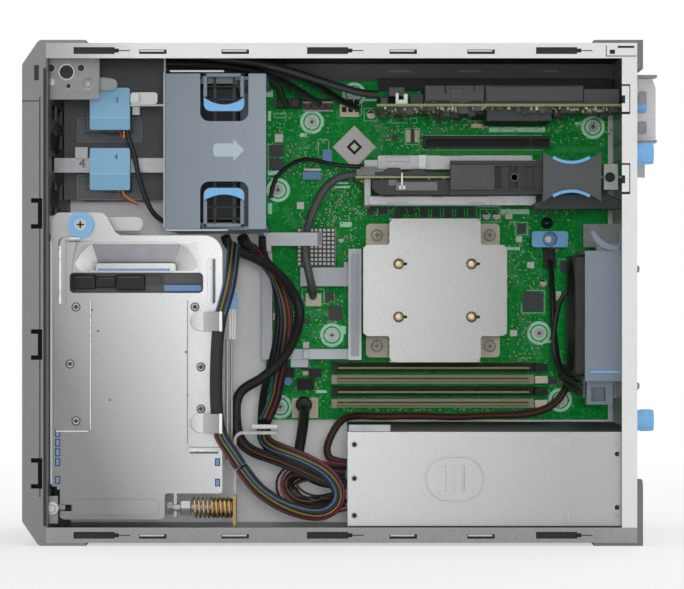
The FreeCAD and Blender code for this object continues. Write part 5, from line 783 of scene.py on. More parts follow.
for name, first, last, offset, radius, wires in STRANDS:
    words = wires.split()
    on_it = WITH.setdefault(name, [])
    for colour, degrees in zip(words[::2], words[1::2]):
        line = on_loom(LINES[name][first:last], offset, float(degrees), TIGHT if offset < 5 else LOOSE)
        on_it.append(piece(f"{name}_{colour}_{len(on_it)}", [tube(line, radius, 7)], WIRES[colour],
                           ROUTES[name][2] or None))
print("wires", sum(map(len, WITH.values())), "on", len(WITH), "looms")

# %% [markdown]
# ## The service loop, and the cords' length
# The service loop crosses the cage's hinge; it and its wires ride on no body, and their place is baked into their
# points.
# Each cord's line and thickness are then read, and the length of all the cords is printed.

# %% The loop's baked place, and the cords' length
for loose in [CORDS["service_loop"], *WITH["service_loop"]]:
    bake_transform(loose)
for name, curve in CORDS.items():
    line, radius = LINES[name], ROUTES[name][1]
print("cords", len(CORDS), "with", round(sum(map(length_of, LINES.values()))), "mm in all")

# %% [markdown]
# ## The circuit board's small parts
# A server board carries hundreds of tiny parts, far too many to draw in CAD and just right for a formula.
# Boxes read from the photograph place the parts that can be told apart; a seeded scatter fills the rest,
# on the fine grid that a board is really laid out on. Everything lies on the board's face.

# %% Blocks, round parts and a scatter, all from pixels
BOARD_Y = 70
BOARD_DEPTH = BOARD_Y - RIM_Y


def slabs(boxes, lift, base=BOARD_Y):
    """Blocks that stand on a face towards the eye, from pixel boxes (u0, v0, u1, v1) and heights in mm."""
    left, top, right, bottom = np.asarray(boxes, float).reshape(-1, 4).T
    low, high = seen(left, bottom, base - RIM_Y), seen(right, top, base - RIM_Y)
    low[:, 1] -= lift
    return blocks(low, high)


def discs(places, radius, profile, base=BOARD_Y):
    """Round parts on a face towards the eye at pixels (u, v): a profile of (radius, height) times a radius."""
    radii = np.broadcast_to(radius, len(places))
    return [turned(np.array(profile) * (r, -1), seen(u, v, base - RIM_Y), 20) for (u, v), r in zip(places, radii)]


def scatter(areas, pitch, size, seed):
    """Small blocks on a grid inside pixel areas (u0, v0, u1, v1, count), turned either way, as pixel boxes."""
    dice = np.random.default_rng(seed)
    boxes = []
    for u0, v0, u1, v1, count in areas:
        u = u0 + pitch * dice.integers(0, max(1, int((u1 - u0) / pitch)), count)
        v = v0 + pitch * dice.integers(0, max(1, int((v1 - v0) / pitch)), count)
        half = np.where(dice.random(count)[:, None] < 0.5, size, size[::-1]) / 2
        boxes.append(np.stack([u - half[:, 0], v - half[:, 1], u + half[:, 0], v + half[:, 1]], -1))
    return np.vstack(boxes)


print("board face", BOARD_DEPTH, "mm below the rim")

# %% [markdown]
# ## Hundreds of tiny parts
# Capacitors are tan ceramic, resistors black, and pads are tinned copper with a speck of print beside them.
# One scatter with its own seed makes each kind, inside the areas that hold no larger part, so every run is the same.

# %% Scattered parts
# Areas in pixels, and how many parts of each kind they hold.
BARE_BOARD = (
    (266, 112, 300, 180, 34), (300, 114, 330, 205, 44), (330, 165, 362, 222, 46), (376, 122, 440, 152, 40),
    (440, 119, 545, 134, 44), (545, 108, 620, 146, 40), (300, 205, 345, 228, 26), (268, 290, 300, 346, 34),
    (345, 216, 362, 290, 26), (356, 206, 420, 217, 24), (500, 208, 575, 256, 60), (508, 256, 545, 362, 60),
    (300, 296, 345, 345, 40), (268, 362, 330, 408, 46), (545, 372, 575, 410, 26), (330, 402, 560, 412, 60))
TAN = finish("ceramic capacitor", "#a09678 #bcb296", 0.4, 0, 0.6)
TIN = finish("tinned pads", "#b9bbba #d0d2d1", 0.3, 0.8, 0.6)
# Name, grid and size in pixels, seed, 2 to keep every second one, height in mm, finish and slot.
KINDS = (
    ("tan_capacitors", 2, (1.9, 1.1), 3, 1, 0.9, TAN, "beige_plastic"),
    ("black_resistors", 2, (1.7, 1.1), 11, 2, 0.6, CHIP, "black_plastic"),
    ("tin_pads", 1.5, (1.2, 0.8), 5, 2, 0.15, TIN, "bright_steel"),
    ("print_specks", 1.3, (1, 0.6), 17, 1, 0.06, MINT, "board_green"))
for name, pitch, size, seed, every, height, material, slot in KINDS:
    boxes = scatter(BARE_BOARD, pitch, np.array(size), seed)[::every]
    cut(name, slabs(boxes, height), material)
    print(name, len(boxes))

# %% [markdown]
# ## Chips and headers
# The packages that can be told apart in the photograph are placed one by one. The wider ones get rows of tinned legs
# along two sides, because the bright legs are what makes a black square read as a chip.

# %% Chips, legs and headers
CHIPS = (
    (269, 146, 280, 156), (269, 159, 280, 169), (523, 292, 543, 311), (517, 224, 526, 233), (560, 261, 572, 272),
    (325, 292, 334, 301), (391.5, 135, 398, 141), (410.5, 129.5, 414.5, 143), (367, 207, 374, 215),
    (378, 208, 388, 214), (399, 208, 405, 215), (408, 207, 414, 215), (393, 114, 404, 119), (437, 112, 441, 124),
    (454, 112, 461, 122), *((420 + 12 * i, 209, 428 + 12 * i, 217) for i in range(5)), (304, 318, 310, 324),
    (541, 246, 549, 249), (274, 330, 284, 340), (276, 300, 285, 309), (548, 378, 558, 384), (300, 362, 309, 370),
    (350, 300, 358, 306))
cut("chip_packages", slabs(CHIPS, 1.7), CHIP)
WIDE_CHIP = 7
LEG = np.array((-0.5, -0.35, 0.5, 0.35))
left, top, right, bottom = np.array([c for c in CHIPS if c[2] - c[0] > WIDE_CHIP]).T
rows = [(side, top + share * (bottom - top)) for side in (left, right) for share in np.linspace(0.1, 0.9, 7)]
legs = np.vstack([np.stack([u, v, u, v], -1) + LEG for u, v in rows])
cut("chip_legs", slabs(legs, 0.8), TIN)
PALE_PARTS = (
    (275, 134, 283, 142), (297, 202, 304, 209), (303, 342, 309, 348), (344, 262, 350, 268), (272, 313, 278, 320),
    (516, 236, 522, 242), (527, 262, 534, 268), (556, 291, 561, 300), (510, 330, 517, 336), (271, 178, 276, 182))
cut("pale_packages", slabs(PALE_PARTS, 1.6), PALE)
BEIGE_PARTS = ((406, 130, 410.5, 142.5), (414.5, 130, 419, 142.5), (471, 124, 488, 128), (303, 371, 318, 375),
               (505, 214, 512, 219), (276, 352, 292, 356))
cut("beige_headers", slabs(BEIGE_PARTS, 4), BEIGE)
print("chips", len(CHIPS), "legs", len(legs), "headers", len(BEIGE_PARTS))

# %% [markdown]
# ## Print on the board
# The pale green marks are silkscreen: outlines round the parts, short bars and rings at the screws.
# Each mark is a thin plate on the lacquer, as the ink is in real life.

# %% Print and screw rings
BARS = ((489, 127, 545, 132), (501, 209, 529, 214), (266, 90, 273, 97), (268, 111, 271, 121), (268, 171, 279, 175),
        (268, 203, 272, 214), (340, 222, 352, 227), (334, 176, 349, 179), (334, 182, 348, 184), (334, 186, 350, 188),
        (355, 99, 381, 101), (476, 205, 500, 207), (545, 205, 566, 209), (506, 247, 520, 250), (300, 352, 312, 355),
        (340, 326, 346, 334), (316, 390, 327, 393), (575, 122, 583, 125), (545, 340, 556, 343), (300, 133, 307, 137))
FRAMES = (
    (340, 96.5, 362, 115.5), (274, 113, 286, 118), (391, 118, 407, 123), (410, 118, 417, 123), (405, 128, 420, 144.5),
    (423, 135, 542, 150), (364, 108, 377, 121), (318, 139, 329, 157), (302, 289, 324, 304), (521, 290, 545, 313),
    (268, 144, 282, 171), (480, 209, 501, 222), (515, 222, 528, 235), (558, 259, 574, 274))
PRINT_LINE = 0.45
left, top, right, bottom = np.array(FRAMES).T
sides = ((left, top, right, top + PRINT_LINE), (left, bottom - PRINT_LINE, right, bottom),
         (left, top, left + PRINT_LINE, bottom), (right - PRINT_LINE, top, right, bottom))
borders = np.vstack([np.stack(side, -1) for side in sides])
cut("board_print", slabs(np.vstack([BARS, borders]), 0.08), MINT)

SCREWS = np.array(((-21.1, 286.4), (177.2, 282.9), (-45, 238.4), (-7, 136.1), (139.1, 137.5), (8.6, 306),
                   (-43.5, 85.5), (154, 90.2)))
GREEN_LINE = finish("deep green lacquer", "#0a5524 #0f6a2e", 0.35, 0, 0.8)
rings = [turned([(8.4, 0), (8.4, -0.1), (7.4, -0.1), (7.4, 0)], (x, BOARD_Y, z), 36) for x, z in SCREWS]
piece("print_rings", rings, MINT)
lines = [turned([(6.1, 0), (6.1, -0.45), (5.3, -0.45), (5.3, 0)], (x, BOARD_Y, z), 36) for x, z in SCREWS]
piece("ring_lines", lines, GREEN_LINE)
# The screws' cross recesses are dark blocks of painted shade.
crosses = np.vstack([np.column_stack([SCREWS + (dx, dz), SCREWS - (dx, dz)]) for dx, dz in ((1.5, 0.4), (0.4, 1.5))])
# This dark is painted shade in holes, gaps and recesses, and the real colour of the chip's and capacitors' dark
# marks.
DARK_SHADE_AND_PRINT = finish("painted recess shade and dark print", "#1b1b1b #262626", 0.6, 0, 0.6)
SCREW_TOP = 67.6
low = np.insert(crosses[:, 2:], 1, SCREW_TOP - 0.3, axis=1)
high = np.insert(crosses[:, :2], 1, SCREW_TOP, axis=1)
cut("board_screw_cross_shade", blocks(low, high), DARK_SHADE_AND_PRINT)
print("bars", len(BARS), "frames", len(FRAMES), "screws", len(SCREWS))

# %% [markdown]
# ## Tracks and plated pins
# The shader's tracks are a texture; where the eye can follow a bundle from chip to socket, real ribbons are better.
# Each bundle is a row of parallel ribbons with a foil's thickness, and gold pins stand in rows along the sockets.

# %% Track bundles and socket pins
# Start and end in pixels, number of tracks and their pitch.
BUNDLES = (
    (372, 120, 392, 138, 9, 1.1), (384, 130, 374, 158, 8, 1.1), (398, 152, 380, 170, 7, 1),
    (310, 170, 335, 195, 8, 1.2), (440, 128, 405, 160, 6, 1.2), (505, 255, 520, 290, 8, 1.2),
    (290, 170, 310, 130, 7, 1.2), (330, 215, 350, 300, 7, 1.1), (520, 315, 540, 360, 8, 1.1),
    (280, 300, 300, 285, 6, 1.1), (575, 130, 605, 110, 7, 1.2), (300, 310, 340, 315, 6, 1.1),
    (284, 206, 296, 228, 6, 1.2), (556, 150, 600, 150, 5, 1.3), (425, 153, 540, 153, 3, 1.2),
    (375, 398, 470, 404, 4, 1.2))


def track_bundle(u0, v0, u1, v1, count, pitch):
    """Parallel tracks: ribbons from start to end, moved sideways by one pitch each, as (count, 4 corners, 3)."""
    start, end = np.array((u0, v0)), np.array((u1, v1))
    across = np.array((v0 - v1, u1 - u0), float)
    across /= np.linalg.norm(across)
    shift = (np.arange(count) - count / 2)[:, None, None] * pitch * across
    half = 0.22 * across
    corners = np.array((start - half, end - half, end + half, start + half)) + shift
    return seen(corners[..., 0], corners[..., 1], BOARD_DEPTH - 0.06)


ribbons = np.vstack([track_bundle(*row) for row in BUNDLES])
quads = np.arange(len(ribbons) * 4).reshape(-1, 4).tolist()
TRACK = finish("track under lacquer", "#2c8a49 #3a9a57", 0.35, 0, 0.8)
ribbon = cut("board_tracks", (ribbons.reshape(-1, 3), quads), TRACK)
ribbon.modifiers.new("foil", "SOLIDIFY").thickness = 0.04 * MM
# First and last pixel across, pitch and height in the picture of each row of pins.
PIN_ROWS = ((430, 540, 2.2, 149), (430, 540, 2.2, 135.8), (474, 545, 2, 117), (474, 545, 2, 120),
            (342, 534, 2.4, 361.5))
PIN_BOX = np.array((0, 0, 0.8, 1.3))
pins = np.vstack([np.stack([u, v + 0 * u, u, v + 0 * u], -1) + PIN_BOX
                  for u, v in ((np.arange(first, last, step), v) for first, last, step, v in PIN_ROWS)])
cut("slot_pins", slabs(pins, 0.5), GOLD)
print("tracks", len(ribbons), "pins", len(pins))

# %% [markdown]
# ## The larger parts of the board
# A chip set under a grey lid set on its corner, round aluminium capacitors with a dark mark, a coil and a knob:
# each is one or two turned or flat forms on top of the drawn block.

# %% Chip lid, capacitors, coil and knob
LID = (8.8, 268.6)


def diamond(half):
    """A square standing on its corner, by half its diagonal."""
    return np.array(((half, 0), (0, half), (-half, 0), (0, -half))) + LID


cut("chip_edge", plate(diamond(15.3), 69, 68.2), BEIGE)
cut("chip_lid", plate(diamond(14.3), 68.2, 66.7), GREY_PACKAGE)
cut("chip_mark", plate(diamond(5.6), 66.7, 66.6), DARK_SHADE_AND_PRINT)
cut("chip_window", plate(diamond(3), 66.6, 66.5), PALE)
# Place and radius in pixels, and height in mm.
CANS = ((371, 115, 5, 7), (486, 216, 4.4, 7), (496, 216, 4.4, 7), (543, 283, 4, 6), (541, 378, 3.4, 6),
        (341, 240, 3.2, 5))
CAN = finish("capacitor can", "#b2b0ad #c6c4c1", 0.35, 0.6, 0.8)
BOARD_PIXEL = 0.706  # size of a pixel on the board
angle = np.linspace(0.15 * np.pi, 0.85 * np.pi, 9)
cans, marks = [], []
for u, v, r, h in CANS:
    cans += discs([(u, v)], r * BOARD_PIXEL, ((0.9, 0), (1, 0.6), (1, h - 0.6), (0.88, h), (0, h)))
    x, _, z = seen(u, v, BOARD_DEPTH - h)
    mark = np.stack([x + r * 0.6 * np.cos(angle), z + r * 0.6 * np.sin(angle)], -1)
    marks.append(plate(mark, BOARD_Y - h, BOARD_Y - h - 0.1))
piece("capacitor_cans", cans, CAN)
piece("capacitor_marks", marks, DARK_SHADE_AND_PRINT, smooth=False)
angle = np.linspace(0, 2 * np.pi, 25)
coil = tube(seen(547 + 4 * np.cos(angle), 223 + 3.4 * np.sin(angle), BOARD_DEPTH - 3), 1.6, 8)
piece("board_coil", [coil], BLACK)
knob = discs([(288, 381)], 3.5, ((1, 0), (1, 6), (0.8, 7), (0.45, 7), (0.4, 6.2), (0, 6.2)))
piece("board_knob", knob, TOUCH_DEEP)
print("cans", len(CANS), "chip lid at", LID)

# %% [markdown]
# ## Sockets and the controller's cooler
# The drawn sockets are plain blocks. Holes painted dark as shade, or paler tops, on their faces are enough to read as
# contacts.
# The controller's cooler is a square of upright pins: a dark floor of painted shade between them, with a grid of
# blocks on it.

# %% Socket holes and cooler pins
SOCKET_Y = 61  # faces of the sockets
holes = [(341.8 + 6.4 * i, 99.2 + 7.6 * j, 346.6 + 6.4 * i, 104.4 + 7.6 * j) for i in range(3) for j in range(2)]
cut("beige_socket_hole_shade", slabs(holes, 0.2, SOCKET_Y), DARK_SHADE_AND_PRINT)
holes = [(u + 7.2 * i, top, u + 5.5 + 7.2 * i, foot) for u, top, foot in ((271, 99.5, 106), (305, 103, 110))
         for i in range(4)]
cut("top_socket_tops", slabs(holes, 0.2, SOCKET_Y), CHARCOAL_AND_PAINTED_LIGHT)
cut("tan_socket_rim", slabs([(303, 101.6, 333, 103), (303, 110, 333, 111.4)], 0.3, SOCKET_Y), TAN)
cut("blue_socket_foot", slabs([(304, 168.6, 321, 170.6)], 0.3, SOCKET_Y), PALE)
PINS_ACROSS, PIN_PITCH, PIN_SIDE = 9, 2.93, 1.75
row, column = np.divmod(np.arange(PINS_ACROSS ** 2), PINS_ACROSS)
x, z = -31.2 + PIN_PITCH * row + 0.6, 184.8 + PIN_PITCH * column + 0.6
corner = np.stack([x, np.full(len(x), 51.6), z], -1)
cut("controller_gap_shade", blocks([(-31.2, 53.7, 184.8)], [(-4.8, 54, 211.2)]), CHARCOAL_AND_PAINTED_LIGHT)
cut("controller_pins", blocks(corner, corner + (PIN_SIDE, 2.1, PIN_SIDE)), PALE)
print("socket tops", len(holes), "cooler pins", len(corner))

# %% [markdown]
# ## The fan duct
# The moulded duct has two finger wells, each with a squeeze bail: two slate legs and a blue crescent to press.
# The drawn bail is a plain frame, so a crescent cut from two arcs takes its place and rides on the same sliding body.

# %% Squeeze bails
DUCT_Y = -77
LEGS = ((203.7, 207.4), (240.6, 244.4))
BAIL_CORNER = 7
CROSSBAR = 3.4
# Body, then in pixels: far end, end of the legs, crescent's ends, middle and outer edge, and which way it faces.
BAILS = (("front_fan_latch_upper", 73.9, 97.5, 97, 104.5, 111.2, 1),
         ("front_fan_latch_lower", 227.2, 200.5, 201, 194.5, 187.8, -1))


def crescent(u0, u1, v_side, v_middle, v_outer, way):
    """Outline of a bail's blue bar: an inner arc that sags, and an outer edge with quarter-round corners."""
    t = np.linspace(0, 1, 13)
    inner = np.stack([u1 + (u0 - u1) * t, v_side + (v_middle - v_side) * np.sin(np.pi * t) ** 0.8], -1)
    angle = np.linspace(0, np.pi / 2, 7)
    inset, outset = BAIL_CORNER * (1 - np.cos(angle)), BAIL_CORNER * (1 - np.sin(angle))
    left = np.stack([u0 + inset, v_outer - way * outset], -1)
    right = np.stack([u1 - outset, v_outer - way * inset], -1)
    return seen(*np.vstack([inner, left, right]).T, DUCT_Y - RIM_Y + 2)[:, [0, 2]]


for name, v_far, v_legs, v_side, v_middle, v_outer, way in BAILS:
    bar = crescent(LEGS[0][0], LEGS[1][1], v_side, v_middle, v_outer, way)
    bar = soften(piece(name + "_bar", [plate(bar, -76, -70)], TOUCH, name))
    low, high = sorted((v_far, v_legs))
    near = sorted((v_far, v_far + way * CROSSBAR))
    legs = slabs([(a, low, b, high) for a, b in LEGS] + [(LEGS[0][0], near[0], LEGS[1][1], near[1])], 6, -69.5)
    cut(name + "_legs", legs, SLATE, 0.4, name)
    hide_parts(name)
print("bails", len(BAILS))

# %% [markdown]
# ## Guard, edge and arrow on the duct
# Behind the wells the fan's guard shows as dark bars, and a thin steel edge frames the duct.
# A pale arrow is printed on it for the way of the air: a flat outline, a tenth of a millimetre thick.

# %% Guard bars, steel edge and airflow arrow
bars = [(213.6, 74, 216.4, 121), (232.8, 74, 235.6, 121), (203, 86, 246, 87.2), (203, 99, 246, 100.2),
        (213.6, 178, 216.4, 226), (232.8, 178, 235.6, 226), (203, 206.6, 246, 207.8), (203, 218, 246, 219.2)]
cut("guard_bars", slabs(bars, 1.2, -51), CHARCOAL_AND_PAINTED_LIGHT)
edges = blocks([(-117.2, -78.5, 209), (-113, -78, 311), (-116, -77, 206.6)],
               [(-116.5, -60, 311), (-77.5, -68, 312.2), (-75, -60, 207.5)])
cut("duct_steel_edge", edges, BRIGHT, 0.2)
u = np.array((215, 233.5, 233.5, 244, 233.5, 233.5, 215, 213.2, 213.2))
v = np.array((143.5, 143.5, 139, 150, 161, 156.5, 156.5, 153.5, 146.5))
PRINT_BLUE = finish("pale print on slate", "#9aa8b5 #a4b1bd", 0.5, 0, 0.8)
cut("airflow_arrow", plate(seen(u, v, 8)[:, [0, 2]], DUCT_Y, DUCT_Y - 0.12), PRINT_BLUE)
print("guard bars", len(bars))

# %% [markdown]
# ## Tags on the drives
# Two blue pull tags stand in front of the upper bay, each with a fold line and its number, a plain numeral.
# Text is made as a curve, turned into a mesh and laid on the face that carries it.

# %% Tags and their numbers


def numeral(name, text, size, place, material):
    """A numeral as a thin mesh on a face towards the eye: the letter's X and Y become X and Z."""
    curve = bpy.data.curves.new(name, "FONT")
    curve.body = text
    curve.size = 1
    curve.extrude = 0.03
    curve.align_x = curve.align_y = "CENTER"
    letter = bpy.data.objects.new(name + "_curve", curve)
    scene.collection.objects.link(letter)
    bpy.context.view_layer.update()
    mesh = bpy.data.meshes.new_from_object(letter.evaluated_get(bpy.context.evaluated_depsgraph_get()))
    bpy.data.objects.remove(letter)
    flat = np.empty(len(mesh.vertices) * 3)
    mesh.vertices.foreach_get("co", flat)
    x, y, z = flat.reshape(-1, 3).T
    faces = [list(p.vertices) for p in mesh.polygons]
    bpy.data.meshes.remove(mesh)
    points = np.stack([x * size, -z * size, y * size], -1) + place
    return cut(name, (points, faces), material)


# Dark ink prints the tag numbers, and the same dark paints the shade in the cage's rivet holes.
INK_AND_HOLE_SHADE = finish("dark ink and painted hole shade", "#1e3242 #293f50", 0.5, 0, 0.6)
numeral("tag_number_upper", "3", 5.2, (-149.9, -50.05, 294.3), INK_AND_HOLE_SHADE)
numeral("tag_number_lower", "4", 5.2, (-150.5, -50.05, 256.3), INK_AND_HOLE_SHADE)
# The fold line is a painted highlight, and the flap below it painted shade.
FOLD_HIGHLIGHT = finish("tag fold highlight", "#93bdd8 #9dc6df", 0.42, 0, 0.8)
TAG_Y = -50
folds = blocks([(-167.6, TAG_Y - 0.12, z) for z in (282.2, 245)], [(-141.7, TAG_Y, z) for z in (282.6, 245.4)])
cut("tag_fold_highlights", folds, FOLD_HIGHLIGHT)
FLAP_SHADE = finish("tag flap shade", "#6e9bba #7aa7c6", 0.42, 0, 0.8)
flaps = blocks([(-167.8, TAG_Y - 0.1, z) for z in (274.6, 234.4)], [(-141.5, TAG_Y, z) for z in (282.2, 245)])
cut("tag_flap_shades", flaps, FLAP_SHADE)
print("tags numbered 3 and 4")

# %% [markdown]
# ## The corner gusset
# A stamped plate stiffens the case's corner, and two rivets hold it.
# Its holes have a rolled, bright rim round a dark disc of painted shade.

# %% Gusset, holes and rivets
GUSSET_Y = -73.5
gusset = [plate(rounded(-192.4, -159.8, 293.3, 320.5, 0.8), -73, -73.6)]
soften(piece("gusset_face", gusset, DULL), 0.2)
t = np.linspace(np.pi / 2, -np.pi / 2, 9)
lobe = np.vstack([[(-162, 299.4), (-162, 308), (-156, 308)],
                  np.stack([-152.5 + 4.5 * np.cos(t), 303.4 + 4 * np.sin(t)], -1)])
soften(piece("gusset_lobe", [plate(lobe, -70, -68.8)], DULL), 0.2)
GUSSET_HOLES, radii = ((51, 68), (66.5, 72), (81, 68), (68.5, 86)), np.array((2.4, 4.9, 2.2, 1.5))
holes = discs(GUSSET_HOLES, radii, ((1, 0), (1, 0.12), (0, 0.12)), GUSSET_Y)
piece("gusset_hole_shade", holes, DARK_SHADE_AND_PRINT)
rims = discs(GUSSET_HOLES, radii + 0.6, ((1, 0), (0.95, 0.35), (0.88, 0.35), (0.8, 0)), GUSSET_Y)
piece("gusset_hole_rims", rims, BRIGHT)
domes = discs([(51.5, 82)], 2.7, ((1, 0), (0.9, 0.7), (0.5, 1.1), (0, 1.2)), GUSSET_Y)
domes += discs([(88, 84)], 4, ((1, 0), (0.85, 0.4), (0.75, -0.3), (0.35, -0.3), (0.25, 0.2), (0, 0.2)), GUSSET_Y)
piece("gusset_rivets", domes, SCREW)
print("gusset holes", len(GUSSET_HOLES))

# %% [markdown]
# ## Strap, trays and drive leads
# A strap with a raised tab and its number holds the drives, which sit in two trays with pressed lips.
# Two thin wires leave each tag, drawn as tubes through a few points read from the photograph.

# %% Strap, trays and drive leads
strap = blocks([(-178.7, -40.9, 255.5), (-140, -46, 284.6)], [(-170, -39.7, 263.5), (-134.8, -44.8, 290.6)])
cut("strap_tabs", strap, ZINC, 0.3)
bends = ((-142.3, 254), (-142.3, 258), (-142.3, 262.6), (-139.4, 262.8), (-139.4, 259))
piece("strap_hook", [tube([(x, -40.3, z) for x, z in bends], 0.7, 8)], SCREW)
numeral("strap_number", "4", 9, (-173.8, -41, 252.2), DRIVE_GREY_AND_RECESS_SHADE)
capsule = plate(rounded(-168, -131.8, 206.8, 216.1, 4.2, 9), -60, -58.8)
soften(piece("bay_back_plate", [capsule], BRIGHT), 0.2)
# The front wall's windows are dark blocks of painted shade.
windows = blocks([(-192.6, -70, z) for z in (260, 223.2)], [(-192.2, -14, z) for z in (271.4, 234.6)])
cut("front_wall_window_shade", windows, DARK_SHADE_AND_PRINT)
TRAY_Y, NEXT_TRAY = 33.8, 57.6
lips = np.array([(77, 117.4, 142, 118.2), (77, 141.4, 142, 142.2), (77, 117.4, 77.8, 142.2),
                 (141.2, 117.4, 142, 142.2)])
lips = np.vstack([lips, lips + (0, NEXT_TRAY, 0, NEXT_TRAY)])
cut("tray_lips", slabs(lips, 0.6, TRAY_Y), ZINC)
trays = [(78, 119, 141, 141), (78, 176.6, 141, 198.6)]
cut("tray_floors", slabs(trays, 0.4, TRAY_Y), DULL)
drives = [(86, 113, 132, 133), (86, 174, 132, 190)]
# The drives' backs in the bay are dark sheet as painted shade.
cut("drive_backs_upper", slabs(drives, 4, -20), SHADED, 0.5)
tails = {"red": [((119, 131), (121, 135), (123, 139)), ((117, 188), (121, 196), (129, 201), (138, 205))],
         "amber": [((124, 131), (123.8, 134), (124, 138)), ((122, 188), (124, 195), (131, 200), (138, 203.5))]}
for colour, ways in tails.items():
    lines = [tube(seen(*np.array(way).T, 38), 0.55, 8) for way in ways]
    piece("tag_tails_" + colour, lines, WIRES[colour])
print("trays", len(trays), "drive leads", sum(map(len, tails.values())))

# %% [markdown]
# ## The swing-out cage
# The cage's face is a pressed sheet that beads stiffen. A bead is a half-sunk tube along its path.
# Thin bright and dark tubes lie beside each bead: a painted highlight on its crown and painted shade on its flank.
# All of it rides on the cage, and swings out with it.

# %% Pressed beads
CAGE_Y = -74.5
CAGE_DEPTH = CAGE_Y - RIM_Y


def bead(points, radius, rise=0.6):
    """A pressed bead: a tube along pixels on the cage's face, sunk so that only its crown stands proud."""
    path = seen(*np.array(points).T, CAGE_DEPTH)
    path[:, 1] += radius - rise
    return tube(path, radius, 12)


def pressing(u0, v0, u1, v1, radius, y0, y1, depth=CAGE_DEPTH):
    """A rounded plate between two pixels at a depth, from y0 to y1."""
    low, high = seen(u0, v1, depth), seen(u1, v0, depth)
    return plate(rounded(low[0], high[0], low[2], high[2], radius), y0, y1)


angle = np.linspace(0, np.pi / 2, 7)
corner = np.stack([66 - 5 * np.sin(angle), 243 - 4 * np.cos(angle)], -1)
beads = [bead([(80, 239), (72, 239), *corner, (61, 262), (61, 305)], 2.2, 1.1),
         bead([(211.5, 258), (211.5, 280), (211.5, 304)], 2.4, 1.2), bead([(190, 451), (204, 451), (218, 451)], 1.3)]
piece("cage_beads", beads, CAGE, "cage")
# The crown tubes and strips are a painted highlight, and the flank ones painted shade.
PAINTED_HIGHLIGHT = finish("painted highlight", "#eaebeb #f2f2f2", 0.3, 0.3, 6)
BEAD_PAINTED_SHADE = finish("bead painted shade", "#6c6d6f #78797b", 0.36, 0.4, 6)
crowns = [bead([(209.6, 260), (209.6, 280), (209.6, 302)], 1.5, 2), bead([(80, 238), (76, 238), (70, 238)], 0.9, 1.6),
          bead([(60.2, 246), (60.2, 276), (60.2, 304)], 1.2, 1.8),
          bead([(190, 450.4), (204, 450.4), (218, 450.4)], 0.8, 1.3)]
crowns.append(slabs([(90.1, 300, 91, 429), (56, 430.8, 88, 431.6), (189, 448, 220, 448.6)], 0.55, CAGE_Y))
piece("bead_highlights", crowns, PAINTED_HIGHLIGHT, "cage")
flanks = [
    bead([(213.6, 259), (213.6, 280), (213.6, 303)], 1.2, 1.3), bead([(80, 241), (74, 241), (68, 241)], 0.7, 0.9),
    bead([(63.2, 246), (63.2, 275), (63.2, 304)], 0.8, 1), bead([(190, 452.6), (204, 452.6), (218, 452.6)], 0.7, 0.9)]
flanks.append(slabs([(187.1, 300, 187.6, 444), (91, 300, 91.4, 429), (188, 447.5, 220, 448)], 0.5, CAGE_Y))
piece("bead_shades", flanks, BEAD_PAINTED_SHADE, "cage")
print("beads", len(beads))

# %% [markdown]
# ## The finger cup
# A cup pressed into the sheet under the top edge takes the fingers. Its rim and its floor are two outlines of as many
# points, and the rows between them go over from one to the other while they sink.
# Each corner of such a cup mirrors another part of the room, so the back takes painted shade and the two corners
# painted glints, each with its own fade.

# %% Finger cup with its lip
# Rim of the cup, rim of its floor, and the border that joins it to the flat sheet, in pixels.
OUTER = ((73, 272.4), (75.5, 262), (82, 252), (90, 245), (100, 242.2), (172, 242.2), (182, 245), (190, 252),
         (196.5, 262), (199, 272.4))
INNER = ((95, 272.4), (95, 269), (95.5, 266), (97, 264), (100, 263), (171, 263), (174, 264), (175.5, 266), (176, 269),
         (176, 272.4))
FLAT = ((71, 273.4), (71, 262), (71, 250), (71, 240), (100, 240), (172, 240), (201.5, 240), (201.5, 250),
        (201.5, 262), (201.5, 273.4))


def along(corners):
    """Seventy-three points along a polyline in pixels, eight to a side, so that two such lines match."""
    t = np.linspace(0, len(corners) - 1, 73)
    return np.stack([np.interp(t, np.arange(len(corners)), axis) for axis in np.array(corners).T], -1)


shares = np.array((0, 0, 0.04, 0.1, 0.2, 0.35, 0.5, 0.65, 0.8, 0.92, 1))
rows = along(OUTER) + shares[:, None, None] * (along(INNER) - along(OUTER))
rows[0] = along(FLAT)
CUP_SINK = 5.4
cup = seen(*np.moveaxis(rows, -1, 0), CAGE_DEPTH)
cup[..., 1] += np.where(shares > 0, CUP_SINK * shares ** 0.8, -0.1)[:, None]
cup[0, :, 1] = CAGE_Y + 0.45
# The back is painted shade and the corners painted glints, each with a fade.
SHADE = finish("cup back", "#94959a #9d9ea2", 0.3, 0.5, 8, fade=((1, 0, 0), -165, -108, 0.85, 1.25))
LEFT_GLINT = finish("cup left corner", "#c6c7c8 #d0d1d1", 0.3, 0.5, 8, fade=((1, 0, 0.3), -118, -92, 1.3, 0.55))
RIGHT_GLINT = finish("cup right corner", "#c6c7c8 #d0d1d1", 0.3, 0.5, 8, fade=((1, 0, -0.3), -166, -144, 0.75, 1.4))
CUP_PARTS = (("cage_grip_border", cup[:2], CAGE), ("cage_grip_left", cup[1:, :27], LEFT_GLINT),
             ("cage_grip_back", cup[1:, 26:47], SHADE), ("cage_grip_right", cup[1:, 46:], RIGHT_GLINT))
for name, part, material in CUP_PARTS:
    made = piece(name, [skin(part, closed=False, caps=False)], material, "cage")
    sheet = made.modifiers.new("sheet", "SOLIDIFY")
    sheet.thickness = 0.3 * MM
    sheet.offset = 1
lip = pressing(95, 263, 176, 272.6, 2.2, CAGE_Y + 5, CAGE_Y - 0.4)
soften(piece("cage_grip_lip", [lip], CAGE, "cage"), 0.9)
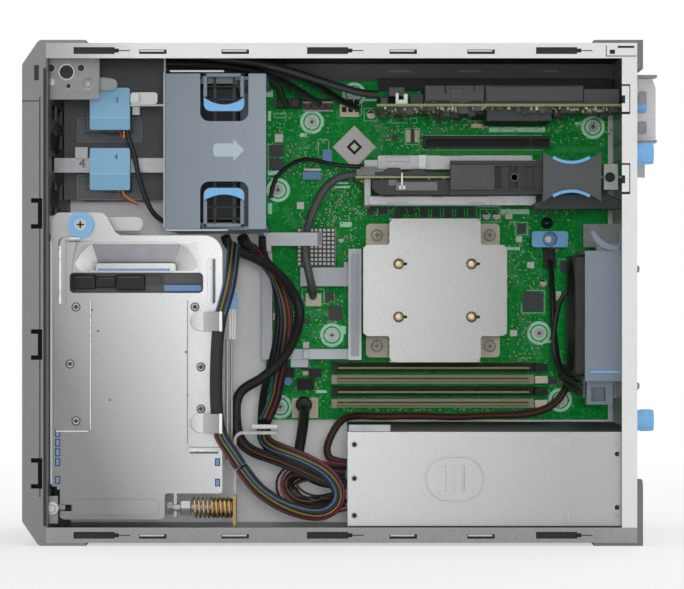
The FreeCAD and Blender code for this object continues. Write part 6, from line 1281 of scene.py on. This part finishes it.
piece("cage_grip_line", [bead([(98, 269.6), (134, 269.6), (170, 269.6)], 0.8, 0.9)], TOUCH_DEEP, "cage")
print("cup", CUP_SINK, "mm deep in", len(CUP_PARTS), "parts")

# %% [markdown]
# ## Rivets, rails and vents
# Rivets hold the drive rails: each is a turned head with a hole painted dark as shade, on a thin plate that shows
# where the rail lies.
# Blue rubber shows through the vents at the edges, as small blue blocks in frames painted dark as shade.

# %% Rivets, rail plates and vents
RIVETS = ((76, 307), (195, 307), (70, 364), (201, 367), (76, 421), (201, 409))
heads = discs(RIVETS, 2.4, ((1, 0.4), (0.95, 0.9), (0.75, 1.2), (0.55, 0.9), (0.5, 0.4)), CAGE_Y)
piece("cage_rivets", heads, SCREW, "cage")
holes = discs(RIVETS, 3, ((1, 0), (1, 0.55), (0, 0.55)), CAGE_Y)
holes += discs(RIVETS, 1.3, ((1, 0), (1, 0.9), (0, 0.9)), CAGE_Y)
piece("cage_rivet_hole_shade", holes, INK_AND_HOLE_SHADE, "cage")
# The small dimples are discs of painted shade.
dimples = ((98, 331), (186, 352), (188, 395), (110, 400), (92, 310))
piece("cage_dimple_shade", discs(dimples, 0.8, ((1, 0), (0.8, 0.2), (0, 0.2)), CAGE_Y), DRIVE_GREY_AND_RECESS_SHADE, "cage")
sheets = [pressing(*box, 4, CAGE_Y, CAGE_Y - 0.45) for box in ((53, 297, 90, 431), (188, 297, 221, 447))]
soften(piece("cage_rail_plates", sheets, CAGE, "cage"), 0.3)
left = [(55.2, v - 3.9, 60.2, v + 3.9) for v in (433, 442.6, 452.4, 462.2, 480)]
right = [(215, v - 3.9, 220, v + 3.9) for v in (462.2, 482.6)]
cut("cage_vent_shade", slabs(left + right, 0.25, CAGE_Y), DARK_SHADE_AND_PRINT, body="cage")
inner = np.array(left + right) + (0.9, 0.9, -0.9, -0.9)
cut("cage_vents", slabs(inner, 0.4, CAGE_Y), TOUCH_DEEP, body="cage")
print("rivets", len(RIVETS), "vents", len(left + right))

# %% [markdown]
# ## The cage's edges
# A folded lip runs down the left edge. On the right are two guide rods, a blue plug with three white wires,
# and at the foot of the case the washer of the hinge, which stays when the cage swings.

# %% Edge lip, rods, plug and washer
lip = blocks([(-192.2, -75.6, 40)], [(-190.4, -74.4, 200)])
cut("cage_edge_lip", lip, BRIGHT, 0.3, "cage")
rods = [tube([(x, y, z) for z in (55, 95, 135)], r, 10) for x, y, r in ((-76, -62, 1.2), (-73.2, -58, 0.9))]
piece("cage_rods", rods, SCREW, "cage")
wires = [tube([(x, -62, z) for z in (135, 146, 160)], 0.65, 8) for x in (-74.2, -72.6, -71)]
piece("cage_plug_wires", wires, WIRES["white"], "cage")
cut("cage_plug", blocks([(-75.6, -65, 155)], [(-69.6, -59.5, 166.5)]), TOUCH, 0.5, "cage")
washer = turned([(4.2, 0), (4.2, -0.8), (2.6, -1.2), (2, -0.2), (0, -0.2)], (-190.4, -78.4, 24.2), 28)
piece("cage_washer", [washer], BRIGHT)
print("rods", len(rods), "plug wires", len(wires))

# %% [markdown]
# ## Behind the cage's window
# Through the window show the black connectors of the drives, their grey backs and a blue latch.
# They are blocks at the depth of the drives, with paler tops as a painted highlight where they catch the light.

# %% Drive connectors and latch
CONNECTOR_Y = -57
connectors = [(73, 275, 96, 289), (97, 276.5, 116, 288), (117, 275, 145, 290)]
cut("drive_connectors", slabs(connectors, 6, CONNECTOR_Y), BLACK, 0.4, "cage")
cut("drive_backs", slabs([(71, 272.5, 205, 293)], 1, -56.2), DRIVE_GREY_AND_RECESS_SHADE, body="cage")
shine = [(75, 276.5, 94, 278), (99, 278, 114, 279), (119, 276.5, 143, 278), (147, 276, 162, 284)]
cut("drive_connector_highlights", slabs(shine, 6.3, CONNECTOR_Y), CHARCOAL_AND_PAINTED_LIGHT, body="cage")
latch = pressing(164, 285, 202, 291.6, 1.2, -69, -66, 18)
soften(piece("drive_latch", [latch], TOUCH_DEEP, "cage"), 0.4)
print("connectors", len(connectors))

# %% [markdown]
# ## Clips that hold the loom
# Two folded clips hold the loom to the cage. Each is a strip with a round tongue on the sheet, a pad over the loom
# and a bright fold at its end, so it is three plates at three depths.

# %% Loom clips
CLIPS = ((73.4, 86.7), (140.4, 153.7))
# The clip's fades are painted light and shade, and its bright fold a painted highlight.
CLIP_PAD = finish("clip sheet", "#a6a7a8 #b2b3b4", 0.34, 0.7, 1.2, fade=((1, 0, 0), -90, -81, 1.1, 0.8))
CLIP_END = finish("clip tongue", "#d2d3d3 #dcdddd", 0.34, 0.6, 1.2, fade=((1, 0, 0), -99, -91, 0.8, 1.2))
tongues, pads, folds = [], [], []
for z0, z1 in CLIPS:
    turn = np.linspace(np.pi / 2, 1.5 * np.pi, 15)
    round_end = np.stack([-92.5 + 7.4 * np.cos(turn), (z0 + z1) / 2 + (z1 - z0) / 2 * np.sin(turn)], -1)
    tongues.append(plate(np.vstack([[(-90.4, z0), (-90.4, z1)], round_end]), -76, -77.6))
    pads.append(plate(rounded(-90.6, -80.2, z0 + 0.3, z1 - 0.3, 0.8), -83.8, -84.7))
    folds.append(plate(rounded(-80.4, -78.4, z0, z1, 0.6), -83.8, -84.9))
soften(piece("clip_tongues", tongues, CLIP_END, "cage"), 0.7)
soften(piece("clip_pads", pads, CLIP_PAD, "cage"), 0.3)
soften(piece("clip_fold_highlights", folds, PAINTED_HIGHLIGHT, "cage"), 0.4)
print("clips", len(CLIPS))

# %% [markdown]
# ## Finger screw and hinge
# The finger screw at the top has a cross for a driver. The hinge pin at the foot carries a spring, a true coil:
# a point that goes round the pin while it moves along it. Its nut is a hexagon carried along the pin.

# %% Screw cross, spring and nut
SCREW_AT = np.array((-171.7, -80.8, 210.6))
arms = np.array(((2.4, 0, 0.55), (0.55, 0, 2.4)))
# The cross is a dark block of painted shade in its recess.
cut("cage_screw_cross_shade", blocks(SCREW_AT - arms - (0, 0.25, 0), SCREW_AT + arms), DARK_SHADE_AND_PRINT,
    body="cage_thumbscrew")
PIN_Y, PIN_Z = -72.5, 24.2
COIL_TURNS, COIL_RADIUS, COIL_LENGTH = 9, 6.2, 25.5
turn = np.linspace(0, 2 * np.pi * COIL_TURNS, COIL_TURNS * 16 + 1)
coil = np.stack([-98 + COIL_LENGTH * turn / turn[-1], PIN_Y + COIL_RADIUS * np.cos(turn),
                 PIN_Z + COIL_RADIUS * np.sin(turn)], -1)
piece("cage_spring_coil", [tube(coil, 0.75, 8)], PIN, "cage")
hexagon = np.linspace(0, 2 * np.pi, 6, endpoint=False)
nut = np.stack([np.stack([np.full(6, x), PIN_Y + r * np.cos(hexagon), PIN_Z + r * np.sin(hexagon)], -1)
                for x, r in ((-106.4, 4.6), (-105.6, 5.4), (-99.8, 5.4), (-99, 4.6))])
cut("cage_hinge_nut", skin(nut), SCREW)
print("spring turns", COIL_TURNS)

# %% [markdown]
# ## The two expansion cards
# From this side the cards show their edges, so what one sees are the parts that stand off them.
# Above the upper card are dark coolers with steps and gaps, the gaps painted dark as shade, and behind them a black
# strip paints the shade over the board's top edge.
# Blocks with softened edges are enough, as long as each rests on its card.

# %% Coolers of the upper card
COOLER = finish("painted cooler", "#404143 #4a4b4d", 0.45, 0.2, 1, 0.01)
BLACK_MOULDING_AND_SHADE = finish("black carrier moulding and painted shade", "#29292a #323334", 0.5, 0, 0.8, 0.012)
CARD_Y = -45
faces = blocks([(56, -42.6, 293.4), (96.6, -42.6, 293.8), (100, -43.2, 303.2)],
               [(95, -40.2, 304.6), (161.4, -40.2, 304.6), (158, -42.4, 304.2)])
cut("cooler_faces", faces, COOLER, 0.5)
raised = blocks([(72.6, -43.4, 295.6), (60, -43, 292.2), (79, -43, 292.2), (162, -40, 292.4)],
                [(80.6, -42.4, 302.4), (63, -40, 294), (83, -40, 294), (186, 20, 302.4)])
cut("cooler_steps", raised, CHARCOAL_AND_PAINTED_LIGHT, 0.4)
# The cooler's gaps are painted shade.
gaps = blocks([(68.6, -42.8, 298.8), (88.2, -42.8, 300.4), (58, -42.7, 293), (86, -42.7, 293)],
              [(70, -42.4, 304.8), (89.2, -42.4, 304.8), (72, -42.4, 294.6), (93, -42.4, 294.6)])
cut("cooler_gap_shade", gaps, DARK_SHADE_AND_PRINT)
# A black strip over the board's top edge is painted shade.
guard = slabs([(378, 78.5, 612.5, 91.5)], 3)
cut("board_top_shade", guard, BLACK_MOULDING_AND_SHADE, 0.4)
front = blocks([(31.5, -40, 297.5), (26, -36, 292.1), (46, -30, 292.1)],
               [(42, -20, 303.6), (31, -5, 297), (55, 5, 299.5)])
cut("upper_card_plugs", front, CHARCOAL_AND_PAINTED_LIGHT, 0.4)
clip = blocks([(36, -43, 292.1), (36, -43, 295), (41.5, -43, 295)],
              [(44, -38, 295), (38, -38, 299.5), (44, -38, 299)])
cut("upper_card_clip", clip, PALE, 0.3)
print("cooler faces", len(faces[1]) // 6)

# %% [markdown]
# ## Parts that hang below the cards
# The underside of a card is a crowd of small parts, seen edge on. One seeded scatter draws them all in turn:
# black packages first, then tan bits, bright pins and the pale bits of the lower card.

# %% Parts below the cards
dice = np.random.default_rng(21)


def under_card(count, x0, x1, level, drop, size):
    """Parts that hang below a card: seeded places near its front edge, each a block of its own height."""
    x, y = dice.uniform(x0, x1, count), dice.uniform(CARD_Y + 2, CARD_Y + 60, count)
    half, deep = dice.uniform(*size, count), dice.uniform(*drop, count)
    return blocks(np.stack([x - half, y, level - deep], -1),
                  np.stack([x + half, y + 2 * half, np.full(count, level)], -1))


UPPER, LOWER = (28, 185, 290.5), (12, 128, 242.4)  # ends and level of each card's underside
# Name, number, card, least and greatest drop and half width, finish and slot.
HANGING = (
    ("upper_card_parts", 70, UPPER, (1, 5.5), (1, 3.2), CHIP, "black_plastic"),
    ("upper_card_bits", 110, UPPER, (0.5, 2.6), (0.4, 1), TAN, "beige_plastic"),
    ("upper_card_pins", 60, UPPER, (0.5, 2.2), (0.3, 0.6), TIN, "bright_steel"),
    ("lower_card_bits", 60, LOWER, (0.5, 1.4), (0.3, 0.7), PALE, "beige_plastic"))
for name, count, card, drop, size, material, slot in HANGING:
    cut(name, under_card(count, *card, drop, size), material)
module = blocks([(98, -20, 282)], [(142, 40, UPPER[2])])
cut("upper_card_module", module, COOLER, 0.6)
print("parts below the cards", sum(row[1] for row in HANGING))

# %% [markdown]
# ## The lower card's frame and carrier
# A silver frame of sheet holds the lower card, with embossed lines drawn as thin marks of painted shade, and a bent
# tab.
# Round the card lies a black moulded carrier, cut to an outline with steps, with grey inserts and a pale clip.

# %% Frame and carrier of the lower card
FRAME_Y = -36
frame_face = [plate(rounded(24, 128, 248.4, 258.2, 1), FRAME_Y + 0.8, FRAME_Y),
              plate(rounded(17.5, 100, 224.9, 230.6, 0.8), FRAME_Y + 0.8, FRAME_Y)]
soften(piece("card_frame_face", frame_face, ZINC), 0.3)
# Each mark in X and Z: low corner, high corner.
MARKS = np.array((
    (29.5, 256.9, 45.5, 257.2), (29.5, 253.9, 45.5, 254.2), (29.5, 253.9, 29.8, 257.2), (45.2, 253.9, 45.5, 257.2),
    (66, 257.6, 80, 258), (30, 226, 44, 226.4), (84, 226, 96, 226.4), (27, 229.9, 36, 230.7), (60, 229.9, 68, 230.7)))
marks = blocks(np.insert(MARKS[:, :2], 1, FRAME_Y - 0.2, axis=1), np.insert(MARKS[:, 2:], 1, FRAME_Y + 0.1, axis=1))
cut("card_frame_mark_shade", marks, DRIVE_GREY_AND_RECESS_SHADE)
cut("card_frame_tab", blocks([(51.5, -37.2, 248.6)], [(56.8, -36, 258.4)]), BRIGHT, 0.4)
upper = [(22, 244.3), (22, 246.4), (27, 246.4), (31, 249.4), (38, 249.4), (41.5, 246.8), (46, 247.2), (46, 248.6),
         (54, 248.6), (57, 246.4), (74, 246.4), (74, 244.3)]
lower = [(20, 241.6), (124, 241.6), (124, 231.2), (26, 231.2), (22, 233), (20, 236)]
carriers = [plate(upper, -46.5, -10), plate(lower, -44.5, -10)]
soften(piece("lower_card_carrier", carriers, BLACK_MOULDING_AND_SHADE), 0.6)
inserts = blocks([(9.6, -45.5, 244.1), (36, -46.2, 234), (31, -45.6, 237.4), (12.5, -45, 246.6)],
                 [(33, -10, 248.6), (64, -44, 240), (37, -44, 241.5), (23, -20, 250)])
cut("lower_card_inserts", inserts, DRIVE_GREY_AND_RECESS_SHADE, 0.4)
cut("lower_card_clip", blocks([(39.6, -46.8, 235.2), (38.2, -46.8, 235)], [(40.8, -45.6, 246), (42.4, -46, 237.4)]),
    PALE, 0.2)
print("frame marks", len(MARKS))

# %% [markdown]
# ## The card clamp
# The clamp is lifted off by two fingers, and two blue arcs show where. Each arc is a round bar bent along a parabola.
# Its arm is ribbed, with a box and a ring, and all of these ride on the clamp.

# %% Blue arcs and the clamp's arm
CLAMP_Z = 242.7
t = np.linspace(-1, 1, 17)
arcs = [tube(np.stack([152 + 12.2 * t, np.full(17, -63.2), CLAMP_Z + way * (9.5 + 3.4 * t ** 2)], -1), 1.15, 10)
        for way in (1, -1)]
piece("clamp_arcs", arcs, TOUCH, "card_retainer")
ring = turned([(3, 0), (3, -1.4), (2, -1.4), (2, 0)], (114.9, -51.4, CLAMP_Z))
piece("clamp_arm_ring", [ring], COOLER, "card_retainer")
cut("clamp_arm_box", blocks([(72.4, -53.2, 234.6), (80, -53.6, 236.4)], [(101.6, -51.3, 250.9), (100, -53.2, 249.2)]),
    COOLER, 0.5, "card_retainer")
ribs = blocks([(74.5, -52.6, 250), (74.5, -52.6, 234), (92, -52.4, 235), (105.5, -52.4, 235), (120, -52.4, 235)],
              [(134, -51.3, 251.2), (134, -51.3, 235.2), (93, -51.3, 250.4), (106.5, -51.3, 250.4),
               (121, -51.3, 250.4)])
cut("clamp_arm_ribs", ribs, BLACK_MOULDING_AND_SHADE, 0.3, "card_retainer")
print("arcs", len(arcs), "ribs", len(ribs[1]) // 6)

# %% [markdown]
# ## What the clamp locks into
# Around the clamp lie a dark flared base and the small steel box that its foot locks into; both stay in the case.
# The long card socket below it gets a trim along its edges.

# %% Clamp base, lock box and slot trims
base = [(130, 221.5), (127, 224.5), (134, 228.5), (134, 232), (178, 232), (190, 226), (190, 222), (184, 221.5)]
soften(piece("clamp_base", [plate(base, -44.6, -30)], BLACK_MOULDING_AND_SHADE), 0.8)
cut("clamp_lock_box", blocks([(174.5, -47, 234.5)], [(184.5, -20, 252)]), ZINC, 0.5)
# The lock's hole is a dark disc of painted shade.
piece("clamp_lock_hole_shade", [turned([(3.4, 0), (3.4, -0.2), (0, -0.2)], (179, -47, 243))], DARK_SHADE_AND_PRINT)
trims = slabs([(424, 136.8, 550, 138), (424, 146.6, 550, 147.8), (424, 136.8, 425.4, 147.8),
               (548.6, 136.8, 550, 147.8), (530, 138, 531.4, 147)], 0.4, 59)
cut("slot_trims", trims, COOLER)
print("trims", len(trims[1]) // 6)

# %% [markdown]
# ## The rim of the case
# The side cover hooks into the rim, so the flanges carry keyed slots and small tabs cut on three sides and bent out.
# Each tab is a bright tongue inside its slot, and dark blocks behind the slots paint the shade in them. Behind the
# bezel's hooks the shell is in shade, so a dark block paints that shade.

# %% Tongues in the rim, bezel liner and corner rivets
KEYED_SLOTS, TAB_SLOTS = (-176, -23, 127), (-133, -79, 31, 82)
SLOT_LEVELS = (UPPER_SLOT_Z, LOWER_SLOT_Z)
tongues = [plate(rounded(x + 0.6, x + 16.6, z - 0.8, z + 0.5, 0.4), RIM_Y + 0.05, RIM_Y + 0.9)
           for x in TAB_SLOTS for z in SLOT_LEVELS]
soften(piece("rim_tongues", tongues, BRIGHT), 0.15)
RIM_BACK = -83.7
backs = []
for slots, width, half in ((KEYED_SLOTS, 27.4, 2.6), (TAB_SLOTS, 18.4, 1.8)):
    backs += [((x, RIM_BACK, z - half), (x + width, RIM_BACK + 0.3, z + half)) for x in slots for z in SLOT_LEVELS]
# Dark blocks behind the slots, and behind the bezel, are painted shade.
cut("slot_shade", blocks(*zip(*backs)), DARK_SHADE_AND_PRINT)
liner = blocks([(-206, -70, 20)], [(-195, -69, 312)])
cut("bezel_shade", liner, DARK_SHADE_AND_PRINT)
ties = discs([(611, 51), (606, 533), (52, 533)], 2.6, ((1, 0), (0.9, 0.5), (0.45, 0.6), (0.35, 0.2), (0, 0.2)), -84.4)
piece("rim_rivets", ties, SCREW)
print("tongues", len(tongues))

# %% [markdown]
# ## The supply's cover
# The cover has a pressed capsule with three ribs, dimpled screw holes and two small arrows for the way it slides.
# The capsule's edge is a thin tube along a rounded outline, and the ribs are tubes sunk to their crowns.

# %% Capsule, arrows and screw holes of the supply
COVER_Y = -79
COVER_DEPTH = COVER_Y - RIM_Y
outer = seen(*np.array([(426, 500), (483, 457)]).T, COVER_DEPTH)
ring = rounded(outer[0, 0], outer[1, 0], outer[0, 2], outer[1, 2], 13.8, 9)
path = np.stack([ring[:, 0], np.full(len(ring), -79.9), ring[:, 1]], -1)
piece("capsule_edge", [tube(np.vstack([path, path[:1]]), 0.55, 8)], COVER)
ribs = [tube(seen(np.full(3, u), np.array((465, 478, 492)), COVER_DEPTH - 0.9), 0.9, 8) for u in (445, 454, 463)]
piece("capsule_ribs", ribs, BRIGHT)
lines, heads = [], []
for v in (440.5, 517.5):
    lines += [(553, v - 1.9, 561, v - 1.3), (553, v + 1.3, 561, v + 1.9), (568, v - 5, 568.6, v + 5)]
    for way in (-1, 1):
        heads.append(tube(seen(np.array((560, 562.5, 565)), v + way * np.array((4.4, 2.2, 0)), COVER_DEPTH), 0.22, 6))
piece("cover_marks", [slabs(lines, 0.12, COVER_Y), *heads], BRIGHT, smooth=False)
plugs = ((358.4, 442.5), (358.4, 478.3), (358.4, 515.3))
piece("cover_plugs", discs(plugs, 2.2, ((1, 0), (0.98, 0.06), (0, 0.06)), COVER_Y), COVER)
HOLES = ((354.5, 444.5), (354.5, 478.5), (354.5, 515.5), (617, 454), (617, 507.5))
rims = discs(HOLES, 2.3, ((1, 0), (0.92, 0.3), (0.75, 0.3), (0.7, 0)), COVER_Y)
piece("cover_hole_rims", rims, BRIGHT)
# The holes are dark discs of painted shade.
piece("cover_hole_shade", discs(HOLES, 1.5, ((1, 0), (1, 0.15), (0, 0.15)), COVER_Y), DARK_SHADE_AND_PRINT)
top = blocks([(4.5, -78.5, 74.4)], [(32, -70, 79)])
cut("cover_top_lip", top, ZINC, 0.4)
print("ribs", len(ribs), "cover holes", len(HOLES))

# %% [markdown]
# ## Heat sink and cable guide
# The heat sink's lid is held by four brass pins in keyhole slots, and the socket's beige ears by screws.
# A pin is a turned head with a painted highlight on its tip, a ring of painted shade round it, and its keyhole
# painted dark as shade. The guide beside it gets a channel of darker slate as painted shade, and two steps.

# %% Pins, ears and guide
PINS = [(x, z) for x in (39, 89) for z in (149.3, 185.7)]
heads = [turned([(3.1, 0), (3.1, -0.7), (2.6, -1.2), (1.2, -1.5), (0, -1.5)], (x, 8, z), 28) for x, z in PINS]
piece("lid_pin_heads", heads, PIN)
# The guide's channel is a darker slate as painted shade.
GUIDE_CHANNEL_SHADE = finish("guide channel painted shade", "#969ba0 #a0a5aa", 0.5, 0, 0.6, 0.015, ior=1.49)
soften(piece("guide_channel_shade", [plate(rounded(6.2, 12, 122, 193, 1), 25, 24.7)], GUIDE_CHANNEL_SHADE), 0.2)
steps = blocks([(-55, 44, 120.6), (-36, 54, 113.6), (-27, 46, 119.8)],
               [(-34, 50, 127.4), (-23.5, 69.9, 119.6), (-23, 50, 126.2)])
cut("guide_steps", steps, SLATE_PALE, 0.6)
# The pin tips' gleam is a painted highlight.
GLEAM = finish("pin gleam", "#f2e2bd #fff1d2", 0.22, 0.3, 1)
piece("lid_pin_highlights", [turned([(1.5, 0), (1.3, -0.3), (0, -0.5)], (x - 0.3, 6.55, z + 0.3), 16) for x, z in PINS],
      GLEAM)
# The rings and keyholes are dark as painted shade.
rings = [turned([(3.7, 0), (3.7, -0.15), (0, -0.15)], (x, 9.95, z), 28) for x, z in PINS]
piece("lid_pin_ring_shade", rings, DARK_SHADE_AND_PRINT)
keys = [plate(rounded(x + 2.4, x + 5.9, z - 1, z + 1, 0.9), 9.9, 9.7) for x, z in PINS]
piece("lid_keyhole_shade", keys, DARK_SHADE_AND_PRINT, smooth=False)
EARS = ((377, 235), (490, 235), (377, 346), (490, 346))
heads = discs(EARS, 4.2, ((1, 0), (0.96, 1.2), (0.7, 2.2), (0.3, 2.4), (0, 2.4)), 56)
piece("ear_screws", heads, PAN)
# The screws' cross recesses are painted shade.
slots = [(u - wide, v - tall, u + wide, v + tall) for wide, tall in ((2.6, 0.6), (0.6, 2.6)) for u, v in EARS]
cut("ear_screw_cross_shade", slabs(slots, 0.1, 53.6), DRIVE_GREY_AND_RECESS_SHADE)
print("pins", len(PINS), "ears", len(EARS))

# %% [markdown]
# ## Finger screws
# The blue finger screws at the rear are knurled for the fingers: the rim is a circle whose radius ripples.
# Each turns with its own body, and a bright collar shows where it meets the case.

# %% Knurled finger screws
WAVES, RIPPLE = 24, 0.022
turn = np.linspace(0, 2 * np.pi, 96, endpoint=False)
# Body, start on the X axis, Y, Z, radius and length.
FINGER_SCREWS = (
    ("cover_screw_upper", 195.4, -73, 257.6, 7.05, 9.4), ("cover_screw_lower", 195.4, -73, 81.9, 7.05, 9.4),
    ("slot_door_screw", 196.4, -52.7, 291.7, 5.65, 5.8))


def knurled(centre, radius, length):
    """A knurled rim along X: radius times (1 + a ripple of so many waves), eased at both ends."""
    s = np.linspace(0, 1, 7)[:, None]
    ease = 1 - 0.10 * np.abs(2 * s - 1) ** 6
    r = radius * ease * (1 + RIPPLE * np.cos(WAVES * turn))
    x = np.broadcast_to(centre[0] + length * s, r.shape)
    return skin(np.stack([x, centre[1] + r * np.cos(turn), centre[2] + r * np.sin(turn)], -1))


for name, x, y, z, radius, length in FINGER_SCREWS:
    piece(name + "_knurl", [knurled((x, y, z), radius, length)], TOUCH, name)
    collar = turned([(radius * 0.75, 0), (radius * 0.8, 0.9), (radius * 0.62, 1)], (x - 1.2, y, z), 28, "x")
    piece(name + "_collar", [collar], SCREW, name)
print("finger screws", len(FINGER_SCREWS))

# %% [markdown]
# ## Rear fan carrier and plunger
# The fan's carrier has a blue line and a curved pull tab, cut as one outline. The blue plunger on the board is
# a turned dome with a screw beside it, and both move with the plunger's own body.

# %% Carrier tab and plunger
line = tube([(x, -70.2, 113.6) for x in (164, 175, 186)], 0.85, 8)
piece("carrier_line", [line], TOUCH)
tab = ((590, 232), (594, 229.5), (599, 236), (605, 241.5), (613, 244.5), (620, 245.5), (620, 251), (610, 250.5),
       (601, 247.5), (594, 241))
tab = seen(*np.array(tab).T, 12)[:, [0, 2]]
soften(piece("carrier_pull_tab", [plate(tab, -72.5, -70.2)], SLATE), 0.8)
dome = turned([(5.2, 0), (5.2, -1), (4.2, -2.4), (2.6, -3), (0, -3)], (144.5, 36.2, 203.2), 28)
piece("plunger_dome", [dome], TOUCH_DEEP, "board_plunger")
head = turned([(2.6, 0), (2.6, -1.4), (2, -2), (0, -2)], (143.2, 33.6, 203))
piece("plunger_screw", [head], PAN, "board_plunger")
print("pull tab of", len(tab), "points")

# %% [markdown]
# ## The slot door and the rear
# The door over the card slots is bent sheet: two leaves stand out from it, and two windows are pressed into it.
# Rubber nubs of the fan mounts stick out of the rear sheet.

# %% Slot door and rear nubs
leaf = blocks([(194.2, -59, 308.6), (194.2, -59, 265.6)], [(209.2, -45, 310.5), (209.2, -45, 267.2)])
cut("door_leaves", leaf, DULL, 0.5, "slot_door")
frames = [plate(rounded(196.6, 202.2, z - 4.2, z + 4.2, 1.2), -59.2, -59.7) for z in (275.4, 295.2)]
soften(piece("door_windows", frames, DULL, "slot_door"), 0.2)
nubs = [turned([(0, 2.4), (1.6, 2.4), (2.4, 1.6), (2.4, 0)], (193.9, -70, z), 20, "x") for z in (181.5, 104.3)]
piece("rear_nubs", nubs, SLATE)
print("door windows", len(frames), "nubs", len(nubs))

# %% [markdown]
# ## Last small things inside and behind
# The guide's bridge has darker ends, a bright bar hooks the loom, and the back wall has three embossed dashes.
# Behind, the ports get a mouth painted dark as shade with a blue tongue in it, which is all that a socket shows from
# outside.

# %% Bridge ends, hook, boot and ports
ends = slabs([(258.5, 231.5, 264, 245), (317.5, 231.5, 322.5, 245)], 0.5, 10)
cut("guide_bridge_ends", ends, SLATE, 0.2)
hook = blocks([(-60.4, -62.5, 75.6)], [(-42.4, -60.2, 78.6)])
cut("hook_bar", hook, BRIGHT, 0.5)
dashes = slabs([(389, 70, 411, 72), (459, 70, 481, 72), (543, 70, 558, 72)], 0.6, 83.6)
cut("wall_dashes", dashes, DULL)
boot = turned([(5.6, 0), (5.8, -2), (4.6, -4.6), (3.4, -5)], (-26.6, 57, 87.4), 28)
piece("socket_lead_boot", [boot], JACKET)
# Each port in Y and Z on the rear sheet.
PORTS = np.array(((54.5, 70, 164, 178.5), (54.5, 70, 180.5, 195), (55.5, 70, 197.9, 214.1), (57.5, 70, 92, 123),
                  (57.5, 70, 129, 160)))
y0, y1, z0, z1 = PORTS.T
REAR_X = 194.2 + 0 * y0
low, high = np.stack([REAR_X, y0 + 1.4, z0 + 1.4], -1), np.stack([REAR_X + 0.3, y1 - 1.4, z1 - 1.4], -1)
cut("port_mouth_shade", blocks(low, high), DARK_SHADE_AND_PRINT)
low, high = np.stack([REAR_X + 0.2, y0 + 4.6, z0 + 3], -1), np.stack([REAR_X + 0.6, y0 + 7.4, z1 - 3], -1)
cut("port_tongues", blocks(low, high), TOUCH_DEEP)
print("ports", len(PORTS))

# %% [markdown]
# ## Last measurements
# Both boxes, of the drawn part and of the dressed one, are printed before the scene ends. The dressed part has to
# stay inside the box of the drawn one.

# %% Sizes, and the end
low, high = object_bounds()
print("dressed box in mm", [round(v * 1000, 1) for v in (*low, *high)])
